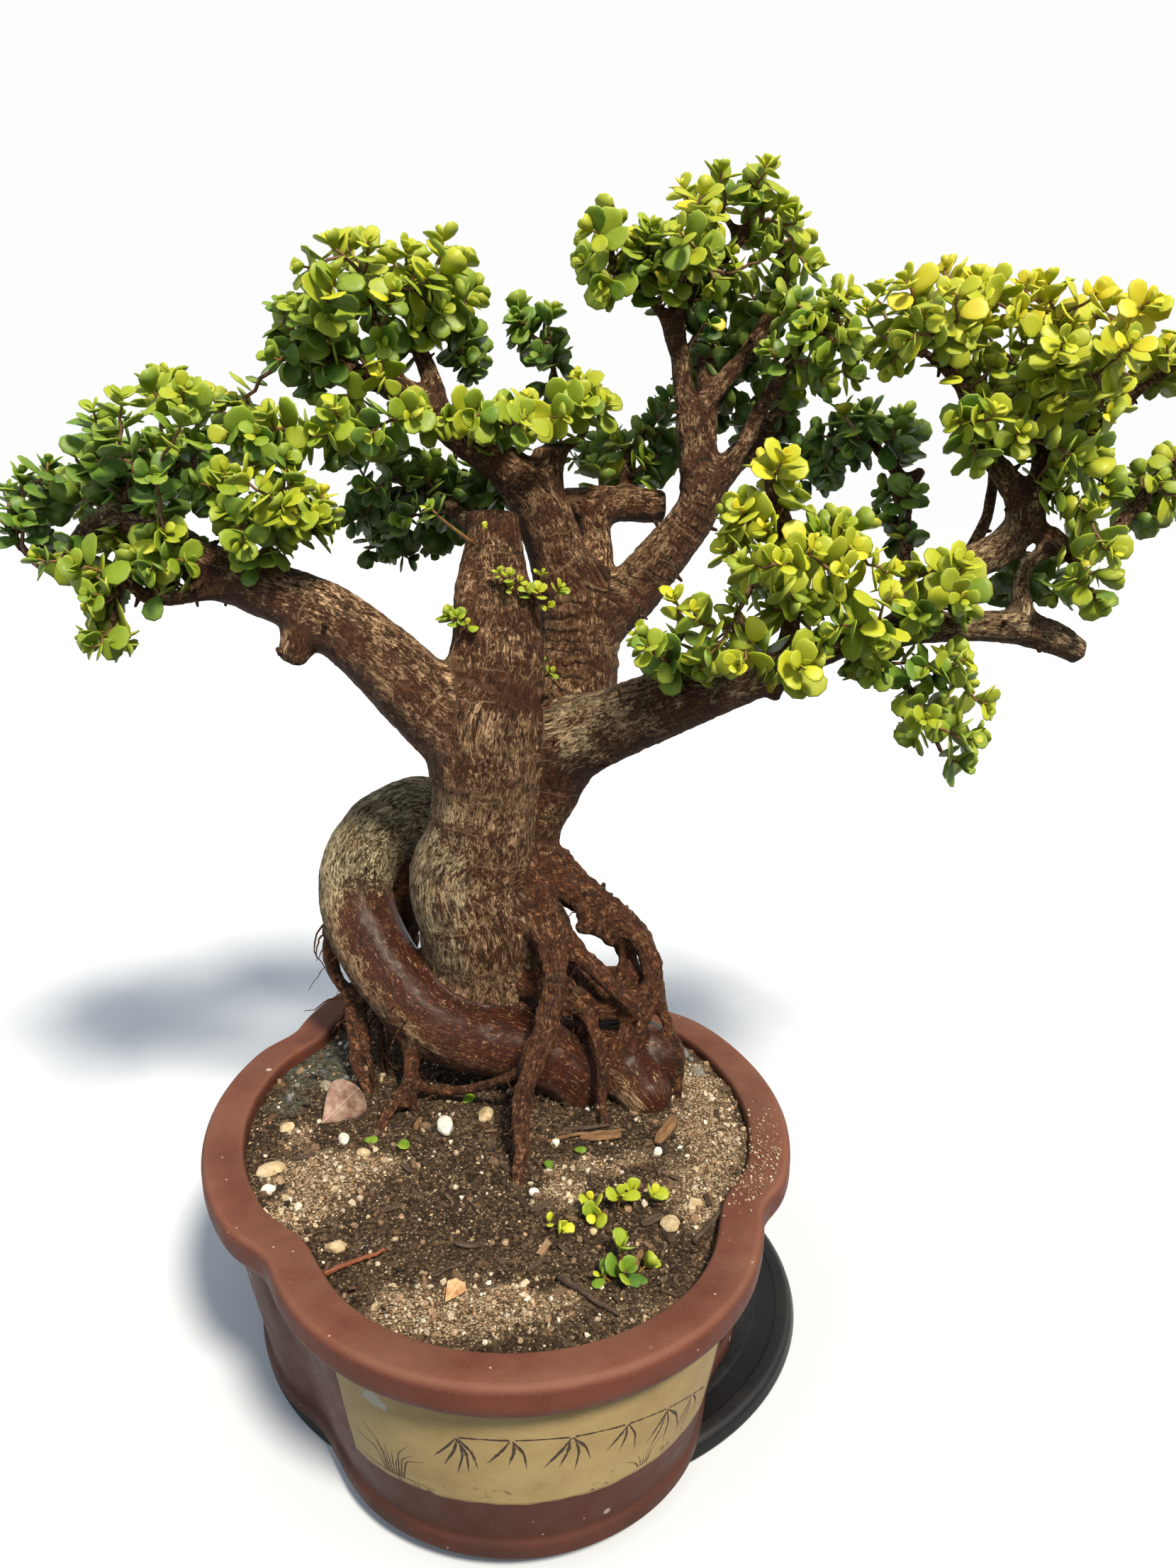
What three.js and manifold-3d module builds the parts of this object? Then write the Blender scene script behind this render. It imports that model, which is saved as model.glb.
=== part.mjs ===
// Dwarf jade (elephant bush) grown as a bonsai in a four-lobed clay pot on a round stand.
// Millimetres, +Z up. The origin is on the underside of the stand, on the pot's vertical axis;
// the pot's long axis lies along Y and its lobes face +X, -X, +Y and -Y.
import * as THREE from 'three';
import { mergeVertices } from 'three/addons/utils/BufferGeometryUtils.js';
import Module from 'manifold-3d';

const wasm = await Module();
wasm.setup();

// ---------------------------------------------------------------- driving dimensions (mm)
const GAP = 0.4;                 // air left between touching pieces
const STAND_T = 9;               // stand thickness
const STAND_R = 171.8;           // radius of its flat top
const STAND_R_FOOT = 175.3;      // radius of its bottom flange
const STAND_AT = [21.5, 0.9];    // centre of the stand under the pot
const POT_H = 130.4;             // pot height, foot to rim
const RIM_W = 25.5;              // width of the flat rim
const LOBE_R = 136.1, LOBE_C = 109.2;    // front and back lobes: arc radius, centre from the axis
const SIDE_R = 233.0, SIDE_C = 49.5;     // side lobes: arc radius, centre beyond the axis
const NOTCH_BLEND = 8;           // softening where the lobes meet
const NOTCH_IN = 5.2, NOTCH_W = 14, NOTCH_AT = [138, 126];   // how far the outline is drawn in there, over what width, and where
const FOOT_IN = 29.2;            // foot inset from the rim's outer edge
const FLOOR_Z = 13;              // inner floor above the foot plane
const DRAIN_R = 11, DRAIN_Y = 88; // two drain holes
const SCREEN_R = 21, SCREEN_T = 1.2;
const SOIL_Z = 121.5;            // soil level at the wall
const VIEW_TURN = -9.9 * Math.PI / 180;   // long axis of the leaf clusters against X

const LIMBS = {
  trunk: [[10.3, 83.5, 132.6, 31.4], [4.7, 78.4, 181, 34.3], [-1.8, 73.4, 218.3, 39.8], [-4.9, 69.9, 246.3, 42.5], [-12, 69.1, 272.2, 39.9], [-5.1, 64.8, 300.8, 35.3], [-2.4, 62.3, 328.3, 33.3], [-1.1, 61.1, 352.4, 34.3], [-1.3, 61.1, 375.7, 34], [3.2, 63.4, 395.7, 29.6]],
  stub_centre: [[3.1, 63.4, 390.6, 28.2], [8.1, 65.6, 410.9, 30.1], [10.1, 68.3, 432.7, 28.2], [10, 71.3, 449.7, 25.7], [8.2, 75.7, 469.1, 21.2], [7.9, 76.8, 481.3, 19.4], [8.2, 78.8, 493.4, 17.8], [8.6, 80.7, 507.8, 16.3]],
  stub_bump: [[-5.6, 63.9, 445.9, 12.8], [-6.9, 64.1, 456.7, 11.3], [-7.1, 66.2, 465.2, 10.8], [-4.7, 69.8, 475.6, 9.8]],
  stub_ledge: [[-6.4, 62, 401.2, 15], [-8.3, 60.3, 416.7, 13.4], [-8.7, 58.4, 431.9, 11.3], [-7.1, 59.1, 437.7, 9.3]],
  left_branch: [[-4, 61.6, 359.1, 28.4], [-13.5, 61.2, 369.9, 27.2], [-24.3, 61.1, 380, 26.3], [-35.5, 60, 391.7, 25.6], [-47.4, 59, 404.7, 24.6], [-59.2, 58, 417.5, 23.7], [-73.1, 57.4, 431.1, 21.8], [-87.3, 57.9, 443.4, 20.2], [-102.3, 58.5, 454, 19.1], [-119.7, 59.5, 461.2, 18.1], [-133.8, 60.9, 466.3, 17.1], [-146.4, 62.1, 471.5, 15.8], [-166.2, 64.5, 479.7, 14.6], [-181.7, 68.3, 489.7, 13.1], [-199.5, 73.4, 502.3, 11.7], [-215.8, 79.3, 507.9, 9.9], [-233.5, 86.4, 501.6, 6.6], [-249.5, 92.3, 488.2, 4.5], [-265.8, 97.1, 477.5, 3.6], [-279.9, 102.7, 489.4, 2.6], [-287.5, 106, 502.4, 1.9]],
  left_knob: [[-106.3, 57.1, 448, 11.5], [-112.7, 54.2, 438, 11], [-116.3, 52.8, 429.6, 10], [-118, 53.1, 424.8, 8.6]],
  left_low_twig: [[-152.8, 57.1, 470.1, 7], [-172.7, 54.5, 464.5, 5.1], [-189.7, 53.4, 461.6, 4.6], [-202.6, 52.6, 464.5, 3.9], [-210.5, 52, 473.8, 2.8], [-216.1, 51.9, 459.2, 2.1], [-222.1, 52, 440.8, 1.4]],
  back_trunk: [[29.2, 84.2, 326.4, 21.2], [39.9, 92.5, 351.4, 23.9], [52.8, 100.4, 373.8, 27.3], [65, 106.4, 396.8, 28.9], [67.8, 111, 417.6, 27.6], [68.1, 114, 438.6, 26.4], [65.5, 115.5, 457, 24.2]],
  b1: [[67.7, 115.1, 451.7, 23.4], [60.1, 115.4, 467.6, 21.7], [52.3, 113.7, 485.9, 19.9], [44.6, 111, 505.5, 18.6], [32.8, 108, 524.6, 16.9], [16.4, 105.8, 540.3, 13.9], [-3.8, 103.2, 552.2, 11.5], [-23, 101.5, 566.7, 9.6], [-44, 101.1, 582.2, 8.3], [-60.6, 101.9, 590.8, 7], [-68.3, 102.3, 589.3, 5.6]],
  b1_stub: [[43.7, 112.2, 511.5, 12.9], [46.5, 113.7, 531.5, 10.8], [48.3, 115.4, 547.4, 9.8]],
  b1_twig: [[48.3, 115.4, 540.5, 5.1], [57.7, 115.8, 550.5, 3.6], [68.1, 116, 556.6, 3.1], [75.4, 116.8, 571.5, 2.1]],
  b1_shoot: [[48.7, 118.4, 544, 3.6], [53.6, 130.7, 566.6, 3.1], [56, 140.5, 587, 2.6], [55, 144.7, 607.1, 1.8], [52.7, 147.1, 622, 1.3]],
  ul_branch: [[-25.3, 101.9, 569.5, 6.9], [-24.9, 103.8, 586, 6.1], [-32.6, 107.2, 602.4, 5.9], [-35.6, 109.7, 615, 4.9], [-29.9, 110.8, 626.7, 3.7], [-33.4, 111.4, 639.5, 2.4]],
  ul_left: [[-56.8, 102.3, 589.5, 5.4], [-75.6, 102.5, 596.5, 3.9], [-91.8, 103.3, 605.3, 2.6], [-105.5, 104.7, 614.2, 1.7]],
  ul_up: [[-52, 102.5, 586.8, 4.4], [-56.2, 101.2, 606, 3.4], [-61.3, 102.1, 624.1, 2.6], [-64.4, 102.6, 642, 1.7]],
  low_back_twig: [[-4.3, 94.1, 503.2, 6], [-14, 112.1, 511.3, 5.4], [-22.2, 127.7, 519.8, 4.7], [-35.4, 142.2, 522.9, 3.4], [-50.9, 153, 520, 2.4], [-64.2, 159.4, 514.5, 1.6]],
  b0: [[77.3, 120.5, 448.4, 14], [83.4, 125.5, 466.5, 11.3], [84.5, 132.5, 484.5, 10.8], [83.4, 139.7, 501, 10.8], [87.2, 143.1, 512.5, 11.4]],
  b0_log: [[67.3, 142.5, 514.5, 10.2], [85, 143.5, 514, 11.4], [107.1, 143.7, 514.1, 11.7], [131.1, 143.6, 512.6, 11.5]],
  b0_twig: [[107.5, 145.7, 515.6, 6], [109.2, 155.5, 534, 4.4], [110.1, 161.5, 549.8, 3], [105.3, 166.4, 563.1, 1.9]],
  b2: [[72.5, 114.2, 433.2, 19.8], [88.1, 113.5, 442.1, 19.3], [105.1, 112.6, 455.9, 18.7], [119.8, 112.1, 474.3, 17.3], [136, 111.3, 493.7, 15.9], [148.4, 111.1, 511.8, 14.8], [154.3, 111.1, 530.3, 13.1], [149.8, 111.9, 539.9, 11]],
  t1: [[148.6, 112.1, 529.7, 11], [147.2, 112.4, 542.4, 9.7], [142, 114.3, 567.4, 8.3], [138.5, 115.9, 589.2, 7.2], [135.2, 117.5, 608.3, 6.4], [131.9, 119.1, 625.8, 6.1], [134.5, 118.6, 640.1, 5.3], [138.6, 117.9, 654.4, 5.1], [142.8, 117.2, 662.9, 4.5], [144.1, 115.9, 675.4, 3.3], [145.5, 114.7, 687.3, 2.3]],
  t1_left: [[132.4, 119, 623.8, 4.4], [125.3, 116.2, 631.5, 3.8], [117.7, 113.5, 639.1, 3.5], [107.5, 110.2, 648.7, 3.5], [91.5, 106.9, 654.2, 3.2], [86.3, 104.7, 667.5, 2.5], [85.7, 102.8, 682.9, 1.7], [86.3, 101.7, 695.3, 1.2]],
  t1_right: [[137.2, 119.2, 643.1, 4.3], [147.2, 122.5, 651, 3.6], [155.1, 123.2, 657.5, 3.3], [165, 122.5, 669.1, 3.1], [173, 121.1, 681.4, 3], [179.8, 118.9, 691.1, 3], [185, 116.9, 700.3, 2.8], [180.9, 116.6, 708.8, 2.3], [176.4, 116.4, 715.4, 1.7]],
  t1_fork: [[174, 120.9, 682.9, 2.5], [167.6, 120, 689.9, 2.3], [161.3, 119, 696.9, 1.5]],
  t1_side: [[141.3, 117.5, 662.9, 3.3], [151.2, 109.6, 661.2, 2.8], [160.6, 103.9, 658.4, 2]],
  t2: [[142.9, 115.2, 565, 6.3], [151.8, 116.6, 581.1, 6], [161.5, 118, 589.3, 6], [176.4, 121.5, 606.6, 5.7], [189.2, 123.3, 623.3, 5.5], [200.1, 124.4, 639.8, 5.5], [204.4, 124.7, 651.6, 4.7], [206.8, 124.3, 665.1, 3.4], [202.7, 124, 679.2, 2.3]],
  t3: [[159.9, 104.1, 531.4, 6.8], [166.5, 99.9, 537.6, 5.7], [171.6, 96.9, 548.6, 5.4], [178, 93.8, 563, 5.4], [185.6, 90.4, 580.1, 5.1], [194.7, 86.8, 595.9, 4.5], [200.3, 83.8, 607.7, 3.8], [209.2, 79.2, 625.4, 2.7], [213.1, 77.5, 635.5, 2.2], [229, 71.7, 634.4, 1.5]],
  t4: [[157, 112.7, 527.2, 9], [175.4, 121.7, 542.6, 9], [193.9, 128.6, 558.8, 8.8], [208, 132.2, 569.9, 7.8]],
  t4_branch: [[205.5, 132.6, 566.3, 4.8], [216.6, 134.8, 582.4, 4], [222.9, 135.7, 596.4, 3.8], [234.9, 133.6, 607.2, 3.2], [243.7, 132.1, 619.4, 2.4], [248.4, 131.2, 635.4, 1.6]],
  dark_stub: [[152.3, 117.6, 545, 9], [155.6, 125.1, 567.9, 8.4], [158.3, 134.8, 598.1, 7.7], [157.8, 141, 626.6, 7.4]],
  side_trunk: [[23.5, 85.2, 247.4, 16.3], [31, 82.9, 270.8, 13.5], [35.1, 81.2, 291, 13.4], [40.3, 79.3, 310.9, 15.4], [47.4, 77, 333.2, 18.9], [51.2, 74.3, 352.7, 23.5], [53.9, 71.8, 363.9, 25.4]],
  right_branch: [[42.9, 75.7, 358, 20.8], [55.3, 70.5, 364.1, 25.4], [74.1, 59.1, 374.1, 24.5], [92.7, 48.8, 384.1, 23.2], [112.9, 37.1, 394.6, 21.4], [133.2, 27.5, 403, 18.7], [155.3, 17.6, 411.8, 15.1], [172.8, 10.4, 420.6, 13.1], [193.1, 4.9, 429.8, 11.1], [217.6, 0.6, 438.8, 9.1], [239.9, -2.3, 442.7, 8.6], [264.6, -3.5, 445.4, 8.9], [295.2, -5.8, 446.7, 9.6], [324.5, -7.9, 445.2, 10.2], [345.2, -9.5, 440.2, 10.2], [363.1, -10.6, 431.3, 8.1]],
  r_knob: [[167.7, 9.3, 416, 5.3], [173.6, 6.2, 407.6, 3.6], [174.6, 5.1, 401.4, 2.9]],
  p_up: [[179.9, 9.2, 421.6, 7.3], [179.1, -0.8, 447.1, 6.1], [174, -8, 476, 5.6], [169.9, -11.4, 503.4, 5.2], [161, -11.9, 525.5, 5], [155.5, -10.9, 538.5, 2.9]],
  r_tail: [[206.2, 0.6, 435.1, 5.3], [216.5, -7.3, 438, 4.5], [231.5, -16, 429.6, 4.2], [242.8, -22.1, 417.5, 3.3], [251.1, -25.6, 407.5, 2.6], [260.5, -29.2, 390.6, 1.9], [268.4, -30.6, 374.7, 1.2]],
  k: [[240.6, -1.4, 439.2, 7.2], [256.7, -2.2, 454.9, 9.1], [277, -0.6, 476, 10], [294.6, 0.4, 485.3, 10.8], [312.2, 0.3, 494.2, 11], [323.6, 0.4, 508.3, 9.8], [324.8, 0.2, 523.7, 8.8]],
  k1: [[324.6, 0.2, 521.3, 8.1], [312, -0.7, 533.3, 7.8], [298, -3.3, 547.3, 6.5], [282.4, -6.7, 571, 5.5], [272, -7.9, 586.1, 4.5], [262.2, -8.2, 595.3, 3.4], [249, -6.9, 604.5, 2]],
  k2: [[326.3, 0.9, 519, 7.9], [339.9, 1.6, 539, 7.4], [351.5, 0.6, 553.3, 6.9], [359.7, -1.9, 562, 5.7], [372.1, -6.1, 572.9, 4.2], [383.1, -10, 585.4, 3.3], [400.3, -13, 597.9, 2.3], [416, -13.7, 605.6, 1.4]],
  k3: [[328, 1.6, 516.6, 4.8], [333.4, 4.8, 530.5, 4.3], [332.6, 6.9, 551.8, 3.8], [332.4, 8, 576.4, 3.5], [332.6, 7.9, 592.1, 3.5], [332.3, 7, 611.9, 2.8], [330.8, 6.2, 629.3, 1.9]],
  k4: [[290.8, 12.2, 479, 3.7], [303.7, 20.1, 494.8, 3.9], [312.5, 22.6, 513.8, 3.9], [313.5, 22.4, 533.8, 3.2], [309.7, 23.1, 553.5, 1.9]],
  k5: [[329, 1.5, 507.3, 6.2], [346.6, 0.4, 498.8, 4.8], [363.9, 1.5, 492.1, 4.4], [382.4, 4.3, 494.7, 4.4], [394.9, 8.2, 507.5, 4.4], [407.9, 12, 517.9, 4.7], [417.3, 14.5, 531.8, 4.2], [428.7, 14.5, 543.3, 3.2], [441.5, 14.3, 554.9, 2]],
  k6: [[325.6, -8.1, 453.4, 6.8], [324.4, -5.9, 465.2, 5.8], [324.7, -3.9, 472.1, 5.1], [329.3, -2.7, 483.9, 4.3], [342.6, -3, 493.4, 3.9]],
  k7: [[345.3, -1.4, 500.4, 3.6], [350.2, -8.3, 491.4, 3.1], [354.7, -14.2, 481, 2.6], [359, -18, 466.2, 1.7]],
  back_right: [[251.2, 0.8, 446, 5.3], [260.3, 17.5, 463.2, 4.9], [266.3, 34.7, 483.1, 4.7], [270, 48.3, 499.9, 4.5], [272.2, 58.1, 519.2, 4.6], [270.8, 63.4, 531.9, 4.3], [265.6, 68.4, 543.1, 4.1], [253.2, 75.6, 555.3, 3.3], [243.3, 83.4, 557.2, 2.6], [233.2, 91.3, 550.7, 1.8]],
  back_right_stub: [[270.7, 59.3, 524.1, 4.6], [277.9, 59.1, 533, 4.3], [283.4, 59.2, 538.9, 3.8]],
  curved_root: [[-6.4, 122.9, 299.9, 26.6], [-25.4, 130.3, 297.3, 27.3], [-45.7, 132.8, 298.6, 27.3], [-65.7, 131.3, 290.6, 26.6], [-80.4, 123.7, 277.4, 25.9], [-87.4, 113.7, 260.3, 25.7], [-85.9, 100.3, 240.9, 25.2], [-77, 84.5, 220.1, 24.7], [-62.5, 67.8, 201.1, 23.9], [-44.1, 52.4, 183.9, 23.2], [-21.1, 39.2, 172.6, 22.5], [5.2, 29.6, 168.5, 21.3], [29.4, 22.3, 164.7, 20.8], [45.6, 18.4, 153.9, 21.3], [54.9, 16.8, 143.6, 19.8]],
  bulge_r: [[61.4, 50.2, 154.8, 19], [81.6, 26.4, 153.7, 17.5], [96.5, 1.4, 139.9, 17.6]],
  bulge_b: [[73.8, 58.2, 161.8, 16.4], [97, 35.9, 162.2, 16.1], [113.3, 22.9, 155.9, 14.8]],
  arch: [[35.4, 83.2, 283, 11.8], [49.1, 76.7, 275.5, 11.3], [62.5, 68.3, 263.6, 10.2], [77.9, 59.5, 250.7, 9.3], [93.8, 48.6, 238.7, 8.2], [105.4, 38.5, 225.1, 7.6], [107.8, 30.9, 209.5, 6.8], [101.5, 24.9, 192.8, 6.5], [93.6, 19.2, 178.4, 5.7], [84.3, 10.7, 158.9, 4.9], [78.5, 4.6, 145.5, 3.9]],
  arch_in: [[78.5, 59.4, 239.3, 6.4], [87.8, 55.7, 231.1, 6.2], [93.2, 51.8, 218.6, 5.9], [96.6, 46.1, 204.7, 5.6], [97.1, 38.9, 189.4, 4.5], [93.5, 30.4, 171.1, 3.4]],
  arch_nub: [[84, 54.4, 245.5, 6.4], [76, 51.7, 240.2, 5.8], [66, 49.4, 240, 4.5], [58.4, 48.7, 239.1, 3.4]],
  mid_root: [[26.9, 58.2, 286.1, 6.2], [30.5, 49.5, 276.9, 5.9], [36.8, 42.3, 267.2, 6.4], [42.3, 37.3, 256.1, 6.7], [46.5, 33.5, 244.7, 6.9], [53.2, 29.3, 233.9, 6.4], [63.6, 22.4, 224, 6.2], [75.9, 15.2, 213.1, 5.6], [85.5, 10.5, 204.6, 5.1], [91.6, 8.4, 192.9, 3.8]],
  front_root: [[31.6, 31, 245.5, 8.7], [37.4, 20.9, 235.7, 7.9], [38, 10.6, 222.1, 8.3], [32.9, -0.7, 207.6, 8.2], [28.5, -11.1, 194, 8.4], [20.7, -20.9, 182.9, 7.8], [13.4, -32.8, 172.2, 6.5], [10.4, -45.5, 159.9, 5.9], [7.6, -60.2, 145.7, 5.2], [4.5, -73.9, 132, 4.2], [3.4, -79.8, 128.7, 3.2]],
  root_cross: [[16.3, -17.1, 175.3, 3.7], [3.7, -8.8, 164.8, 3.5], [-11.7, 4.1, 153.4, 3.3], [-28.3, 15.1, 144.8, 3.1], [-44.3, 21.9, 144.6, 2.8], [-55.3, 23.9, 150.2, 2.3]],
  fork_root: [[-55.1, 50.2, 166.8, 6.8], [-54.5, 40, 160.4, 5.5], [-55.6, 28, 152.6, 4.9], [-58.7, 16.3, 145, 5.1], [-67.9, 7.8, 142.2, 4.5], [-75.2, -1.1, 134.6, 3.7], [-75.5, -14.2, 125.9, 2.2]],
  fork_root_b: [[-59.7, 16.5, 144.4, 3.6], [-54.9, 13.6, 136.6, 2.8], [-51.3, 9, 127.6, 1.8]],
  hang1: [[-97.5, 110.4, 235.9, 6.6], [-106.4, 103.8, 224.4, 4.6], [-105.6, 95.6, 200.3, 4.9], [-96.4, 85.9, 185.8, 3.8], [-93.4, 69.1, 160.2, 3.7], [-91.8, 58.7, 144.9, 3.5], [-85.2, 48.4, 137, 4], [-79.3, 38.2, 129.3, 2.9]],
  hang2: [[-91, 103.2, 220.8, 3.8], [-88.5, 92.6, 198.7, 3], [-85.5, 77.9, 175.9, 2.7], [-83.7, 63.3, 153.5, 2.4], [-77.6, 46, 131.8, 1.8]],
  hang3: [[-76.2, 90.4, 184.1, 3.3], [-74.3, 80, 162.2, 2.4], [-72.9, 71.6, 142.4, 2.2], [-71.4, 63.2, 126.4, 1.6]],
  thin_r1: [[53.6, 21.1, 201.3, 5.7], [60.6, 9.7, 192.8, 4.6], [65.2, -3.3, 175.1, 3.8], [65.1, -13.4, 156, 3.5], [65.1, -23.5, 132.7, 2.5]],
  thin_r2: [[109.3, 31.7, 199.9, 4.2], [113.5, 24.9, 186.8, 3.7], [118.2, 18, 172.6, 3.4], [121.9, 11.2, 152.6, 2.9], [118.6, -0.4, 131.5, 2.1]],
  low_root1: [[16.4, 58, 207, 9.1], [32.1, 35, 203.7, 7.8], [47.5, 25.2, 195.9, 7], [62.5, 20.6, 193.7, 7], [74.9, 19.4, 192.2, 6.2]],
  low_root2: [[17.8, 47.7, 182.8, 9.5], [37.8, 38.1, 174.4, 10], [60.7, 30, 165.1, 10.5], [83.2, 22, 167.4, 8.9]],
  back_root1: [[13.6, 109.3, 209, 16.9], [15.2, 129.3, 163, 15.8], [16.9, 149.3, 127.6, 12.7], [16.4, 171.7, 96.3, 8.1]],
  back_root2: [[46.2, 98.5, 223.4, 12.3], [68.5, 111.9, 186, 10.9], [88.2, 121.6, 151.9, 8.8], [102.3, 130.4, 127.2, 6]],
  arch_swell: [[40.9, 76.1, 274.9, 11.2], [52.1, 71.1, 264.8, 12.8], [63.6, 65, 255.6, 10.1], [72.1, 60.5, 249.5, 6.9]],
  arch_nub2: [[72.8, 58.4, 249.1, 5.3], [65.9, 55.5, 246.1, 4.5], [63.5, 53.9, 244.6, 3.7]],
  arch_nub3: [[83.7, 52.4, 241.8, 5.8], [80.9, 48.8, 234.3, 4.5], [80.1, 46.9, 228.3, 2.9]],
  mid_root_b: [[26.4, 46.2, 256.4, 8.8], [35, 40.6, 251.4, 7.7], [43.6, 35, 243.2, 6.7], [52.5, 31.4, 232, 5.7]],
  tangle1: [[35.8, 46.5, 221, 8.9], [49.3, 44.2, 210.9, 7.9], [63.9, 41.6, 200.8, 6.3], [82.9, 36.3, 193.9, 5.8], [96.1, 29.9, 193.6, 4.7]],
  tangle2: [[40.8, 59.9, 229.9, 8], [54.6, 57.5, 215.1, 7], [70.5, 54.7, 204.9, 5.9], [87, 49.8, 202.5, 5.9], [98.9, 43.6, 201, 4.8]],
  tangle3: [[43.4, 33, 210.6, 6.2], [55.8, 30.9, 200.6, 5.7], [62.4, 25.7, 190.1, 4.7], [60.8, 21.9, 179.5, 3.9]],
  tangle4: [[82.3, 20.2, 203.7, 4.1], [86.8, 15.3, 187.6, 3.9], [82.2, 12, 172.6, 3.4]],
  back_root3: [[-47.7, 130.1, 286.7, 13.9], [-52.1, 132.9, 266.6, 14], [-53.8, 136.3, 244.6, 13.6], [-55.1, 141.6, 218.4, 12.6], [-57.6, 148.1, 188, 11.7], [-63.8, 155.3, 153.4, 9.5], [-66.5, 159.8, 122.1, 6]],
};

// Each cluster: centre x, y, z and the half axes along its own x, y, z.
const CLUSTERS = [
  ['leaves_left_crown', [[-181, 77.3, 552.1, 52, 78, 45.5]]],
  ['leaves_left_outer', [[-128.2, 44.7, 513.7, 31.9, 50, 42.9], [-95.1, 41, 511.7, 15.6, 24, 16.5], [-120.6, 55.6, 553.4, 19.2, 34, 21.9]]],
  ['leaves_left_end', [[-230.9, 103.2, 533.5, 34.4, 55, 23.9], [-267.1, 111.6, 512.5, 30.9, 46, 29.9]]],
  ['leaves_left_tail', [[-231.8, 70.9, 484.1, 34.5, 42, 18.4], [-222.1, 59.1, 466.8, 17.6, 32, 18.3], [-222.6, 53.1, 443, 19.5, 30, 26.8], [-190.6, 59.7, 474.3, 16.8, 22, 12], [-187.2, 40.8, 489.9, 26.2, 22, 19.9]]],
  ['leaves_left_back', [[-210.6, 158.6, 534, 43.8, 45, 31.9]]],
  ['leaves_upper_left_crown', [[-63.6, 107.5, 637.2, 51, 70, 43.8], [-105.8, 104.7, 609.6, 26.9, 52, 35.4]]],
  ['leaves_upper_left_lobe', [[-17.8, 116.8, 650.6, 29.4, 50, 33.9]]],
  ['leaves_upper_left_front', [[-64.6, 70.2, 570.5, 40.4, 42, 26.3], [-86.3, 78, 553.2, 25.6, 34, 19.9]]],
  ['leaves_mid_front', [[13.1, 70.8, 570, 42.1, 44, 22]]],
  ['leaves_mid_right', [[70.1, 107.5, 579.8, 24.3, 40, 23.2]]],
  ['leaves_low_back', [[-47.3, 162.5, 512.4, 47.4, 52, 49.6], [-6.4, 143.2, 532.8, 29.5, 36, 26.4], [11, 150.3, 519.3, 25.7, 28, 15]]],
  ['leaves_mid_shoots', [[51.7, 151.4, 614.4, 20, 30, 32.6], [0.8, 152.1, 610.3, 17.7, 30, 19.7], [33.4, 152.5, 632.8, 12.5, 22, 17.6]]],
  ['leaves_back_pad', [[108.3, 180.1, 544.5, 44.9, 46, 26.9]]],
  ['leaves_top_crown', [[135.9, 106.2, 675.4, 35.7, 62, 41], [153.8, 121.4, 636.7, 20.5, 34, 19.3], [109.9, 102.6, 669.4, 17.7, 30, 25.5]]],
  ['leaves_top_left_sprig', [[79.6, 100.8, 669.8, 21.4, 34, 38.1]]],
  ['leaves_top_tip', [[172.5, 114, 715.7, 26.9, 36, 21.1]]],
  ['leaves_top_right', [[200.6, 125.4, 667.4, 33, 50, 45.3]]],
  ['leaves_top_low_right', [[207.5, 93.7, 616.3, 33.4, 48, 33.2]]],
  ['leaves_top_right_side', [[229.7, 73.6, 612.8, 23.8, 38, 45.7]]],
  ['leaves_top_back', [[183.4, 167, 602.2, 36.4, 46, 46.3], [138.6, 164.6, 564.5, 18.7, 36, 33.1]]],
  ['leaves_right_back', [[255.4, 83.3, 560.8, 44.2, 44, 25.7], [218.6, 136.4, 556.1, 31.5, 38, 22.8], [233.9, 111.4, 537, 17.1, 30, 18.1]]],
  ['leaves_right_back_low', [[269.4, 56.5, 511.8, 23.3, 32, 26.4]]],
  ['leaves_front_small', [[160.7, -15.9, 533.4, 27.7, 36, 20.5], [142.4, -8.6, 514.3, 15.4, 26, 13.5]]],
  ['leaves_low_right_left', [[117.6, 1.8, 442, 38.4, 42, 32.6]]],
  ['leaves_low_right_crown', [[158.4, -23.6, 484.2, 37.8, 52, 34]]],
  ['leaves_low_right_mid', [[204.5, -29.6, 468.8, 36.3, 50, 38], [202.3, -15, 507.2, 21, 30, 18.2]]],
  ['leaves_low_right_end', [[258.3, -30.9, 472.1, 30.3, 44, 28.2]]],
  ['leaves_low_right_front', [[156.6, -41.5, 431.4, 34.9, 32, 20.2]]],
  ['leaves_low_right_tail', [[266.3, -38.4, 399.6, 32.7, 36, 41.3], [221.9, -18.4, 424.5, 16, 24, 11.8], [259.1, -35.1, 431.2, 28.7, 28, 15.3]]],
  ['leaves_far_right_left', [[246.5, -6.5, 623.9, 42, 54, 37.3]]],
  ['leaves_far_right_crown', [[308.1, -5, 615.5, 35.5, 62, 38], [281.6, -2.5, 638.8, 16.2, 28, 12.2]]],
  ['leaves_far_right_end', [[342.9, -23.3, 612.1, 35.9, 58, 37.5], [407.8, -10.3, 605.3, 23.2, 46, 26.8]]],
  ['leaves_far_right_in', [[283.2, -19, 563.7, 25.4, 36, 28.1]]],
  ['leaves_far_right_mid', [[334.4, -23.8, 564.3, 34.6, 46, 30], [350.5, -20.6, 532.1, 25.1, 38, 20.4]]],
  ['leaves_far_right_low', [[356.3, -17.5, 488.8, 27.5, 44, 38.9], [344.6, 33.2, 468.3, 20.3, 30, 19.2]]],
  ['leaves_far_right_side', [[426.5, 18.9, 530.8, 30.9, 42, 33.8]]],
  ['leaves_far_right_back', [[377, 66.2, 589.1, 46.1, 44, 40.9]]],
];

// ---------------------------------------------------------------- helpers
const PART = new THREE.Group();

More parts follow.
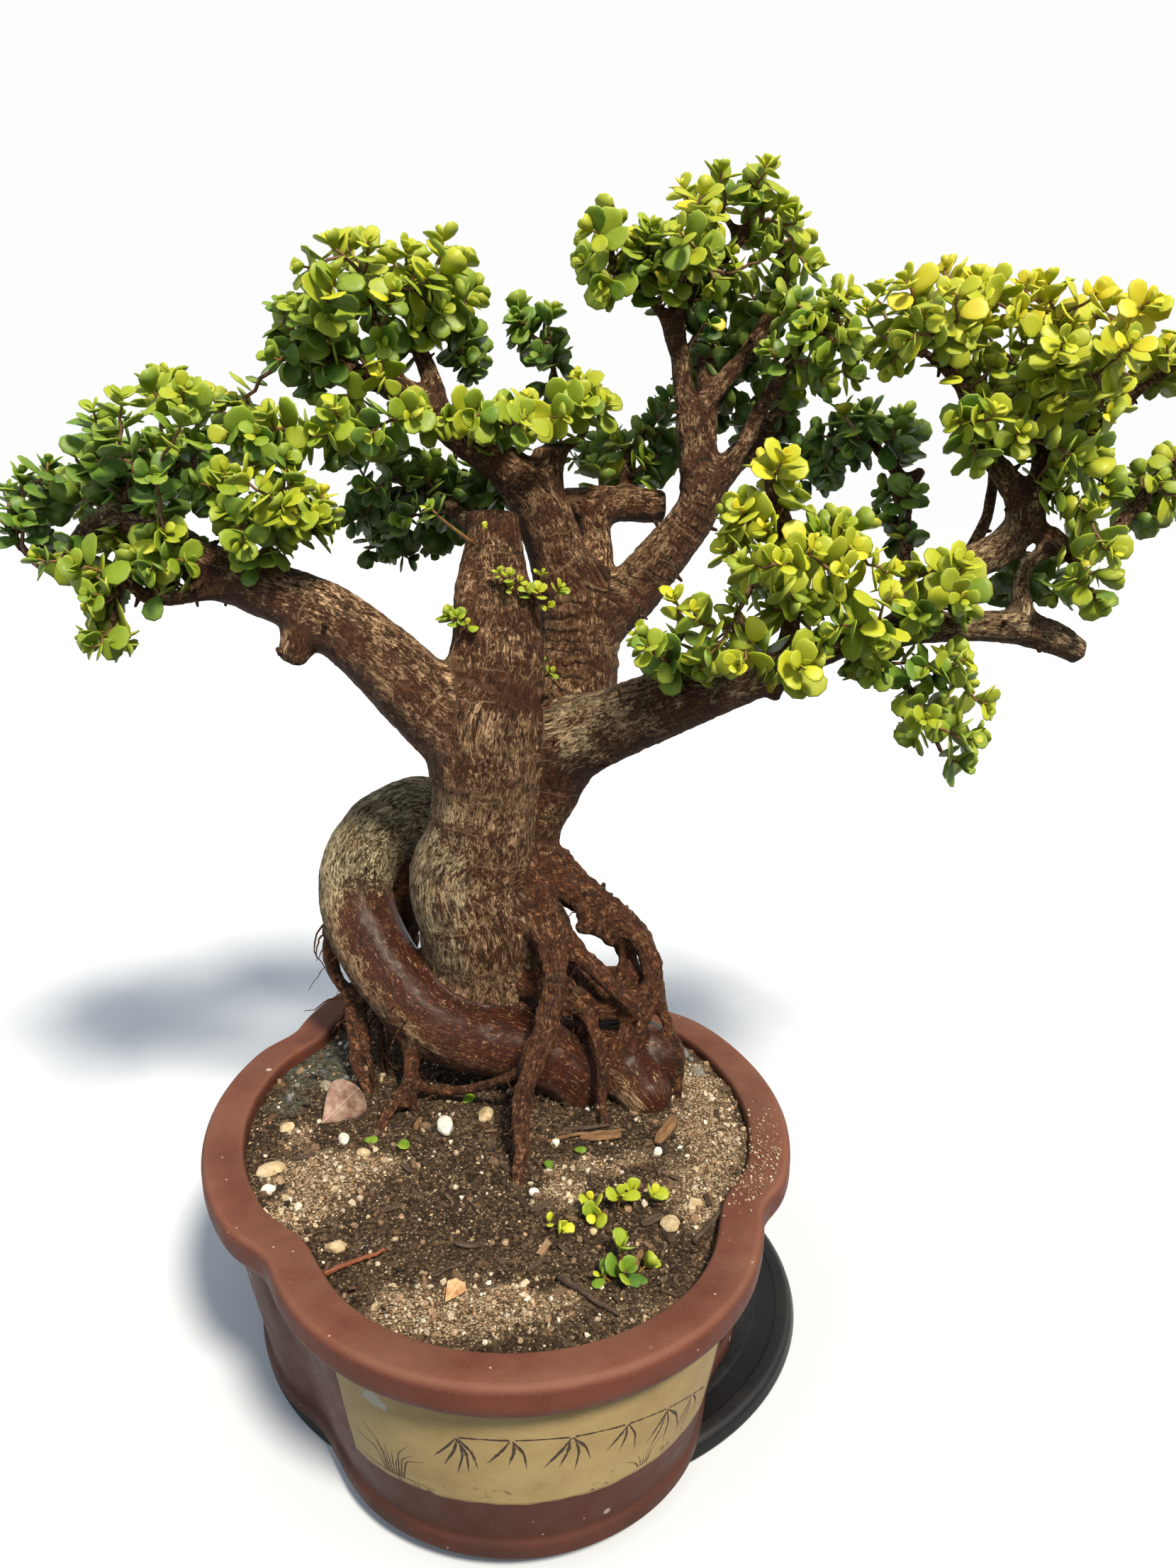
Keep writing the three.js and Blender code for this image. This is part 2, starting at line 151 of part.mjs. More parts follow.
function solid(geo) {
  const g = geo.index ? geo.toNonIndexed() : geo.clone();
  for (const k of Object.keys(g.attributes)) if (k !== 'position') g.deleteAttribute(k);
  const m = mergeVertices(g, 1e-4);
  return new wasm.Manifold(new wasm.Mesh({
    numProp: 3,
    vertProperties: new Float32Array(m.attributes.position.array),
    triVerts: new Uint32Array(m.index.array),
  }));
}

function geometryOf(man) {
  const mesh = man.getMesh();
  const g = new THREE.BufferGeometry();
  const n = mesh.vertProperties.length / mesh.numProp;
  const pos = new Float32Array(n * 3);
  for (let i = 0; i < n; i++) for (let k = 0; k < 3; k++) pos[i * 3 + k] = mesh.vertProperties[i * mesh.numProp + k];
  g.setAttribute('position', new THREE.BufferAttribute(pos, 3));
  g.setIndex(new THREE.BufferAttribute(new Uint32Array(mesh.triVerts), 1));
  g.computeVertexNormals();
  return g;
}

function largest(man) {
  const list = man.decompose();
  let best = list[0];
  for (const m of list) if (m.volume() > best.volume()) best = m;
  return best;
}

function add(name, geo, color, roughness, metalness = 0, group = PART) {
  const mesh = new THREE.Mesh(geo, new THREE.MeshStandardMaterial({ color, roughness, metalness }));
  mesh.name = name;
  group.add(mesh);
  return mesh;
}

// rings: list of rings with equal point counts, first and last closed by a fan
function loft(rings) {
  const n = rings[0].length, pos = [], idx = [];
  for (const r of rings) for (const p of r) pos.push(p[0], p[1], p[2]);
  for (let i = 0; i + 1 < rings.length; i++) for (let j = 0; j < n; j++) {
    const a = i * n + j, b = i * n + (j + 1) % n, c = a + n, d = b + n;
    idx.push(a, b, d, a, d, c);
  }
  const cap = (ring, base, flip) => {
    const c = [0, 0, 0];
    for (const p of ring) for (let k = 0; k < 3; k++) c[k] += p[k] / n;
    const ci = pos.length / 3; pos.push(...c);
    for (let j = 0; j < n; j++) {
      const a = base + j, b = base + (j + 1) % n;
      if (flip) idx.push(ci, b, a); else idx.push(ci, a, b);
    }
  };
  cap(rings[0], 0, true);
  cap(rings[rings.length - 1], (rings.length - 1) * n, false);
  const g = new THREE.BufferGeometry();
  g.setAttribute('position', new THREE.Float32BufferAttribute(pos, 3));
  g.setIndex(idx);
  return g;
}

// ---------------------------------------------------------------- the pot's four-lobed outline
function field(x, y) {
  const X = Math.abs(x), Y = Math.abs(y);
  const a = Math.hypot(X, Y - LOBE_C) - LOBE_R;
  const b = Math.hypot(X + SIDE_C, Y) - SIDE_R;
  const h = Math.min(1, Math.max(0, 0.5 + 0.5 * (b - a) / NOTCH_BLEND));
  const u = (X - NOTCH_AT[0]) * 0.82 + (Y - NOTCH_AT[1]) * 0.57, v = (Y - NOTCH_AT[1]) * 0.82 - (X - NOTCH_AT[0]) * 0.57;
  const drawnIn = NOTCH_IN * Math.exp(-v * v / (2 * NOTCH_W * NOTCH_W) - (u / 60) ** 2);
  return b * (1 - h) + a * h - NOTCH_BLEND * h * (1 - h) + drawnIn;
}
function outlineRadius(t, inset) {
  const c = Math.cos(t), s = Math.sin(t);
  let lo = 0, hi = 400;
  for (let i = 0; i < 32; i++) {
    const m = (lo + hi) / 2;
    if (field(m * c, m * s) + inset < 0) lo = m; else hi = m;
  }
  return lo;
}
const COLUMNS = 64;
function ring(inset, z, n = COLUMNS, scale = 1) {
  const out = [];
  for (let j = 0; j < n; j++) {
    const t = 2 * Math.PI * (j + 0.5) / n, r = outlineRadius(t, inset) * scale;
    out.push([r * Math.cos(t), r * Math.sin(t), z]);
  }
  return out;
}

// ---------------------------------------------------------------- round stand
{
  const p = [[0, 0], [STAND_R_FOOT - 1, 0], [STAND_R_FOOT, 1], [STAND_R_FOOT, 2.6], [STAND_R_FOOT - 1.6, 3.4],
    [STAND_R + 0.4, 6.4], [STAND_R - 3, STAND_T], [0, STAND_T]]
    .map(([r, z]) => new THREE.Vector2(r, z));
  const g = new THREE.LatheGeometry(p, 60);
  g.rotateX(Math.PI / 2);
  const m = solid(g);
  const stand = add('round_stand', geometryOf(m.volume() < 0 ? solid(g.scale(1, 1, -1)) : m), 0x141414, 0.6);
  stand.position.set(STAND_AT[0], STAND_AT[1], 0);
}

// ---------------------------------------------------------------- pot
const POT_PROFILE = [           // inset from the rim's edge, height above the foot plane
  [48, 4], [46, 0.1], [31, 0.1], [FOOT_IN, 2.4], [FOOT_IN, 9.6], [31.6, 12.4],
  [13.8, 107.5], [10.4, 110], [3.2, 111.2], [0, 116.2], [0.2, 127.4], [2.6, POT_H],
  [23.6, POT_H], [RIM_W, 127.4], [RIM_W, 100], [42, FLOOR_Z + 6], [47, FLOOR_Z],
];
const potGroup = new THREE.Group();
potGroup.position.z = STAND_T;
PART.add(potGroup);
{
  let pot = solid(loft(POT_PROFILE.map(([o, z]) => ring(o, z))));
  for (const s of [-1, 1]) {
    const c = new THREE.CylinderGeometry(DRAIN_R, DRAIN_R, 40, 20);
    c.rotateX(Math.PI / 2);
    c.translate(0, s * DRAIN_Y, FLOOR_Z);
    pot = pot.subtract(solid(c));
  }
  add('pot', geometryOf(pot), 0x7a3b30, 0.62, 0, potGroup);
}

// ---------------------------------------------------------------- drainage screens on the pot's floor
for (const [name, s] of [['drainage_screen_front', -1], ['drainage_screen_back', 1]]) {
  const disc = new THREE.CylinderGeometry(SCREEN_R, SCREEN_R, SCREEN_T, 28);
  disc.rotateX(Math.PI / 2);
  let m = solid(disc);
  const pitch = 9, w = 6.4;
  for (let i = -1; i <= 1; i++) for (let j = -1; j <= 1; j++) {
    const box = new THREE.BoxGeometry(w, w, 6);
    box.translate(i * pitch, j * pitch, 0);
    m = m.subtract(solid(box));
  }
  const mesh = add(name, geometryOf(m), 0x20262a, 0.55, 0, potGroup);
  mesh.position.set(0, s * DRAIN_Y, FLOOR_Z + 0.1 + SCREEN_T / 2);
}

// ---------------------------------------------------------------- wood: trunk, branches and surface roots, grown as one
const THINNEST = 3.3;            // finer twigs are part of the leaf clusters round them
function thinned(list) {
  const out = [];
  for (const p of list) {
    if (p[3] < THINNEST && out.length > 1) break;
    out.push(p);
  }
  if (Math.max(...out.map(p => p[3])) > 9.5 || out.length < 5) return out;
  return out.filter((p, i) => i % 2 === 0 || i === out.length - 1);
}
function limb(list, grow) {
  const points = thinned(list);
  const pts = points.map(p => new THREE.Vector3(p[0], p[1], p[2]));
  const curve = new THREE.CatmullRomCurve3(pts, false, 'centripetal');
  let rMax = 0;
  for (const p of points) rMax = Math.max(rMax, p[3]);
  const sides = rMax > 19 ? 9 : rMax > 11 ? 6 : rMax > 5 ? 5 : 4;
  const per = 1;
  const rings = [];
  const n = points.length;
  let normal = null, prevT = null;
  for (let i = 0; i <= (n - 1) * per; i++) {
    const u = i / ((n - 1) * per), k = Math.min(n - 2, Math.floor(u * (n - 1))), f = u * (n - 1) - k;
    const c = curve.getPoint(u), t = curve.getTangent(u).normalize();
    const r = points[k][3] * (1 - f) + points[k + 1][3] * f + grow;
    if (!normal) {
      normal = new THREE.Vector3(0, 0, 1);
      if (Math.abs(t.z) > 0.8) normal.set(1, 0, 0);
      normal.sub(t.clone().multiplyScalar(normal.dot(t))).normalize();
    } else {
      const q = new THREE.Quaternion().setFromUnitVectors(prevT, t);
      normal.applyQuaternion(q);
      normal.sub(t.clone().multiplyScalar(normal.dot(t))).normalize();
    }
    prevT = t.clone();
    const b = new THREE.Vector3().crossVectors(t, normal);
    const put = (centre, rad) => {
      const rr = [];
      for (let j = 0; j < sides; j++) {
        const a = 2 * Math.PI * j / sides;
        const v = centre.clone().addScaledVector(normal, rad * Math.cos(a)).addScaledVector(b, rad * Math.sin(a));
        rr.push([v.x, v.y, v.z]);
      }
      rings.push(rr);
    };
    if (i === 0) put(c.clone().addScaledVector(t, -0.45 * r), 0.72 * r);
    put(c, r);
    if (i === (n - 1) * per) put(c.clone().addScaledVector(t, 0.35 * r), 0.7 * r);
  }
  return solid(loft(rings));
}
function treeOf(grow) {
  let m = null;
  for (const k of Object.keys(LIMBS)) {
    if (LIMBS[k][0][3] < 3.7) continue;
    const s = limb(LIMBS[k], grow);
    m = m ? m.add(s) : s;
  }
  return m;
}
const tree = treeOf(0), fat = treeOf(GAP);
add('tree_wood', geometryOf(largest(tree)), 0x7d5a42, 0.8);

// ---------------------------------------------------------------- soil, mounded round the roots
function soilZ(x, y) {
  const d = Math.hypot((x - 10) / 95, (y - 55) / 110);
  const mound = 7.5 * Math.exp(-d * d);
  const side = 3.2 * Math.exp(-(((x - 135) / 45) ** 2 + ((y + 20) / 90) ** 2));
  return STAND_T + SOIL_Z + mound + side;
}
{
  const rings = [];
  rings.push(ring(47.6, STAND_T + FLOOR_Z + 1.8, COLUMNS));
  rings.push(ring(43.6, STAND_T + FLOOR_Z + 6.6, COLUMNS));
  rings.push(ring(RIM_W + 1.3, STAND_T + 100.4, COLUMNS));
  for (const s of [1, 0.62, 0.28]) {
    rings.push(ring(RIM_W + 1.3, 0, COLUMNS, s).map(([x, y]) => [x, y, soilZ(x, y)]));
  }
  let soil = solid(loft(rings)).subtract(fat);
  add('soil', geometryOf(largest(soil)), 0x6b563f, 0.95);
}

// ---------------------------------------------------------------- leaf clusters
const FULLNESS = 0.93;           // the clusters' leaf tips stand a little outside these solids
function blob([x, y, z, ea, eb, ec], grow, seed) {
  const a = ea * FULLNESS, b = eb * FULLNESS, c = ec * FULLNESS;
  const g = new THREE.SphereGeometry(1, 9, 6);
  const p = g.attributes.position;
  for (let i = 0; i < p.count; i++) {
    const v = new THREE.Vector3().fromBufferAttribute(p, i);
    const w = 1 + 0.05 * Math.sin(3.1 * v.x + seed) + 0.05 * Math.sin(3.7 * v.y + 2.1 * seed) + 0.04 * Math.sin(4.3 * v.z + 1.3 * seed);
    // SphereGeometry's poles lie along y: turn them to z
    p.setXYZ(i, v.x * (a + grow) * w, -v.z * (b + grow) * w, v.y * (c + grow) * w);
  }
  g.rotateZ(VIEW_TURN);
  g.translate(x, y, z);
  return solid(g);
}
const leafGroup = new THREE.Group();
PART.add(leafGroup);
let taken = fat;
CLUSTERS.forEach(([name, list], i) => {
  let m = null, mg = null;
  list.forEach((e, k) => {
    const s = blob(e, 0, i + 0.7 * k), sg = blob(e, GAP + 0.15, i + 0.7 * k);
    m = m ? m.add(s) : s;
    mg = mg ? mg.add(sg) : sg;
  });
  const own = largest(m.subtract(taken));
  taken = taken.add(mg);
  add(name, geometryOf(own), 0x6f9a2c, 0.45, 0, leafGroup);
});

// small leaf tufts straight on the trunk and the cut stub
const TUFTS = [
  ['sprout_stub_left', -20, 53, 447, 11, 9, 7], ['sprout_stub_front', 14.3, 43.5, 472, 9, 6, 7],
  ['sprout_stub_right', 36, 53, 462, 12, 7, 11], ['sprout_fork', 38.5, 66, 412, 8, 6, 7],
];
for (const [name, x, y, z, a, b, c] of TUFTS) {
  const g = new THREE.IcosahedronGeometry(1, 1);
  g.scale(a, b, c);
  g.translate(x, y, z);
  add(name, geometryOf(largest(solid(g).subtract(taken))), 0x8db53a, 0.45, 0, leafGroup);
}

// ---------------------------------------------------------------- loose things lying on the soil
const STONES = [   // name, x, y, half axes, turn, colour
  ['white_pebble', 0, 0, 5.6, 9.5, 4.8, 0.1, 0xe4dfd0], ['tan_pebble', 0, 0, 4.6, 7.6, 4.2, -0.4, 0xcdb48e],
  ['pale_stone', 0, 0, 9.5, 7, 3.4, 0.2, 0xd8c79e], ['round_stone', 0, 0, 6.4, 5.6, 4.2, 0.8, 0xc9a873],
  ['grey_stone', 0, 0, 8.5, 7, 5.2, 0.5, 0x6f7470],
];
const STONE_AT = { white_pebble: [-35, -13], tan_pebble: [-9, -6], pale_stone: [-141, -37], round_stone: [83, -127], grey_stone: [133, 57] };
for (const [name, , , a, b, c, turn, color] of STONES) {
  const [x, y] = STONE_AT[name];
  const g = new THREE.IcosahedronGeometry(1, 1);
  const p = g.attributes.position;
  for (let i = 0; i < p.count; i++) {
    const v = new THREE.Vector3().fromBufferAttribute(p, i);
    const w = 1 + 0.08 * Math.sin(5 * v.x + a) * Math.cos(4 * v.y + b);
    p.setXYZ(i, v.x * a * w, v.y * b * w, v.z * c * w);
  }
  g.rotateZ(turn);
  g.translate(x, y, soilZ(x, y) + 0.55 * c);
  const cut = new THREE.BufferGeometry().copy(g);
  add(name, geometryOf(largest(solid(cut).subtract(soilBlock()).subtract(fat))), color, 0.85);
}
// a block whose top follows the soil surface a little above it, to trim what lies on the soil
function soilBlock() {
  if (!soilBlock.m) {
    const rings = [ring(RIM_W - 2, STAND_T + 60, COLUMNS)];
    for (const s of [1, 0.62, 0.28]) rings.push(ring(RIM_W + GAP, 0, COLUMNS, s).map(([x, y]) => [x, y, soilZ(x, y) + 0.3]));
    soilBlock.m = solid(loft(rings));
  }
  return soilBlock.m;
}
const FLATS = [  // name, x, y, length, width, thickness, turn, tilt, colour
  ['bark_chip_left', 60, -38, 26, 9, 3.4, -0.2, 0.1, 0x8a5a34], ['bark_chip_right', 101, -40, 27, 8, 3.2, 0.95, 0.16, 0xa06a3a],
  ['dry_leaf', -99, 11, 33, 24, 1.6, 1.1, 0.5, 0x8c6a58], ['leaf_scrap', -40, -166, 16, 12, 1.4, 0.5, 0.12, 0xb08a5a],
  ['red_twig', -90, -134, 32, 3, 2.6, 0.33, 0.05, 0x8a3f26], ['dark_twig', 27, -183, 34, 4, 3, -0.88, 0.1, 0x3e2a20],
];
for (const [name, x, y, l, w, t, turn, tilt, color] of FLATS) {
  const k = 10, low = [], high = [];
  for (let i = 0; i < k; i++) {
    const a = 2 * Math.PI * i / k, q = 1 + 0.1 * Math.sin(3 * a + l);
    const px = l / 2 * Math.sign(Math.cos(a)) * Math.abs(Math.cos(a)) ** 0.8 * q, py = w / 2 * Math.sign(Math.sin(a)) * Math.abs(Math.sin(a)) ** 0.8 * q;
    low.push([px, py, 0]); high.push([px * 0.94, py * 0.9, t]);
  }
  const g = loft([low, high]);
  g.rotateY(-tilt);
  g.rotateZ(turn);
  g.translate(x, y, soilZ(x, y) + 0.4 + Math.abs(Math.sin(tilt)) * l / 2);
  add(name, geometryOf(largest(solid(g).subtract(soilBlock()).subtract(fat))), color, 0.85);
}
// two little seedlings rooted in the soil
const SEEDLINGS = [['seedling_right', 58, -101, 17, 9], ['seedling_front', 50, -157, 12, 8]];
for (const [name, x, y, a, b] of SEEDLINGS) {
  const g = new THREE.IcosahedronGeometry(1, 1);
  g.scale(a, b, 7);
  g.translate(x, y, soilZ(x, y) + 6);
  add(name, geometryOf(largest(solid(g).subtract(soilBlock()).subtract(fat))), 0x8fc23c, 0.5);
}

export default PART;
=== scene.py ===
# Dwarf jade bonsai in a four-lobed clay pot on a round stand. Metres in Blender; the tables are in millimetres.
import bpy, bmesh, math, time
import numpy as np
from mathutils import Vector, Matrix


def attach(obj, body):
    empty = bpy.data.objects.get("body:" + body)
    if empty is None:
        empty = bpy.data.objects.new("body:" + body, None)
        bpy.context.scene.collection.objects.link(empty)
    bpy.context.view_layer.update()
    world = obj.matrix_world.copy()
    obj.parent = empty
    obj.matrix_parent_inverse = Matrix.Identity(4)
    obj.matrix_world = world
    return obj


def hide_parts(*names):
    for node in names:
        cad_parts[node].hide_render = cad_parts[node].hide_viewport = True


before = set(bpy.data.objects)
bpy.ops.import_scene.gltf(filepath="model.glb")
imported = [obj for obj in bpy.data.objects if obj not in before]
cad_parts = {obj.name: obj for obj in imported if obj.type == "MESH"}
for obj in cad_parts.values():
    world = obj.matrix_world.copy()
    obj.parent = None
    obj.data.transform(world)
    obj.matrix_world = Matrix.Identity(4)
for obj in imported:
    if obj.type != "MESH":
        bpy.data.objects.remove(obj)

T0 = time.time()
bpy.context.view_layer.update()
MM = 0.001
rng = np.random.default_rng(20)

def say(*a):
    print("[%.1fs]" % (time.time() - T0), *a, flush=True)

# ------------------------------------------------------------------ dimensions, as in the CAD
STAND_T = 9.0; STAND_R = 171.8; STAND_R_FOOT = 175.3; STAND_AT = (21.5, 0.9)
POT_H = 130.4; RIM_W = 25.5; LOBE_R = 136.1; LOBE_C = 109.2; SIDE_R = 233.0; SIDE_C = 49.5
NOTCH_BLEND = 8.0; FOOT_IN = 29.2; FLOOR_Z = 13.0; DRAIN_R = 11.0; DRAIN_Y = 88.0
SOIL_Z = 121.5
VIEW_TURN = math.radians(-9.9)

# limb axes: x, y, z, radius
LIMBS = {
    'trunk': [(10.3, 83.5, 132.6, 31.4), (4.7, 78.4, 181, 34.3), (-1.8, 73.4, 218.3, 39.8), (-4.9, 69.9, 246.3, 42.5), (-12, 69.1, 272.2, 39.9), (-5.1, 64.8, 300.8, 35.3), (-2.4, 62.3, 328.3, 33.3), (-1.1, 61.1, 352.4, 34.3), (-1.3, 61.1, 375.7, 34), (3.2, 63.4, 395.7, 29.6)],
    'stub_centre': [(3.1, 63.4, 390.6, 28.2), (8.1, 65.6, 410.9, 30.1), (10.1, 68.3, 432.7, 28.2), (10, 71.3, 449.7, 25.7), (8.2, 75.7, 469.1, 21.2), (7.9, 76.8, 481.3, 19.4), (8.2, 78.8, 493.4, 17.8), (8.6, 80.7, 507.8, 16.3)],
    'stub_bump': [(-5.6, 63.9, 445.9, 12.8), (-6.9, 64.1, 456.7, 11.3), (-7.1, 66.2, 465.2, 10.8), (-4.7, 69.8, 475.6, 9.8)],
    'stub_ledge': [(-6.4, 62, 401.2, 15), (-8.3, 60.3, 416.7, 13.4), (-8.7, 58.4, 431.9, 11.3), (-7.1, 59.1, 437.7, 9.3)],
    'left_branch': [(-4, 61.6, 359.1, 28.4), (-13.5, 61.2, 369.9, 27.2), (-24.3, 61.1, 380, 26.3), (-35.5, 60, 391.7, 25.6), (-47.4, 59, 404.7, 24.6), (-59.2, 58, 417.5, 23.7), (-73.1, 57.4, 431.1, 21.8), (-87.3, 57.9, 443.4, 20.2), (-102.3, 58.5, 454, 19.1), (-119.7, 59.5, 461.2, 18.1), (-133.8, 60.9, 466.3, 17.1), (-146.4, 62.1, 471.5, 15.8), (-166.2, 64.5, 479.7, 14.6), (-181.7, 68.3, 489.7, 13.1), (-199.5, 73.4, 502.3, 11.7), (-215.8, 79.3, 507.9, 9.9), (-233.5, 86.4, 501.6, 6.6), (-249.5, 92.3, 488.2, 4.5), (-265.8, 97.1, 477.5, 3.6), (-279.9, 102.7, 489.4, 2.6), (-287.5, 106, 502.4, 1.9)],
    'left_knob': [(-106.3, 57.1, 448, 11.5), (-112.7, 54.2, 438, 11), (-116.3, 52.8, 429.6, 10), (-118, 53.1, 424.8, 8.6)],
    'left_low_twig': [(-152.8, 57.1, 470.1, 7), (-172.7, 54.5, 464.5, 5.1), (-189.7, 53.4, 461.6, 4.6), (-202.6, 52.6, 464.5, 3.9), (-210.5, 52, 473.8, 2.8), (-216.1, 51.9, 459.2, 2.1), (-222.1, 52, 440.8, 1.4)],
    'back_trunk': [(29.2, 84.2, 326.4, 21.2), (39.9, 92.5, 351.4, 23.9), (52.8, 100.4, 373.8, 27.3), (65, 106.4, 396.8, 28.9), (67.8, 111, 417.6, 27.6), (68.1, 114, 438.6, 26.4), (65.5, 115.5, 457, 24.2)],
    'b1': [(67.7, 115.1, 451.7, 23.4), (60.1, 115.4, 467.6, 21.7), (52.3, 113.7, 485.9, 19.9), (44.6, 111, 505.5, 18.6), (32.8, 108, 524.6, 16.9), (16.4, 105.8, 540.3, 13.9), (-3.8, 103.2, 552.2, 11.5), (-23, 101.5, 566.7, 9.6), (-44, 101.1, 582.2, 8.3), (-60.6, 101.9, 590.8, 7), (-68.3, 102.3, 589.3, 5.6)],
    'b1_stub': [(43.7, 112.2, 511.5, 12.9), (46.5, 113.7, 531.5, 10.8), (48.3, 115.4, 547.4, 9.8)],
    'b1_twig': [(48.3, 115.4, 540.5, 5.1), (57.7, 115.8, 550.5, 3.6), (68.1, 116, 556.6, 3.1), (75.4, 116.8, 571.5, 2.1)],
    'b1_shoot': [(48.7, 118.4, 544, 3.6), (53.6, 130.7, 566.6, 3.1), (56, 140.5, 587, 2.6), (55, 144.7, 607.1, 1.8), (52.7, 147.1, 622, 1.3)],
    'ul_branch': [(-25.3, 101.9, 569.5, 6.9), (-24.9, 103.8, 586, 6.1), (-32.6, 107.2, 602.4, 5.9), (-35.6, 109.7, 615, 4.9), (-29.9, 110.8, 626.7, 3.7), (-33.4, 111.4, 639.5, 2.4)],
    'ul_left': [(-56.8, 102.3, 589.5, 5.4), (-75.6, 102.5, 596.5, 3.9), (-91.8, 103.3, 605.3, 2.6), (-105.5, 104.7, 614.2, 1.7)],
    'ul_up': [(-52, 102.5, 586.8, 4.4), (-56.2, 101.2, 606, 3.4), (-61.3, 102.1, 624.1, 2.6), (-64.4, 102.6, 642, 1.7)],
    'low_back_twig': [(-4.3, 94.1, 503.2, 6), (-14, 112.1, 511.3, 5.4), (-22.2, 127.7, 519.8, 4.7), (-35.4, 142.2, 522.9, 3.4), (-50.9, 153, 520, 2.4), (-64.2, 159.4, 514.5, 1.6)],
    'b0': [(77.3, 120.5, 448.4, 14), (83.4, 125.5, 466.5, 11.3), (84.5, 132.5, 484.5, 10.8), (83.4, 139.7, 501, 10.8), (87.2, 143.1, 512.5, 11.4)],
    'b0_log': [(67.3, 142.5, 514.5, 10.2), (85, 143.5, 514, 11.4), (107.1, 143.7, 514.1, 11.7), (131.1, 143.6, 512.6, 11.5)],
    'b0_twig': [(107.5, 145.7, 515.6, 6), (109.2, 155.5, 534, 4.4), (110.1, 161.5, 549.8, 3), (105.3, 166.4, 563.1, 1.9)],
    'b2': [(72.5, 114.2, 433.2, 19.8), (88.1, 113.5, 442.1, 19.3), (105.1, 112.6, 455.9, 18.7), (119.8, 112.1, 474.3, 17.3), (136, 111.3, 493.7, 15.9), (148.4, 111.1, 511.8, 14.8), (154.3, 111.1, 530.3, 13.1), (149.8, 111.9, 539.9, 11)],
    't1': [(148.6, 112.1, 529.7, 11), (147.2, 112.4, 542.4, 9.7), (142, 114.3, 567.4, 8.3), (138.5, 115.9, 589.2, 7.2), (135.2, 117.5, 608.3, 6.4), (131.9, 119.1, 625.8, 6.1), (134.5, 118.6, 640.1, 5.3), (138.6, 117.9, 654.4, 5.1), (142.8, 117.2, 662.9, 4.5), (144.1, 115.9, 675.4, 3.3), (145.5, 114.7, 687.3, 2.3)],
    't1_left': [(132.4, 119, 623.8, 4.4), (125.3, 116.2, 631.5, 3.8), (117.7, 113.5, 639.1, 3.5), (107.5, 110.2, 648.7, 3.5), (91.5, 106.9, 654.2, 3.2), (86.3, 104.7, 667.5, 2.5), (85.7, 102.8, 682.9, 1.7), (86.3, 101.7, 695.3, 1.2)],
    't1_right': [(137.2, 119.2, 643.1, 4.3), (147.2, 122.5, 651, 3.6), (155.1, 123.2, 657.5, 3.3), (165, 122.5, 669.1, 3.1), (173, 121.1, 681.4, 3), (179.8, 118.9, 691.1, 3), (185, 116.9, 700.3, 2.8), (180.9, 116.6, 708.8, 2.3), (176.4, 116.4, 715.4, 1.7)],
    't1_fork': [(174, 120.9, 682.9, 2.5), (167.6, 120, 689.9, 2.3), (161.3, 119, 696.9, 1.5)],
    't1_side': [(141.3, 117.5, 662.9, 3.3), (151.2, 109.6, 661.2, 2.8), (160.6, 103.9, 658.4, 2)],
    't2': [(142.9, 115.2, 565, 6.3), (151.8, 116.6, 581.1, 6), (161.5, 118, 589.3, 6), (176.4, 121.5, 606.6, 5.7), (189.2, 123.3, 623.3, 5.5), (200.1, 124.4, 639.8, 5.5), (204.4, 124.7, 651.6, 4.7), (206.8, 124.3, 665.1, 3.4), (202.7, 124, 679.2, 2.3)],
    't3': [(159.9, 104.1, 531.4, 6.8), (166.5, 99.9, 537.6, 5.7), (171.6, 96.9, 548.6, 5.4), (178, 93.8, 563, 5.4), (185.6, 90.4, 580.1, 5.1), (194.7, 86.8, 595.9, 4.5), (200.3, 83.8, 607.7, 3.8), (209.2, 79.2, 625.4, 2.7), (213.1, 77.5, 635.5, 2.2), (229, 71.7, 634.4, 1.5)],
    't4': [(157, 112.7, 527.2, 9), (175.4, 121.7, 542.6, 9), (193.9, 128.6, 558.8, 8.8), (208, 132.2, 569.9, 7.8)],
    't4_branch': [(205.5, 132.6, 566.3, 4.8), (216.6, 134.8, 582.4, 4), (222.9, 135.7, 596.4, 3.8), (234.9, 133.6, 607.2, 3.2), (243.7, 132.1, 619.4, 2.4), (248.4, 131.2, 635.4, 1.6)],
    'dark_stub': [(152.3, 117.6, 545, 9), (155.6, 125.1, 567.9, 8.4), (158.3, 134.8, 598.1, 7.7), (157.8, 141, 626.6, 7.4)],
    'side_trunk': [(23.5, 85.2, 247.4, 16.3), (31, 82.9, 270.8, 13.5), (35.1, 81.2, 291, 13.4), (40.3, 79.3, 310.9, 15.4), (47.4, 77, 333.2, 18.9), (51.2, 74.3, 352.7, 23.5), (53.9, 71.8, 363.9, 25.4)],
    'right_branch': [(42.9, 75.7, 358, 20.8), (55.3, 70.5, 364.1, 25.4), (74.1, 59.1, 374.1, 24.5), (92.7, 48.8, 384.1, 23.2), (112.9, 37.1, 394.6, 21.4), (133.2, 27.5, 403, 18.7), (155.3, 17.6, 411.8, 15.1), (172.8, 10.4, 420.6, 13.1), (193.1, 4.9, 429.8, 11.1), (217.6, 0.6, 438.8, 9.1), (239.9, -2.3, 442.7, 8.6), (264.6, -3.5, 445.4, 8.9), (295.2, -5.8, 446.7, 9.6), (324.5, -7.9, 445.2, 10.2), (345.2, -9.5, 440.2, 10.2), (363.1, -10.6, 431.3, 8.1)],
    'r_knob': [(167.7, 9.3, 416, 5.3), (173.6, 6.2, 407.6, 3.6), (174.6, 5.1, 401.4, 2.9)],
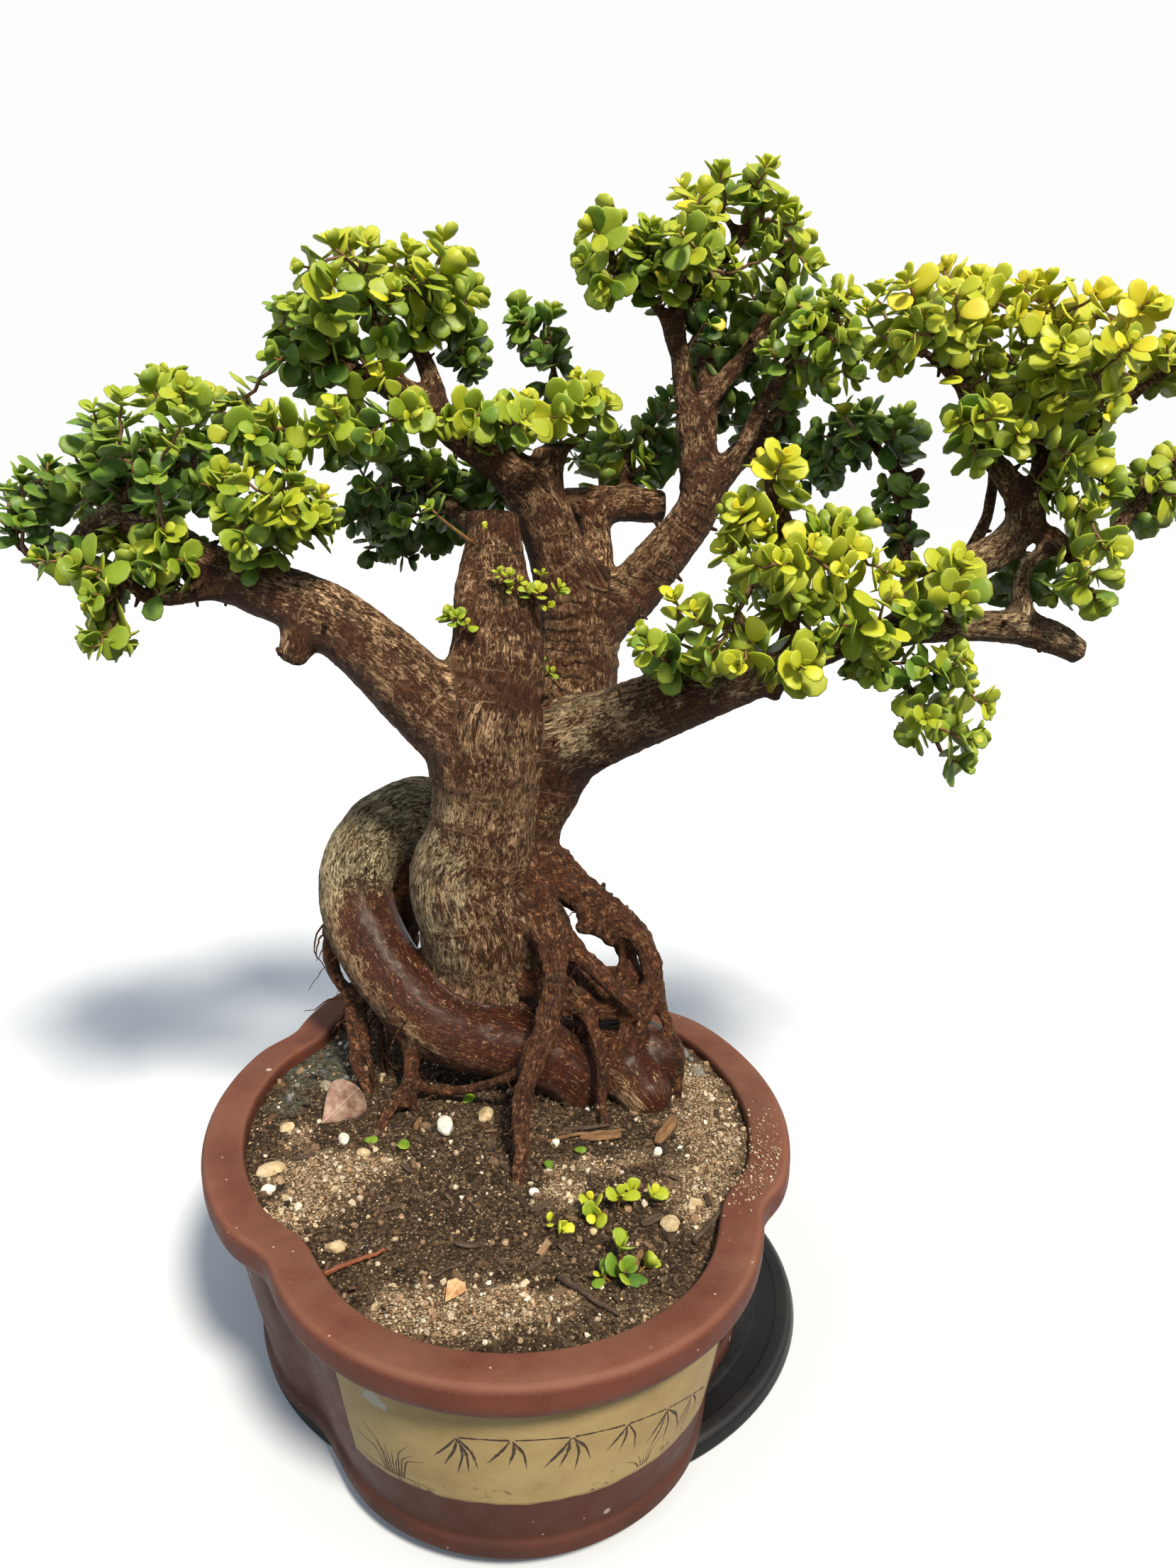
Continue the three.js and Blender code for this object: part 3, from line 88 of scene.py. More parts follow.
    'p_up': [(179.9, 9.2, 421.6, 7.3), (179.1, -0.8, 447.1, 6.1), (174, -8, 476, 5.6), (169.9, -11.4, 503.4, 5.2), (161, -11.9, 525.5, 5), (155.5, -10.9, 538.5, 2.9)],
    'r_tail': [(206.2, 0.6, 435.1, 5.3), (216.5, -7.3, 438, 4.5), (231.5, -16, 429.6, 4.2), (242.8, -22.1, 417.5, 3.3), (251.1, -25.6, 407.5, 2.6), (260.5, -29.2, 390.6, 1.9), (268.4, -30.6, 374.7, 1.2)],
    'k': [(240.6, -1.4, 439.2, 7.2), (256.7, -2.2, 454.9, 9.1), (277, -0.6, 476, 10), (294.6, 0.4, 485.3, 10.8), (312.2, 0.3, 494.2, 11), (323.6, 0.4, 508.3, 9.8), (324.8, 0.2, 523.7, 8.8)],
    'k1': [(324.6, 0.2, 521.3, 8.1), (312, -0.7, 533.3, 7.8), (298, -3.3, 547.3, 6.5), (282.4, -6.7, 571, 5.5), (272, -7.9, 586.1, 4.5), (262.2, -8.2, 595.3, 3.4), (249, -6.9, 604.5, 2)],
    'k2': [(326.3, 0.9, 519, 7.9), (339.9, 1.6, 539, 7.4), (351.5, 0.6, 553.3, 6.9), (359.7, -1.9, 562, 5.7), (372.1, -6.1, 572.9, 4.2), (383.1, -10, 585.4, 3.3), (400.3, -13, 597.9, 2.3), (416, -13.7, 605.6, 1.4)],
    'k3': [(328, 1.6, 516.6, 4.8), (333.4, 4.8, 530.5, 4.3), (332.6, 6.9, 551.8, 3.8), (332.4, 8, 576.4, 3.5), (332.6, 7.9, 592.1, 3.5), (332.3, 7, 611.9, 2.8), (330.8, 6.2, 629.3, 1.9)],
    'k4': [(290.8, 12.2, 479, 3.7), (303.7, 20.1, 494.8, 3.9), (312.5, 22.6, 513.8, 3.9), (313.5, 22.4, 533.8, 3.2), (309.7, 23.1, 553.5, 1.9)],
    'k5': [(329, 1.5, 507.3, 6.2), (346.6, 0.4, 498.8, 4.8), (363.9, 1.5, 492.1, 4.4), (382.4, 4.3, 494.7, 4.4), (394.9, 8.2, 507.5, 4.4), (407.9, 12, 517.9, 4.7), (417.3, 14.5, 531.8, 4.2), (428.7, 14.5, 543.3, 3.2), (441.5, 14.3, 554.9, 2)],
    'k6': [(325.6, -8.1, 453.4, 6.8), (324.4, -5.9, 465.2, 5.8), (324.7, -3.9, 472.1, 5.1), (329.3, -2.7, 483.9, 4.3), (342.6, -3, 493.4, 3.9)],
    'k7': [(345.3, -1.4, 500.4, 3.6), (350.2, -8.3, 491.4, 3.1), (354.7, -14.2, 481, 2.6), (359, -18, 466.2, 1.7)],
    'back_right': [(251.2, 0.8, 446, 5.3), (260.3, 17.5, 463.2, 4.9), (266.3, 34.7, 483.1, 4.7), (270, 48.3, 499.9, 4.5), (272.2, 58.1, 519.2, 4.6), (270.8, 63.4, 531.9, 4.3), (265.6, 68.4, 543.1, 4.1), (253.2, 75.6, 555.3, 3.3), (243.3, 83.4, 557.2, 2.6), (233.2, 91.3, 550.7, 1.8)],
    'back_right_stub': [(270.7, 59.3, 524.1, 4.6), (277.9, 59.1, 533, 4.3), (283.4, 59.2, 538.9, 3.8)],
    'curved_root': [(-6.4, 122.9, 299.9, 26.6), (-25.4, 130.3, 297.3, 27.3), (-45.7, 132.8, 298.6, 27.3), (-65.7, 131.3, 290.6, 26.6), (-80.4, 123.7, 277.4, 25.9), (-87.4, 113.7, 260.3, 25.7), (-85.9, 100.3, 240.9, 25.2), (-77, 84.5, 220.1, 24.7), (-62.5, 67.8, 201.1, 23.9), (-44.1, 52.4, 183.9, 23.2), (-21.1, 39.2, 172.6, 22.5), (5.2, 29.6, 168.5, 21.3), (29.4, 22.3, 164.7, 20.8), (45.6, 18.4, 153.9, 21.3), (54.9, 16.8, 143.6, 19.8)],
    'bulge_r': [(61.4, 50.2, 154.8, 19), (81.6, 26.4, 153.7, 17.5), (96.5, 1.4, 139.9, 17.6)],
    'bulge_b': [(73.8, 58.2, 161.8, 16.4), (97, 35.9, 162.2, 16.1), (113.3, 22.9, 155.9, 14.8)],
    'arch': [(35.4, 83.2, 283, 11.8), (49.1, 76.7, 275.5, 11.3), (62.5, 68.3, 263.6, 10.2), (77.9, 59.5, 250.7, 9.3), (93.8, 48.6, 238.7, 8.2), (105.4, 38.5, 225.1, 7.6), (107.8, 30.9, 209.5, 6.8), (101.5, 24.9, 192.8, 6.5), (93.6, 19.2, 178.4, 5.7), (84.3, 10.7, 158.9, 4.9), (78.5, 4.6, 145.5, 3.9)],
    'arch_in': [(78.5, 59.4, 239.3, 6.4), (87.8, 55.7, 231.1, 6.2), (93.2, 51.8, 218.6, 5.9), (96.6, 46.1, 204.7, 5.6), (97.1, 38.9, 189.4, 4.5), (93.5, 30.4, 171.1, 3.4)],
    'arch_nub': [(84, 54.4, 245.5, 6.4), (76, 51.7, 240.2, 5.8), (66, 49.4, 240, 4.5), (58.4, 48.7, 239.1, 3.4)],
    'mid_root': [(26.9, 58.2, 286.1, 6.2), (30.5, 49.5, 276.9, 5.9), (36.8, 42.3, 267.2, 6.4), (42.3, 37.3, 256.1, 6.7), (46.5, 33.5, 244.7, 6.9), (53.2, 29.3, 233.9, 6.4), (63.6, 22.4, 224, 6.2), (75.9, 15.2, 213.1, 5.6), (85.5, 10.5, 204.6, 5.1), (91.6, 8.4, 192.9, 3.8)],
    'front_root': [(31.6, 31, 245.5, 8.7), (37.4, 20.9, 235.7, 7.9), (38, 10.6, 222.1, 8.3), (32.9, -0.7, 207.6, 8.2), (28.5, -11.1, 194, 8.4), (20.7, -20.9, 182.9, 7.8), (13.4, -32.8, 172.2, 6.5), (10.4, -45.5, 159.9, 5.9), (7.6, -60.2, 145.7, 5.2), (4.5, -73.9, 132, 4.2), (3.4, -79.8, 128.7, 3.2)],
    'root_cross': [(16.3, -17.1, 175.3, 3.7), (3.7, -8.8, 164.8, 3.5), (-11.7, 4.1, 153.4, 3.3), (-28.3, 15.1, 144.8, 3.1), (-44.3, 21.9, 144.6, 2.8), (-55.3, 23.9, 150.2, 2.3)],
    'fork_root': [(-55.1, 50.2, 166.8, 6.8), (-54.5, 40, 160.4, 5.5), (-55.6, 28, 152.6, 4.9), (-58.7, 16.3, 145, 5.1), (-67.9, 7.8, 142.2, 4.5), (-75.2, -1.1, 134.6, 3.7), (-75.5, -14.2, 125.9, 2.2)],
    'fork_root_b': [(-59.7, 16.5, 144.4, 3.6), (-54.9, 13.6, 136.6, 2.8), (-51.3, 9, 127.6, 1.8)],
    'hang1': [(-97.5, 110.4, 235.9, 6.6), (-106.4, 103.8, 224.4, 4.6), (-105.6, 95.6, 200.3, 4.9), (-96.4, 85.9, 185.8, 3.8), (-93.4, 69.1, 160.2, 3.7), (-91.8, 58.7, 144.9, 3.5), (-85.2, 48.4, 137, 4), (-79.3, 38.2, 129.3, 2.9)],
    'hang2': [(-91, 103.2, 220.8, 3.8), (-88.5, 92.6, 198.7, 3), (-85.5, 77.9, 175.9, 2.7), (-83.7, 63.3, 153.5, 2.4), (-77.6, 46, 131.8, 1.8)],
    'hang3': [(-76.2, 90.4, 184.1, 3.3), (-74.3, 80, 162.2, 2.4), (-72.9, 71.6, 142.4, 2.2), (-71.4, 63.2, 126.4, 1.6)],
    'thin_r1': [(53.6, 21.1, 201.3, 5.7), (60.6, 9.7, 192.8, 4.6), (65.2, -3.3, 175.1, 3.8), (65.1, -13.4, 156, 3.5), (65.1, -23.5, 132.7, 2.5)],
    'thin_r2': [(109.3, 31.7, 199.9, 4.2), (113.5, 24.9, 186.8, 3.7), (118.2, 18, 172.6, 3.4), (121.9, 11.2, 152.6, 2.9), (118.6, -0.4, 131.5, 2.1)],
    'low_root1': [(16.4, 58, 207, 9.1), (32.1, 35, 203.7, 7.8), (47.5, 25.2, 195.9, 7), (62.5, 20.6, 193.7, 7), (74.9, 19.4, 192.2, 6.2)],
    'low_root2': [(17.8, 47.7, 182.8, 9.5), (37.8, 38.1, 174.4, 10), (60.7, 30, 165.1, 10.5), (83.2, 22, 167.4, 8.9)],
    'back_root1': [(13.6, 109.3, 209, 16.9), (15.2, 129.3, 163, 15.8), (16.9, 149.3, 127.6, 12.7), (16.4, 171.7, 96.3, 8.1)],
    'back_root2': [(46.2, 98.5, 223.4, 12.3), (68.5, 111.9, 186, 10.9), (88.2, 121.6, 151.9, 8.8), (102.3, 130.4, 127.2, 6)],
    'arch_swell': [(40.9, 76.1, 274.9, 11.2), (52.1, 71.1, 264.8, 12.8), (63.6, 65, 255.6, 10.1), (72.1, 60.5, 249.5, 6.9)],
    'arch_nub2': [(72.8, 58.4, 249.1, 5.3), (65.9, 55.5, 246.1, 4.5), (63.5, 53.9, 244.6, 3.7)],
    'arch_nub3': [(83.7, 52.4, 241.8, 5.8), (80.9, 48.8, 234.3, 4.5), (80.1, 46.9, 228.3, 2.9)],
    'mid_root_b': [(26.4, 46.2, 256.4, 8.8), (35, 40.6, 251.4, 7.7), (43.6, 35, 243.2, 6.7), (52.5, 31.4, 232, 5.7)],
    'tangle1': [(35.8, 46.5, 221, 8.9), (49.3, 44.2, 210.9, 7.9), (63.9, 41.6, 200.8, 6.3), (82.9, 36.3, 193.9, 5.8), (96.1, 29.9, 193.6, 4.7)],
    'tangle2': [(40.8, 59.9, 229.9, 8), (54.6, 57.5, 215.1, 7), (70.5, 54.7, 204.9, 5.9), (87, 49.8, 202.5, 5.9), (98.9, 43.6, 201, 4.8)],
    'tangle3': [(43.4, 33, 210.6, 6.2), (55.8, 30.9, 200.6, 5.7), (62.4, 25.7, 190.1, 4.7), (60.8, 21.9, 179.5, 3.9)],
    'tangle4': [(82.3, 20.2, 203.7, 4.1), (86.8, 15.3, 187.6, 3.9), (82.2, 12, 172.6, 3.4)],
    'back_root3': [(-47.7, 130.1, 286.7, 13.9), (-52.1, 132.9, 266.6, 14), (-53.8, 136.3, 244.6, 13.6), (-55.1, 141.6, 218.4, 12.6), (-57.6, 148.1, 188, 11.7), (-63.8, 155.3, 153.4, 9.5), (-66.5, 159.8, 122.1, 6)],
}
# leaf clusters: centre x, y, z, half-axes across, along, up, and light to dark; the last is partly leaf colour, partly
# painted light and shade: dark for the back clusters, light for the sunny ones on the right
CLUSTERS = [
    ('leaves_left_crown', [(-181, 77.3, 552.1, 52, 78, 45.5, 0.45)]),
    ('leaves_left_outer', [(-128.2, 44.7, 513.7, 31.9, 50, 42.9, 0.6), (-95.1, 41, 511.7, 15.6, 24, 16.5, 0.6), (-120.6, 55.6, 553.4, 19.2, 34, 21.9, 0.5)]),
    ('leaves_left_end', [(-230.9, 103.2, 533.5, 34.4, 55, 23.9, 0.3), (-267.1, 111.6, 512.5, 30.9, 46, 29.9, 0.35)]),
    ('leaves_left_tail', [(-231.8, 70.9, 484.1, 34.5, 42, 18.4, 0.5), (-222.1, 59.1, 466.8, 17.6, 32, 18.3, 0.55), (-222.6, 53.1, 443, 19.5, 30, 26.8, 0.6), (-190.6, 59.7, 474.3, 16.8, 22, 12, 0.45), (-187.2, 40.8, 489.9, 26.2, 22, 19.9, 0.5)]),
    ('leaves_left_back', [(-210.6, 158.6, 534, 43.8, 45, 31.9, 0.25)]),
    ('leaves_upper_left_crown', [(-63.6, 107.5, 637.2, 51, 70, 43.8, 0.58), (-105.8, 104.7, 609.6, 26.9, 52, 35.4, 0.4)]),
    ('leaves_upper_left_lobe', [(-17.8, 116.8, 650.6, 29.4, 50, 33.9, 0.62)]),
    ('leaves_upper_left_front', [(-64.6, 70.2, 570.5, 40.4, 42, 26.3, 0.6), (-86.3, 78, 553.2, 25.6, 34, 19.9, 0.5)]),
    ('leaves_mid_front', [(13.1, 70.8, 570, 42.1, 44, 22, 0.64)]),
    ('leaves_mid_right', [(70.1, 107.5, 579.8, 24.3, 40, 23.2, 0.62)]),
    ('leaves_low_back', [(-47.3, 162.5, 512.4, 47.4, 52, 49.6, 0.27), (-6.4, 143.2, 532.8, 29.5, 36, 26.4, 0.2), (11, 150.3, 519.3, 25.7, 28, 15, 0.2)]),
    ('leaves_mid_shoots', [(51.7, 151.4, 614.4, 20, 30, 32.6, 0.3), (0.8, 152.1, 610.3, 17.7, 30, 19.7, 0.35), (33.4, 152.5, 632.8, 12.5, 22, 17.6, 0.35)]),
    ('leaves_back_pad', [(108.3, 180.1, 544.5, 44.9, 46, 26.9, 0.44)]),
    ('leaves_top_crown', [(135.9, 106.2, 675.4, 35.7, 62, 41, 0.64), (153.8, 121.4, 636.7, 20.5, 34, 19.3, 0.3), (109.9, 102.6, 669.4, 17.7, 30, 25.5, 0.5)]),
    ('leaves_top_left_sprig', [(79.6, 100.8, 669.8, 21.4, 34, 38.1, 0.64)]),
    ('leaves_top_tip', [(172.5, 114, 715.7, 26.9, 36, 21.1, 0.6)]),
    ('leaves_top_right', [(200.6, 125.4, 667.4, 33, 50, 45.3, 0.58)]),
    ('leaves_top_low_right', [(207.5, 93.7, 616.3, 33.4, 48, 33.2, 0.5)]),
    ('leaves_top_right_side', [(229.7, 73.6, 612.8, 23.8, 38, 45.7, 0.58)]),
    ('leaves_top_back', [(183.4, 167, 602.2, 36.4, 46, 46.3, 0.28), (138.6, 164.6, 564.5, 18.7, 36, 33.1, 0.2)]),
    ('leaves_right_back', [(255.4, 83.3, 560.8, 44.2, 44, 25.7, 0.2), (218.6, 136.4, 556.1, 31.5, 38, 22.8, 0.25), (233.9, 111.4, 537, 17.1, 30, 18.1, 0.25)]),
    ('leaves_right_back_low', [(269.4, 56.5, 511.8, 23.3, 32, 26.4, 0.25)]),
    ('leaves_front_small', [(160.7, -15.9, 533.4, 27.7, 36, 20.5, 0.78), (142.4, -8.6, 514.3, 15.4, 26, 13.5, 0.7)]),
    ('leaves_low_right_left', [(117.6, 1.8, 442, 38.4, 42, 32.6, 0.62)]),
    ('leaves_low_right_crown', [(158.4, -23.6, 484.2, 37.8, 52, 34, 0.7)]),
    ('leaves_low_right_mid', [(204.5, -29.6, 468.8, 36.3, 50, 38, 0.7), (202.3, -15, 507.2, 21, 30, 18.2, 0.6)]),
    ('leaves_low_right_end', [(258.3, -30.9, 472.1, 30.3, 44, 28.2, 0.66)]),
    ('leaves_low_right_front', [(156.6, -41.5, 431.4, 34.9, 32, 20.2, 0.66)]),
    ('leaves_low_right_tail', [(266.3, -38.4, 399.6, 32.7, 36, 41.3, 0.58), (221.9, -18.4, 424.5, 16, 24, 11.8, 0.5), (259.1, -35.1, 431.2, 28.7, 28, 15.3, 0.5)]),
    ('leaves_far_right_left', [(246.5, -6.5, 623.9, 42, 54, 37.3, 0.76)]),
    ('leaves_far_right_crown', [(308.1, -5, 615.5, 35.5, 62, 38, 0.8), (281.6, -2.5, 638.8, 16.2, 28, 12.2, 0.8)]),
    ('leaves_far_right_end', [(342.9, -23.3, 612.1, 35.9, 58, 37.5, 0.86), (407.8, -10.3, 605.3, 23.2, 46, 26.8, 0.82)]),
    ('leaves_far_right_in', [(283.2, -19, 563.7, 25.4, 36, 28.1, 0.66)]),
    ('leaves_far_right_mid', [(334.4, -23.8, 564.3, 34.6, 46, 30, 0.68), (350.5, -20.6, 532.1, 25.1, 38, 20.4, 0.6)]),
    ('leaves_far_right_low', [(356.3, -17.5, 488.8, 27.5, 44, 38.9, 0.62), (344.6, 33.2, 468.3, 20.3, 30, 19.2, 0.3)]),
    ('leaves_far_right_side', [(426.5, 18.9, 530.8, 30.9, 42, 33.8, 0.6)]),
    ('leaves_far_right_back', [(377, 66.2, 589.1, 46.1, 44, 40.9, 0.4)]),
]

# ------------------------------------------------------------------ noise
_perm = np.random.default_rng(7).permutation(256)
_perm = np.concatenate([_perm, _perm, _perm])
_grad = np.random.default_rng(8).normal(size=(256, 3)); _grad /= np.linalg.norm(_grad, axis=1)[:, None]
def noise3(p):
    """gradient noise, about -0.7..0.7"""
    p = np.asarray(p, float)
    i = np.floor(p).astype(int); f = p - i
    u = f * f * f * (f * (f * 6 - 15) + 10)
    i &= 255
    out = 0
    for dx in (0, 1):
        wx = u[..., 0] if dx else 1 - u[..., 0]
        for dy in (0, 1):
            wy = u[..., 1] if dy else 1 - u[..., 1]
            for dz in (0, 1):
                wz = u[..., 2] if dz else 1 - u[..., 2]
                h = _perm[_perm[_perm[(i[..., 0] + dx) & 255] + ((i[..., 1] + dy) & 255)] + ((i[..., 2] + dz) & 255)]
                g = _grad[h]
                out = out + wx * wy * wz * (g[..., 0] * (f[..., 0] - dx) + g[..., 1] * (f[..., 1] - dy) + g[..., 2] * (f[..., 2] - dz))
    return out
def fbm(p, octaves=4, gain=0.5):
    s, a, q = 0, 1.0, np.asarray(p, float)
    for k in range(octaves):
        s = s + a * noise3(q + 17.3 * k); q = q * 2.03; a *= gain
    return s
def smooth(a, b, x):
    t = np.clip((x - a) / (b - a), 0, 1); return t * t * (3 - 2 * t)

# ------------------------------------------------------------------ mesh from arrays
def make_mesh(name, verts, faces, mats=(), face_mat=None, smooth_shade=True, colors=None, vectors=None, scale=MM):
    """faces: list of (n, k) integer arrays; colors: {name: (nverts, 4)}"""
    verts = np.asarray(verts, np.float32) * scale
    me = bpy.data.meshes.new(name)
    me.vertices.add(len(verts)); me.vertices.foreach_set("co", verts.ravel())
    faces = [np.asarray(f, np.int32) for f in faces if len(f)]
    loops = np.concatenate([f.ravel() for f in faces])
    tot = np.concatenate([np.full(len(f), f.shape[1], np.int32) for f in faces])
    start = np.concatenate([[0], np.cumsum(tot)[:-1]]).astype(np.int32)
    me.loops.add(len(loops)); me.loops.foreach_set("vertex_index", loops)
    me.polygons.add(len(tot)); me.polygons.foreach_set("loop_start", start)
    me.update(calc_edges=True)
    me.polygons.foreach_set("use_smooth", np.full(len(tot), smooth_shade, bool))
    for m in mats: me.materials.append(m)
    if face_mat is not None: me.polygons.foreach_set("material_index", np.asarray(face_mat, np.int32))
    for k, v in (colors or {}).items():
        a = me.attributes.new(k, "FLOAT_COLOR", "POINT")
        a.data.foreach_set("color", np.asarray(v, np.float32).ravel())
    for k, v in (vectors or {}).items():
        a = me.attributes.new(k, "FLOAT_VECTOR", "POINT")
        a.data.foreach_set("vector", np.asarray(v, np.float32).ravel())
    me.validate(); me.update()
    ob = bpy.data.objects.new(name, me)
    bpy.context.scene.collection.objects.link(ob)
    return ob

def grid_faces(rows, cols, closed=True):
    i = np.arange(rows - 1)[:, None]; j = np.arange(cols if closed else cols - 1)[None, :]
    a = i * cols + j; b = i * cols + (j + 1) % cols
    return np.stack([a, b, b + cols, a + cols], -1).reshape(-1, 4)

# ------------------------------------------------------------------ material helpers
def material(name):
    m = bpy.data.materials.new(name); m.use_nodes = True
    nt = m.node_tree; nt.nodes.clear()
    out = nt.nodes.new("ShaderNodeOutputMaterial"); bs = nt.nodes.new("ShaderNodeBsdfPrincipled")
    nt.links.new(bs.outputs[0], out.inputs[0])
    return m, nt, bs
class N:
    """small helper round a node tree"""
    def __init__(s, nt): s.nt = nt
    def new(s, t, **kw):
        n = s.nt.nodes.new(t)
        for k, v in kw.items(): setattr(n, k, v)
        return n
    def link(s, a, b): s.nt.links.new(a, b)
    def attr(s, name): return s.new("ShaderNodeAttribute", attribute_name=name)
    def coords(s): return s.new("ShaderNodeTexCoord").outputs["Object"]
    def coords_world(s): return s.new("ShaderNodeTexCoord").outputs["Generated"]
    def mapping(s, vec, scale, loc=(0, 0, 0), rot=(0, 0, 0)):
        m = s.new("ShaderNodeMapping"); m.inputs["Scale"].default_value = scale; m.inputs["Location"].default_value = loc
        m.inputs["Rotation"].default_value = rot
        s.link(vec, m.inputs["Vector"]); return m.outputs[0]
    def noise(s, vec, scale=1.0, detail=4.0, rough=0.55, dist=0.0):
        n = s.new("ShaderNodeTexNoise"); n.inputs["Scale"].default_value = scale; n.inputs["Detail"].default_value = detail
        n.inputs["Roughness"].default_value = rough; n.inputs["Distortion"].default_value = dist
        s.link(vec, n.inputs["Vector"]); return n.outputs["Fac"]
    def voronoi(s, vec, scale=1.0, feature="F1", out="Distance", rand=1.0):
        n = s.new("ShaderNodeTexVoronoi", feature=feature); n.inputs["Scale"].default_value = scale
        n.inputs["Randomness"].default_value = rand
        s.link(vec, n.inputs["Vector"]); return n.outputs[out]
    def ramp(s, fac, stops, interp="LINEAR"):
        r = s.new("ShaderNodeValToRGB"); r.color_ramp.interpolation = interp
        e = r.color_ramp.elements
        while len(e) < len(stops): e.new(0.5)
        for el, (p, c) in zip(e, stops):
            el.position = p; el.color = (*c, 1) if len(c) == 3 else c
        s.link(fac, r.inputs[0]); return r.outputs[0]
    def step(s, fac, a, b):
        m = s.new("ShaderNodeMapRange", interpolation_type="SMOOTHSTEP"); m.inputs[1].default_value = a; m.inputs[2].default_value = b
        s.link(fac, m.inputs[0]); return m.outputs[0]
    def math(s, op, a, b=None, clamp=False):
        m = s.new("ShaderNodeMath", operation=op, use_clamp=clamp)
        for k, v in enumerate((a, b)):
            if v is None: continue
            if isinstance(v, (int, float)): m.inputs[k].default_value = v
            else: s.link(v, m.inputs[k])
        return m.outputs[0]
    def mix(s, fac, a, b, mode="MIX"):
        m = s.new("ShaderNodeMix", data_type="RGBA", blend_type=mode)
        for k, v in ((0, fac), (6, a), (7, b)):
            if isinstance(v, (int, float)): m.inputs[k].default_value = v
            elif isinstance(v, tuple): m.inputs[k].default_value = (*v, 1) if len(v) == 3 else v
            else: s.link(v, m.inputs[k])
        return m.outputs[2]
    def bump(s, height, strength=0.5, distance=0.001, normal=None):
        b = s.new("ShaderNodeBump"); b.inputs["Strength"].default_value = strength; b.inputs["Distance"].default_value = distance
        s.link(height, b.inputs["Height"])
        if normal is not None: s.link(normal, b.inputs["Normal"])
        return b.outputs[0]
    def sep(s, c):
        n = s.new("ShaderNodeSeparateColor"); s.link(c, n.inputs[0]); return n.outputs
    def sepxyz(s, c):
        n = s.new("ShaderNodeSeparateXYZ"); s.link(c, n.inputs[0]); return n.outputs
    def comb(s, x, y, z):
        n = s.new("ShaderNodeCombineXYZ")
        for k, v in enumerate((x, y, z)):
            if isinstance(v, (int, float)): n.inputs[k].default_value = v
            else: s.link(v, n.inputs[k])
        return n.outputs[0]

# ------------------------------------------------------------------ camera
def rz(a):
    c, s = math.cos(a), math.sin(a); return np.array([[c, -s, 0], [s, c, 0], [0, 0, 1.0]])
def make_camera():
    f, pitch, yaw, roll, turn = 1691.0, math.radians(15.1), math.radians(-0.7), math.radians(0.56), math.radians(10.6)
    fwd = np.array([math.sin(yaw) * math.cos(pitch), math.cos(yaw) * math.cos(pitch), -math.sin(pitch)])
    right = np.array([math.cos(yaw), -math.sin(yaw), 0.0]); up = np.cross(right, fwd)
    r = right * math.cos(roll) + up * math.sin(roll); u = -right * math.sin(roll) + up * math.cos(roll)
    R = rz(-turn); r, u, fwd = R @ r, R @ u, R @ fwd
    C = R @ np.array([64.0, -692.0, 534.0]) + [0, 0, STAND_T]
    cam = bpy.data.cameras.new("camera"); ob = bpy.data.objects.new("camera", cam)
    cam.sensor_fit = "AUTO"; cam.sensor_width = 36.0; cam.lens = f / 2212.0 * 36.0
    cam.clip_start = 0.02; cam.clip_end = 30
    M = Matrix(((r[0], u[0], -fwd[0], C[0] * MM), (r[1], u[1], -fwd[1], C[1] * MM), (r[2], u[2], -fwd[2], C[2] * MM), (0, 0, 0, 1)))
    ob.matrix_world = M
    bpy.context.scene.collection.objects.link(ob); bpy.context.scene.camera = ob
make_camera()

# ------------------------------------------------------------------ outline of the pot
def field(x, y):
    X, Y = np.abs(x), np.abs(y)
    a = np.hypot(X, Y - LOBE_C) - LOBE_R; b = np.hypot(X + SIDE_C, Y) - SIDE_R
    h = np.clip(0.5 + 0.5 * (b - a) / NOTCH_BLEND, 0, 1)
    u = (X - 138) * 0.82 + (Y - 126) * 0.57; v = (Y - 126) * 0.82 - (X - 138) * 0.57
    return b * (1 - h) + a * h - NOTCH_BLEND * h * (1 - h) + 5.2 * np.exp(-v * v / (2 * 14.0 ** 2) - (u / 60.0) ** 2)
def outline(t, inset):
    c, s = np.cos(t), np.sin(t); lo = np.zeros_like(t + inset); hi = lo + 400.0
    for _ in range(34):
        m = (lo + hi) / 2; inn = field(m * c, m * s) + inset < 0
        lo = np.where(inn, m, lo); hi = np.where(inn, hi, m)
    return lo
def soil_z(x, y):
    d2 = ((x - 10) / 95) ** 2 + ((y - 55) / 110) ** 2
    return STAND_T + SOIL_Z + 7.5 * np.exp(-d2) + 3.2 * np.exp(-(((x - 135) / 45) ** 2 + ((y + 20) / 90) ** 2))

# ------------------------------------------------------------------ profile with rounded corners
def fillet(pts, radii, n=5):
    out = []
    pts = [np.array(p, float) for p in pts]
    for i, p in enumerate(pts):
        r = radii[i] if i < len(radii) else 0
        if i in (0, len(pts) - 1) or r <= 0: out.append(p); continue
        a, b = pts[i - 1] - p, pts[i + 1] - p
        la, lb = np.linalg.norm(a), np.linalg.norm(b)
        r = min(r, la * 0.49, lb * 0.49)
        a, b = p + a / la * r, p + b / lb * r
        for t in np.linspace(0, 1, n):
            out.append((1 - t) ** 2 * a + 2 * t * (1 - t) * p + t * t * b)
    return np.array(out)
def even(a, b, n): return [tuple(np.array(a) + (np.array(b) - np.array(a)) * k / n) for k in range(1, n)]

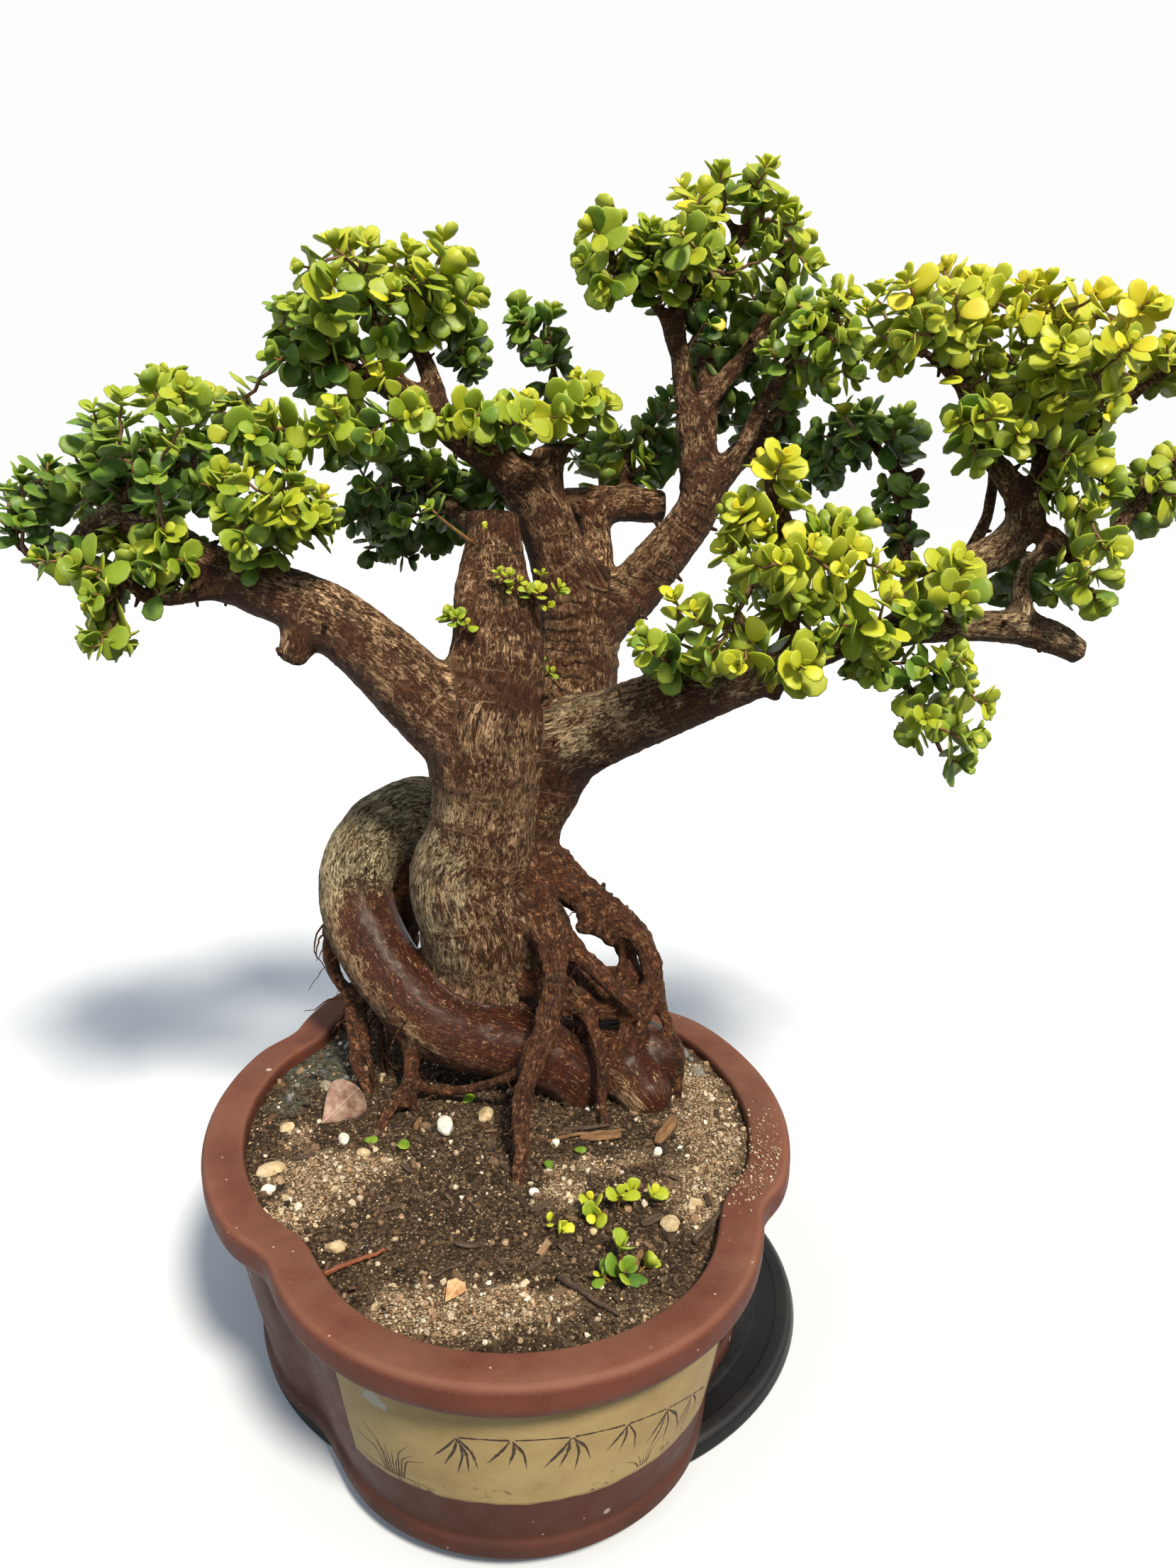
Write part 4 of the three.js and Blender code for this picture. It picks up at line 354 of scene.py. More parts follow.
def lobe_angles(n):
    t = np.linspace(0, 2 * np.pi, 7201)[:-1]
    r = outline(t, 10.0)
    x, y = r * np.cos(t), r * np.sin(t)
    d = np.hypot(np.diff(x, append=x[:1]), np.diff(y, append=y[:1]))
    g = np.unwrap(np.arctan2(np.diff(y, append=y[:1]), np.diff(x, append=x[:1])))
    bend = np.abs(np.diff(g, append=g[:1])); bend[bend > 1] = 0
    w = d + 26 * bend
    w = np.convolve(np.concatenate([w[-40:], w, w[:40]]), np.ones(81) / 81, "same")[40:-40]
    c = np.concatenate([[0], np.cumsum(w)])
    return np.interp(np.linspace(0, c[-1], n, endpoint=False), c, np.concatenate([t, [2 * np.pi]]))

# ------------------------------------------------------------------ clay
def clay_material():
    m, nt, bs = material("brown_clay"); n = N(nt); co = n.coords()
    big = n.noise(n.mapping(co, (9, 9, 14)), 1, 4, 0.6)
    mid = n.noise(n.mapping(co, (60, 60, 90)), 1, 5, 0.6)
    fine = n.noise(co, 900, 3, 0.6)
    base = n.mix(n.step(big, 0.35, 0.68), (0.098, 0.030, 0.019), (0.142, 0.044, 0.028))
    base = n.mix(n.math("MULTIPLY", n.step(mid, 0.45, 0.75), 0.45), base, (0.088, 0.028, 0.019))
    base = n.mix(n.math("MULTIPLY", n.step(fine, 0.42, 0.75), 0.25), base, (0.235, 0.090, 0.058))
    wear = n.sep(n.attr("wear").outputs["Color"])
    base = n.mix(n.math("MULTIPLY", n.step(n.sepxyz(co)[2], 0.122, 0.114), 0.62), base, (0.046, 0.0160, 0.0105))      # the wall below the lip is darker than the lip
    # fine pale dust on what faces up, and paler worn edges
    dust = n.math("MULTIPLY", wear[1], n.step(n.noise(n.mapping(co, (22, 22, 22)), 1, 6, 0.62), 0.3, 0.75))
    base = n.mix(n.math("MULTIPLY", dust, 0.42), base, (0.225, 0.118, 0.078))
    base = n.mix(n.math("MULTIPLY", wear[0], 0.5), base, (0.30, 0.130, 0.082))
    # pale specks and a few scuffs
    v = n.voronoi(co, 190, "F1", "Distance"); vc = n.sep(n.voronoi(co, 190, "F1", "Color"))
    speck = n.math("MULTIPLY", n.step(v, 0.16, 0.06), n.step(vc[0], 0.93, 0.95))
    v2 = n.voronoi(n.mapping(co, (60, 60, 60)), 1, "F1", "Distance"); vc2 = n.sep(n.voronoi(n.mapping(co, (60, 60, 60)), 1, "F1", "Color"))
    spot = n.math("MULTIPLY", n.step(v2, 0.15, 0.07), n.step(vc2[0], 0.955, 0.965))
    base = n.mix(n.math("MULTIPLY", speck, 0.8), base, (0.55, 0.42, 0.34))
    base = n.mix(n.math("MULTIPLY", spot, 0.8), base, (0.56, 0.47, 0.40))
    # dark noisy marks low on the wall, and painted shade in the crease under the lip, inside the pot and in the recess
    # under it
    stain_and_shade = n.math("MULTIPLY", wear[2], n.step(n.noise(n.mapping(co, (40, 40, 24)), 1, 6, 0.65), 0.35, 0.62))
    base = n.mix(n.math("MULTIPLY", stain_and_shade, 0.75), base, (0.030, 0.018, 0.014))
    n.link(base, bs.inputs["Base Color"])
    rgh = n.ramp(n.noise(n.mapping(co, (70, 70, 70)), 1, 4, 0.6), [(0.3, (0.50,) * 3), (0.7, (0.66,) * 3)])
    n.link(n.mix(dust, rgh, (0.82, 0.82, 0.82)), bs.inputs["Roughness"])
    bs.inputs["Specular IOR Level"].default_value = 0.22
    h = n.math("ADD", n.math("MULTIPLY", n.noise(co, 520, 4, 0.7), 0.5), n.math("MULTIPLY", n.noise(co, 120, 3, 0.6), 0.9))
    n.link(n.bump(h, 0.35, 0.0007), bs.inputs["Normal"])
    return m
def panel_material():
    m, nt, bs = material("cream_slip"); n = N(nt); co = n.coords()
    a = n.sep(n.attr("wear").outputs["Color"])
    cloud = n.noise(n.mapping(co, (16, 16, 22)), 1, 5, 0.62)
    base = n.ramp(cloud, [(0.30, (0.31, 0.210, 0.085)), (0.50, (0.42, 0.312, 0.140)), (0.72, (0.50, 0.390, 0.190))])
    fine = n.noise(n.mapping(co, (420, 420, 420)), 1, 3, 0.6)
    base = n.mix(n.math("MULTIPLY", n.step(fine, 0.5, 0.8), 0.3), base, (0.30, 0.20, 0.085))
    # scuffs that gather towards the lower edge and the ends
    sc = n.noise(n.mapping(co, (150, 150, 230)), 1, 6, 0.72)
    low = n.noise(n.mapping(co, (28, 28, 60)), 1, 4, 0.6)
    scuff = n.math("MULTIPLY", a[0], n.math("MULTIPLY", n.step(sc, 0.565, 0.60), n.step(low, 0.47, 0.58)))
    base = n.mix(n.math("MULTIPLY", scuff, 0.9), base, (0.075, 0.036, 0.022))
    base = n.mix(n.math("MULTIPLY", a[1], 0.55), base, (0.21, 0.115, 0.06))
    base = n.mix(a[2], base, (0.50, 0.47, 0.40))
    n.link(base, bs.inputs["Base Color"])
    n.link(n.ramp(cloud, [(0.3, (0.50,) * 3), (0.7, (0.62,) * 3)]), bs.inputs["Roughness"])
    bs.inputs["Specular IOR Level"].default_value = 0.28
    h = n.math("ADD", n.math("MULTIPLY", n.noise(co, 260, 4, 0.6), 0.7), n.math("MULTIPLY", scuff, -0.8))
    n.link(n.bump(h, 0.28, 0.0006), bs.inputs["Normal"])
    return m
def line_material():
    m, nt, bs = material("incised_line"); n = N(nt); co = n.coords()
    g = n.noise(n.mapping(co, (300, 300, 300)), 1, 5, 0.7)
    n.link(n.ramp(g, [(0.35, (0.020, 0.012, 0.009)), (0.6, (0.060, 0.030, 0.018)), (0.75, (0.19, 0.12, 0.055))]), bs.inputs["Base Color"])
    bs.inputs["Roughness"].default_value = 0.8
    n.link(n.bump(g, 0.5, 0.0006), bs.inputs["Normal"])
    return m
CLAY = clay_material(); SLIP = panel_material(); LINE = line_material()

# ------------------------------------------------------------------ pot
def make_pot():
    A = lobe_angles(440)
    corner = [(47, 4.0), (46, 0.15), (31, 0.1), (29.2, 2.6), (29.2, 9.4), (31.4, 12.6)]
    wall = even((31.4, 12.6), (13.8, 107.5), 12)
    corner += wall + [(13.9, 107.0), (10.6, 110.0), (3.4, 111.3), (0.2, 116.5), (0.1, 127.4), (2.7, 130.4), (14, 130.8), (23.4, 130.4), (25.5, 127.4), (25.6, 100), (33, 62), (42, 20), (47.5, 13)]
    rad = [0, 0.8, 1.6, 1.2, 1.6, 2.0] + [0] * len(wall) + [1.6, 2.0, 3.0, 3.6, 1.6, 2.2, 0, 1.8, 2.0, 4, 6, 5, 0]
    prof = fillet(corner, rad, 5)
    # the wall's slight belly between foot and lip
    zz = prof[:, 1]; outer = (np.arange(len(prof)) < len(prof) * 0.62) & (zz > 12.6) & (zz < 107.2)
    prof[outer, 0] -= 0.9 * np.sin(np.pi * (zz[outer] - 12.6) / 94.6)
    t = np.tile(A, len(prof)); ins = np.repeat(prof[:, 0], len(A)); z = np.repeat(prof[:, 1], len(A))
    R = outline(t, ins)
    x, y = R * np.cos(t), R * np.sin(t)
    # hand-made unevenness, under half a millimetre
    nz = fbm(np.stack([x / 70, y / 70, z / 45], 1), 3)
    R = R + 0.45 * nz; zl = z + 0.35 * fbm(np.stack([x / 60 + 9, y / 60, z / 60], 1), 2) * (z > 20)
    V = np.stack([R * np.cos(t), R * np.sin(t), zl + STAND_T], 1)
    F = grid_faces(len(prof), len(A))
    nrow = len(prof); nc = len(A)
    up = np.zeros(len(V)); edge = np.zeros(len(V)); low = np.zeros(len(V))
    zr = np.repeat(prof[:, 1], nc); ir = np.repeat(prof[:, 0], nc)
    up = smooth(127.5, 130.2, zr)
    edge = np.exp(-((ir - 2.6) / 2.4) ** 2) * smooth(126, 129.5, zr) * 0.55 + np.exp(-((ir - 24.2) / 1.8) ** 2) * smooth(127, 130, zr) * 0.5
    # third channel: darker low on the wall, and painted shade in the crease under the lip and inside the pot
    low = (1 - smooth(2, 26, zr)) * 0.7 + np.exp(-((zr - 109.5) / 2.2) ** 2) * 0.55
    inside = np.repeat(np.arange(nrow) > np.argmax(prof[:, 1] > 130.3) + 6, nc)
    low = np.where(inside, 0.35, low)
    # floor of the recess and of the inside, with two drain holes
    from mathutils.geometry import delaunay_2d_cdt
    def floor_fill(ring, z, flip, base):
        k = len(ring); pts = [Vector((p[0], p[1])) for p in ring[::4]]
        outer_n = len(pts); loops = [list(range(outer_n))]
        for sy in (-1, 1):
            s = len(pts)
            for i in range(32):
                a = 2 * math.pi * i / 32; pts.append(Vector((DRAIN_R * math.cos(a), sy * DRAIN_Y + DRAIN_R * math.sin(a))))
            loops.append(list(range(s, s + 32)))
        for gx in range(-110, 111, 22):
            for gy in range(-176, 177, 22):
                if field(np.array(gx), np.array(gy)) < -62 and min(abs(math.hypot(gx, gy - s * DRAIN_Y)) for s in (-1, 1)) > 20:
                    pts.append(Vector((gx, gy)))
        edges = [(l[i], l[(i + 1) % len(l)]) for l in loops for i in range(len(l))]
        vv, ee, ff, *_ = delaunay_2d_cdt(pts, edges, [], 0, 1e-4)
        vv = np.array([(p.x, p.y) for p in vv]); out = []
        for f in ff:
            c = vv[list(f)].mean(0)
            if min(math.hypot(c[0], c[1] - s * DRAIN_Y) for s in (-1, 1)) < DRAIN_R * 0.97: continue
            if field(c[0], c[1]) + 46.0 > 0: continue
            out.append(list(f)[::-1] if flip else list(f))
        return np.column_stack([vv, np.full(len(vv), z)]), np.array(out)
    ring_b = V[:nc, :2]; ring_t = V[-nc:, :2]
    vb, fb = floor_fill(ring_b, 4.0 + STAND_T, True, 0)
    vt, ft = floor_fill(ring_t, 13.0 + STAND_T, False, 0)
    vh, fh = [], []
    for sy in (-1, 1):
        a = np.linspace(0, 2 * np.pi, 33)[:-1]
        for zz2 in (4.0, 5.0, 12.2, 13.0):
            rr = DRAIN_R + (0.0)
            vh.append(np.stack([rr * np.cos(a), sy * DRAIN_Y + rr * np.sin(a), np.full(32, zz2 + STAND_T)], 1))
    vh = np.concatenate(vh)
    fh = np.concatenate([grid_faces(4, 32)[:, ::-1], grid_faces(4, 32)[:, ::-1] + 128])
    o1 = len(V); o2 = o1 + len(vb); o3 = o2 + len(vt)
    wear = np.stack([edge, up, low, np.ones(len(V))], 1)
    # painted panel on the front lobe: a skin 0.3 mm proud of the wall, ends and edges rounded down into it
    def wall_inset(z): return 31.4 + (13.8 - 31.4) * (z - 12.6) / 94.9 - 0.9 * math.sin(math.pi * (z - 12.6) / 94.6)
    U = np.linspace(-56.5, 58.0, 170); W = np.linspace(38.6, 103.8, 44)
    pv, pw = [], []
    for j, w in enumerate(W):
        for i, u in enumerate(U):
            e = min(i, len(U) - 1 - i, j, len(W) - 1 - j)
            jit = 0.35 * math.sin(u * 0.31) + 0.25 * math.sin(u * 0.83 + 2)
            lift = (-0.5, 0.16, 0.28)[e] if e < 3 else 0.3
            zz3 = w + (jit if j in (0, 1) else 0) + (0.25 * jit if j >= len(W) - 2 else 0)
            r = LOBE_R - wall_inset(zz3) + lift
            a = math.radians(u + 0.12 * math.sin(w * 0.4))
            pv.append((r * math.sin(a), -LOBE_C - r * math.cos(a), zz3 + STAND_T))
            lowness = 1 - smooth(44, 56, w) * 0.93
            endness = max(1 - smooth(0, 3.0, u + 56.5), 1 - smooth(0, 3.0, 58 - u)) * 0.6
            rim = 1.0 if e < 2 else 0.0
            chip = 1.0 if ((u + 41.5 + 0.25 * (w - 90)) / 3.6) ** 2 + ((w - 93 - 0.6 * math.sin(u)) / 4.2) ** 2 + 0.25 * math.sin(u * 2.1) * math.cos(w * 0.9) < 1 and e > 2 else 0.0
            pw.append((max(lowness, endness), rim * 0.9, chip, 1))
    pv = np.array(pv); pf = grid_faces(len(W), len(U), closed=False)
    o4 = o3 + len(vh)
    verts = np.concatenate([V, vb, vt, vh, pv])
    # the recess floor, the inside floor and the drain holes take 0.6 in the third channel: painted shade in these
    # hollows
    wear = np.concatenate([wear, np.tile([0, 0, 0.6, 1], (len(vb) + len(vt) + len(vh), 1)), np.array(pw)])
    faces = [F, fb + o1, ft + o2, fh + o3, pf + o4]
    fm = np.concatenate([np.zeros(len(F) + len(fb) + len(ft) + len(fh), int), np.ones(len(pf), int)])
    # incised bamboo and grass on the panel: tapered strokes that follow the wall
    sv, sf, so = [], [], len(verts)
    def stroke(pts, widths, lift=0.42):
        nonlocal sv, sf
        p = np.array(pts, float)
        d = np.concatenate([[0], np.cumsum(np.hypot(np.diff(p[:, 0]) * 2.1, np.diff(p[:, 1])))])
        k = max(6, int(d[-1] / 1.3)); s = np.linspace(0, d[-1], k)
        q = np.stack([np.interp(s, d, p[:, 0]), np.interp(s, d, p[:, 1])], 1)
        for _ in range(3):
            q[1:-1] = (q[:-2] + 2 * q[1:-1] + q[2:]) / 4
        wd = np.interp(s / d[-1], np.linspace(0, 1, len(widths)), widths) * (1 + 0.16 * rng.normal(size=k))
        t = np.gradient(q, axis=0) * np.array([2.1, 1.0]); t /= np.linalg.norm(t, axis=1)[:, None] + 1e-9
        nrm = np.stack([-t[:, 1] / 2.1, t[:, 0]], 1)
        base = len(sv)
        for side in (-1, 0, 1):
            e = q + nrm * (wd * 0.5 * side)[:, None]
            for i, (u, w) in enumerate(e):
                r = LOBE_R - wall_inset(w) + (lift if side == 0 else 0.22)
                a = math.radians(u); sv.append((r * math.sin(a), -LOBE_C - r * math.cos(a), w + STAND_T))
        for side in range(2):
            for i in range(k - 1):
                a = base + side * k + i; sf.append((a, a + 1, a + 1 + k, a + k))
    r2 = np.random.default_rng(5)
    def leaf(u, w, ang, ln, wd):
        a = math.radians(ang)
        mid = (u + ln * 0.5 * math.cos(a) / 2.1 - 0.05 * ln * math.sin(a), w + ln * 0.5 * math.sin(a) + 0.06 * ln)
        stroke([(u, w), mid, (u + ln * math.cos(a) / 2.1, w + ln * math.sin(a))], [wd * 0.3, wd, wd * 0.75, 0.1])
    # one long bamboo branch that comes in from the right and leans down to the left
    stem = [(52, 60), (44, 68), (33, 75.5), (20, 81), (6, 84.5), (-8, 86.5), (-21, 86)]
    for a, b in zip(stem[:-1], stem[1:]):
        g = 0.05
        stroke([(a[0] + (b[0] - a[0]) * g, a[1] + (b[1] - a[1]) * g), ((a[0] + b[0]) / 2, (a[1] + b[1]) / 2 + 0.5), (b[0] - (b[0] - a[0]) * g, b[1] - (b[1] - a[1]) * g)], [2.4, 1.5, 1.5, 2.4])
    for (u, w), n_, big in zip(stem[1:], (3, 4, 3, 4, 3, 5), (0.9, 1.15, 1.0, 1.2, 0.95, 1.15)):
        for k in range(n_):
            leaf(u + r2.uniform(-0.6, 0.6), w - 0.6, -90 - 92 * (k - (n_ - 1) / 2) / n_ + r2.uniform(-6, 6) - 8, r2.uniform(16, 24) * big, r2.uniform(2.3, 3.3))
    # a tuft of long grass low on the left, another small one on the right
    for k in range(9):
        u0 = -43 + 0.7 * k; lean = (k - 4) * 2.0 + r2.uniform(-1, 1); hgt = r2.uniform(16, 36)
        stroke([(u0, 44.0), (u0 + lean * 0.25, 44 + hgt * 0.55), (u0 + lean, 44 + hgt * (0.97 - 0.035 * abs(lean)))], [1.7, 1.3, 0.2])
    stroke([(-51, 45.0), (-43, 43.6), (-35, 44.6), (-28, 43.8)], [0.2, 1.5, 1.1, 0.1])
    for k in range(5):
        u0 = 26 + 0.7 * k; lean = (k - 2) * 2.2 + r2.uniform(-.6, .6); hgt = r2.uniform(8, 15)
        stroke([(u0, 43.4), (u0 + lean * 0.3, 43.4 + hgt * 0.6), (u0 + lean, 43.4 + hgt * 0.95)], [1.4, 1.0, 0.15])
    sv = np.array(sv); sf = np.array(sf) + so
    verts = np.concatenate([verts, sv]); wear = np.concatenate([wear, np.tile([0, 0, 0, 1], (len(sv), 1))])
    faces.append(sf); fm = np.concatenate([fm, np.full(len(sf), 2)])
    # faces of different kinds keep their order: fb and ft are triangles
    quads = np.concatenate([F, fh + o3, pf + o4, sf]); tris = np.concatenate([fb + o1, ft + o2])
    fmq = np.concatenate([np.zeros(len(F) + len(fh), int), np.ones(len(pf), int), np.full(len(sf), 2), np.zeros(len(tris), int)])
    ob = make_mesh("pot_body", verts, [quads, tris], (CLAY, SLIP, LINE), fmq, colors={"wear": wear})
    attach(ob, "root"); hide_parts("pot")
    return ob
POT = make_pot()
say("pot", len(POT.data.polygons))

# ------------------------------------------------------------------ stand
def stand_material():
    m, nt, bs = material("black_plastic_worn"); n = N(nt); co = n.coords()
    a = n.sep(n.attr("wear").outputs["Color"])
    dust = n.noise(n.mapping(co, (26, 26, 26)), 1, 7, 0.68)
    fine = n.noise(n.mapping(co, (800, 800, 800)), 1, 3, 0.6)
    d = n.math("MULTIPLY", a[0], n.step(dust, 0.36, 0.78))
    base = n.mix(n.math("MULTIPLY", d, 0.5), (0.0070, 0.0076, 0.0082), (0.040, 0.037, 0.033))
    scr = n.step(n.noise(n.mapping(co, (300, 300, 300)), 1, 5, 0.75, 1.2), 0.62, 0.70)
    base = n.mix(n.math("MULTIPLY", n.math("MULTIPLY", scr, a[0]), 0.42), base, (0.12, 0.115, 0.105))
    base = n.mix(n.math("MULTIPLY", a[1], 0.5), base, (0.045, 0.046, 0.048))
    n.link(base, bs.inputs["Base Color"])
    n.link(n.mix(d, (0.36, 0.36, 0.36), (0.7, 0.7, 0.7)), bs.inputs["Roughness"])
    bs.inputs["Specular IOR Level"].default_value = 0.25
    n.link(n.bump(n.math("ADD", fine, n.math("MULTIPLY", dust, 0.7)), 0.25, 0.0004), bs.inputs["Normal"])
    return m
def make_stand():
    pts = [(0.01, 0.9), (128, 0.9), (134, 0.15), (170, 0.0), (175.0, 0.2), (175.3, 1.8), (173.6, 6.6), (171.8, 8.2), (170.2, 9.0), (163.5, 9.0), (162.2, 8.3), (150, 8.3), (148.8, 9.0), (96, 9.0), (95, 8.5), (60, 8.5), (59, 9.0), (0.01, 9.0)]
    rad = [0, 0, 1, 1, 0.6, 0.6, 0.8, 0.9, 0.8, 0.5, 0.5, 0.5, 0.5, 0.4, 0.4, 0.4, 0.4, 0]
    prof = fillet(pts, rad, 4); n = 320
    a = np.linspace(0, 2 * np.pi, n + 1)[:-1]
    r = np.repeat(prof[:, 0], n); z = np.repeat(prof[:, 1], n); t = np.tile(a, len(prof))
    V = np.stack([STAND_AT[0] + r * np.cos(t), STAND_AT[1] + r * np.sin(t), z], 1)
    F = grid_faces(len(prof), n)
    wear = np.stack([smooth(8.0, 8.8, z), np.exp(-((r - 171.5) / 1.6) ** 2) * smooth(6.5, 8, z), 0 * z, 1 + 0 * z], 1)
    ob = make_mesh("stand_disc", V, [F], (stand_material(),), colors={"wear": wear})
    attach(ob, "root"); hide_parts("round_stand")
make_stand()
def mesh_material():
    m, nt, bs = material("screen_mesh"); n = N(nt); co = n.coords()
    n.link(n.ramp(n.noise(n.mapping(co, (500, 500, 500)), 1, 4, 0.6), [(0.3, (0.03, 0.03, 0.03)), (0.7, (0.08, 0.08, 0.075))]), bs.inputs["Base Color"])
    bs.inputs["Roughness"].default_value = 0.6
    n.link(n.bump(n.noise(co, 900, 3, 0.6), 0.2, 0.0003), bs.inputs["Normal"])
    return m
SCREEN = mesh_material()
for nm in ("drainage_screen_front", "drainage_screen_back"):
    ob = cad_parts[nm]
    for s in ob.material_slots: s.material = SCREEN
    if not ob.material_slots: ob.data.materials.append(SCREEN)
say("stand")
# ------------------------------------------------------------------ soil
SAND = [(-108, -50, 34, 30, 1.0), (-121, -76, 20, 26, 1.0), (-84, -46, 26, 16, 0.7), (-34, -178, 56, 19, 1.15), (-60, -165, 26, 14, 0.7), (104, -104, 24, 30, 0.85), (128, -48, 24, 44, 0.9), (136, 12, 20, 40, 0.95),
        (30, -84, 13, 24, 0.85), (54, -66, 22, 11, 0.75), (78, -62, 18, 12, 0.5), (118, -80, 24, 20, 0.8), (60, -196, 40, 12, 0.45), (118, 78, 34, 36, 0.6), (-130, -10, 14, 30, 0.45)]
MOSS = [(-118, 96, 34, 44, 1.0), (-100, 60, 26, 26, 0.8), (-135, 40, 20, 26, 0.6), (20, 190, 90, 30, 0.7)]
def patch_at(x, y, table):
    v = 0
    for cx, cy, rx, ry, w in table: v = np.maximum(v, w * np.exp(-(((x - cx) / rx) ** 2 + ((y - cy) / ry) ** 2)))
    return v
def sandiness(x, y):
    p = np.stack([x / 13, y / 13, 0 * x + 4], -1)
    return smooth(0.30, 0.78, patch_at(x, y, SAND) + 0.42 * fbm(p, 4) + 0.10)
def mossiness(x, y):
    return smooth(0.30, 0.62, patch_at(x, y, MOSS) + 0.25 * fbm(np.stack([x / 15, y / 15, 0 * x + 8], -1), 3))
def soil_height(x, y, fine=True):
    s = sandiness(x, y)
    h = soil_z(x, y) + 1.5 * fbm(np.stack([x / 24, y / 24, 0 * x + 1], -1), 3)
    if fine:
        rough = fbm(np.stack([x / 6.0, y / 6.0, 0 * x + 2], -1), 3) * 1.9 * (1 - 0.75 * s) + np.abs(noise3(np.stack([x / 2.7, y / 2.7, 0 * x + 5], -1))) * 1.5 * (1 - 0.6 * s)
        h = h + rough + 0.45 * s * noise3(np.stack([x / 1.9, y / 1.9, 0 * x + 3], -1)) + 0.7 * s
    edge = -(field(x, y) + 25.6)
    return h - 1.1 * np.exp(-edge / 5.0) * (1 - s)
def soil_material():
    m, nt, bs = material("potting_mix"); n = N(nt); co = n.coords()
    a = n.sep(n.attr("soil").outputs["Color"])
    wet = n.noise(n.mapping(co, (45, 45, 45)), 1, 5, 0.65); crumb = n.noise(n.mapping(co, (420, 420, 420)), 1, 6, 0.72)
    hum = n.ramp(crumb, [(0.36, (0.012, 0.0080, 0.0055)), (0.47, (0.060, 0.038, 0.023)), (0.57, (0.140, 0.092, 0.056)), (0.70, (0.36, 0.26, 0.165))])
    hum = n.mix(n.math("MULTIPLY", n.step(wet, 0.62, 0.38), 0.55), hum, (0.022, 0.015, 0.011))
    cell = n.sep(n.voronoi(n.mapping(co, (1000, 1000, 1000)), 0.72, "F1", "Color")); cd = n.voronoi(n.mapping(co, (1000, 1000, 1000)), 0.72, "F1", "Distance")
    sand = n.ramp(cell[0], [(0.0, (0.07, 0.040, 0.022)), (0.14, (0.22, 0.140, 0.075)), (0.34, (0.38, 0.265, 0.150)), (0.66, (0.52, 0.390, 0.240)), (0.92, (0.72, 0.60, 0.44))])
    sand = n.mix(n.step(cd, 0.36, 0.74), sand, (0.110, 0.070, 0.038))
    coarse = n.noise(n.mapping(co, (130, 130, 130)), 1, 5, 0.7); sand = n.mix(n.math("MULTIPLY", n.step(coarse, 0.50, 0.38), 0.45), sand, (0.10, 0.062, 0.036))
    spk = n.math("MULTIPLY", n.step(cell[1], 0.955, 0.965), n.step(cd, 0.5, 0.3)); sand = n.mix(spk, sand, (0.06, 0.045, 0.035))
    lite = n.math("MULTIPLY", n.step(cell[2], 0.80, 0.84), n.step(cd, 0.52, 0.30))
    hum = n.mix(n.math("MULTIPLY", lite, 0.75), hum, (0.50, 0.38, 0.24))
    base = n.mix(a[0], hum, sand)
    moss = n.ramp(crumb, [(0.35, (0.030, 0.033, 0.026)), (0.55, (0.115, 0.120, 0.090)), (0.72, (0.33, 0.32, 0.25))])
    base = n.mix(n.math("MULTIPLY", a[1], 0.85), base, moss)
    n.link(base, bs.inputs["Base Color"])
    bs.inputs["Roughness"].default_value = 0.95; bs.inputs["Specular IOR Level"].default_value = 0.08
    h = n.math("ADD", crumb, n.math("MULTIPLY", n.math("SUBTRACT", 0.6, cd), n.math("MULTIPLY", a[0], 0.8)))
    n.link(n.bump(h, 1.0, 0.0022), bs.inputs["Normal"])
    return m
def grain_material():
    m, nt, bs = material("grit"); n = N(nt); co = n.coords()
    c = n.attr("grit").outputs["Color"]; g = n.noise(n.mapping(co, (900, 900, 900)), 1, 4, 0.65)
    n.link(n.mix(n.step(g, 0.62, 0.35), c, n.mix(0.55, c, (0.03, 0.02, 0.013))), bs.inputs["Base Color"])
    bs.inputs["Roughness"].default_value = 0.8; bs.inputs["Specular IOR Level"].default_value = 0.3
    n.link(n.bump(g, 0.5, 0.0004), bs.inputs["Normal"])
    return m
SOIL = soil_material(); GRIT = grain_material()
ICO_V = None
def ico():
    global ICO_V, ICO_F
    if ICO_V is None:
        bm = bmesh.new(); bmesh.ops.create_icosphere(bm, subdivisions=1, radius=1)
        ICO_V = np.array([v.co[:] for v in bm.verts]); bm.verts.ensure_lookup_table(); ICO_F = np.array([[v.index for v in f.verts] for f in bm.faces]); bm.free()
    return ICO_V, ICO_F
def rot_all(n, r):
    q = r.normal(size=(n, 4)); q /= np.linalg.norm(q, axis=1)[:, None]; w, x, y, z = q.T
    return np.stack([np.stack([1 - 2 * (y * y + z * z), 2 * (x * y - z * w), 2 * (x * z + y * w)], -1), np.stack([2 * (x * y + z * w), 1 - 2 * (x * x + z * z), 2 * (y * z - x * w)], -1), np.stack([2 * (x * z - y * w), 2 * (y * z + x * w), 1 - 2 * (x * x + y * y)], -1)], 1)
CUBE_V = np.array([(x, y, z) for x in (-1, 1) for y in (-1, 1) for z in (-1, 1)], float)
CUBE_F = np.array([(0, 1, 3, 2), (4, 6, 7, 5), (0, 4, 5, 1), (2, 3, 7, 6), (0, 2, 6, 4), (1, 5, 7, 3)])
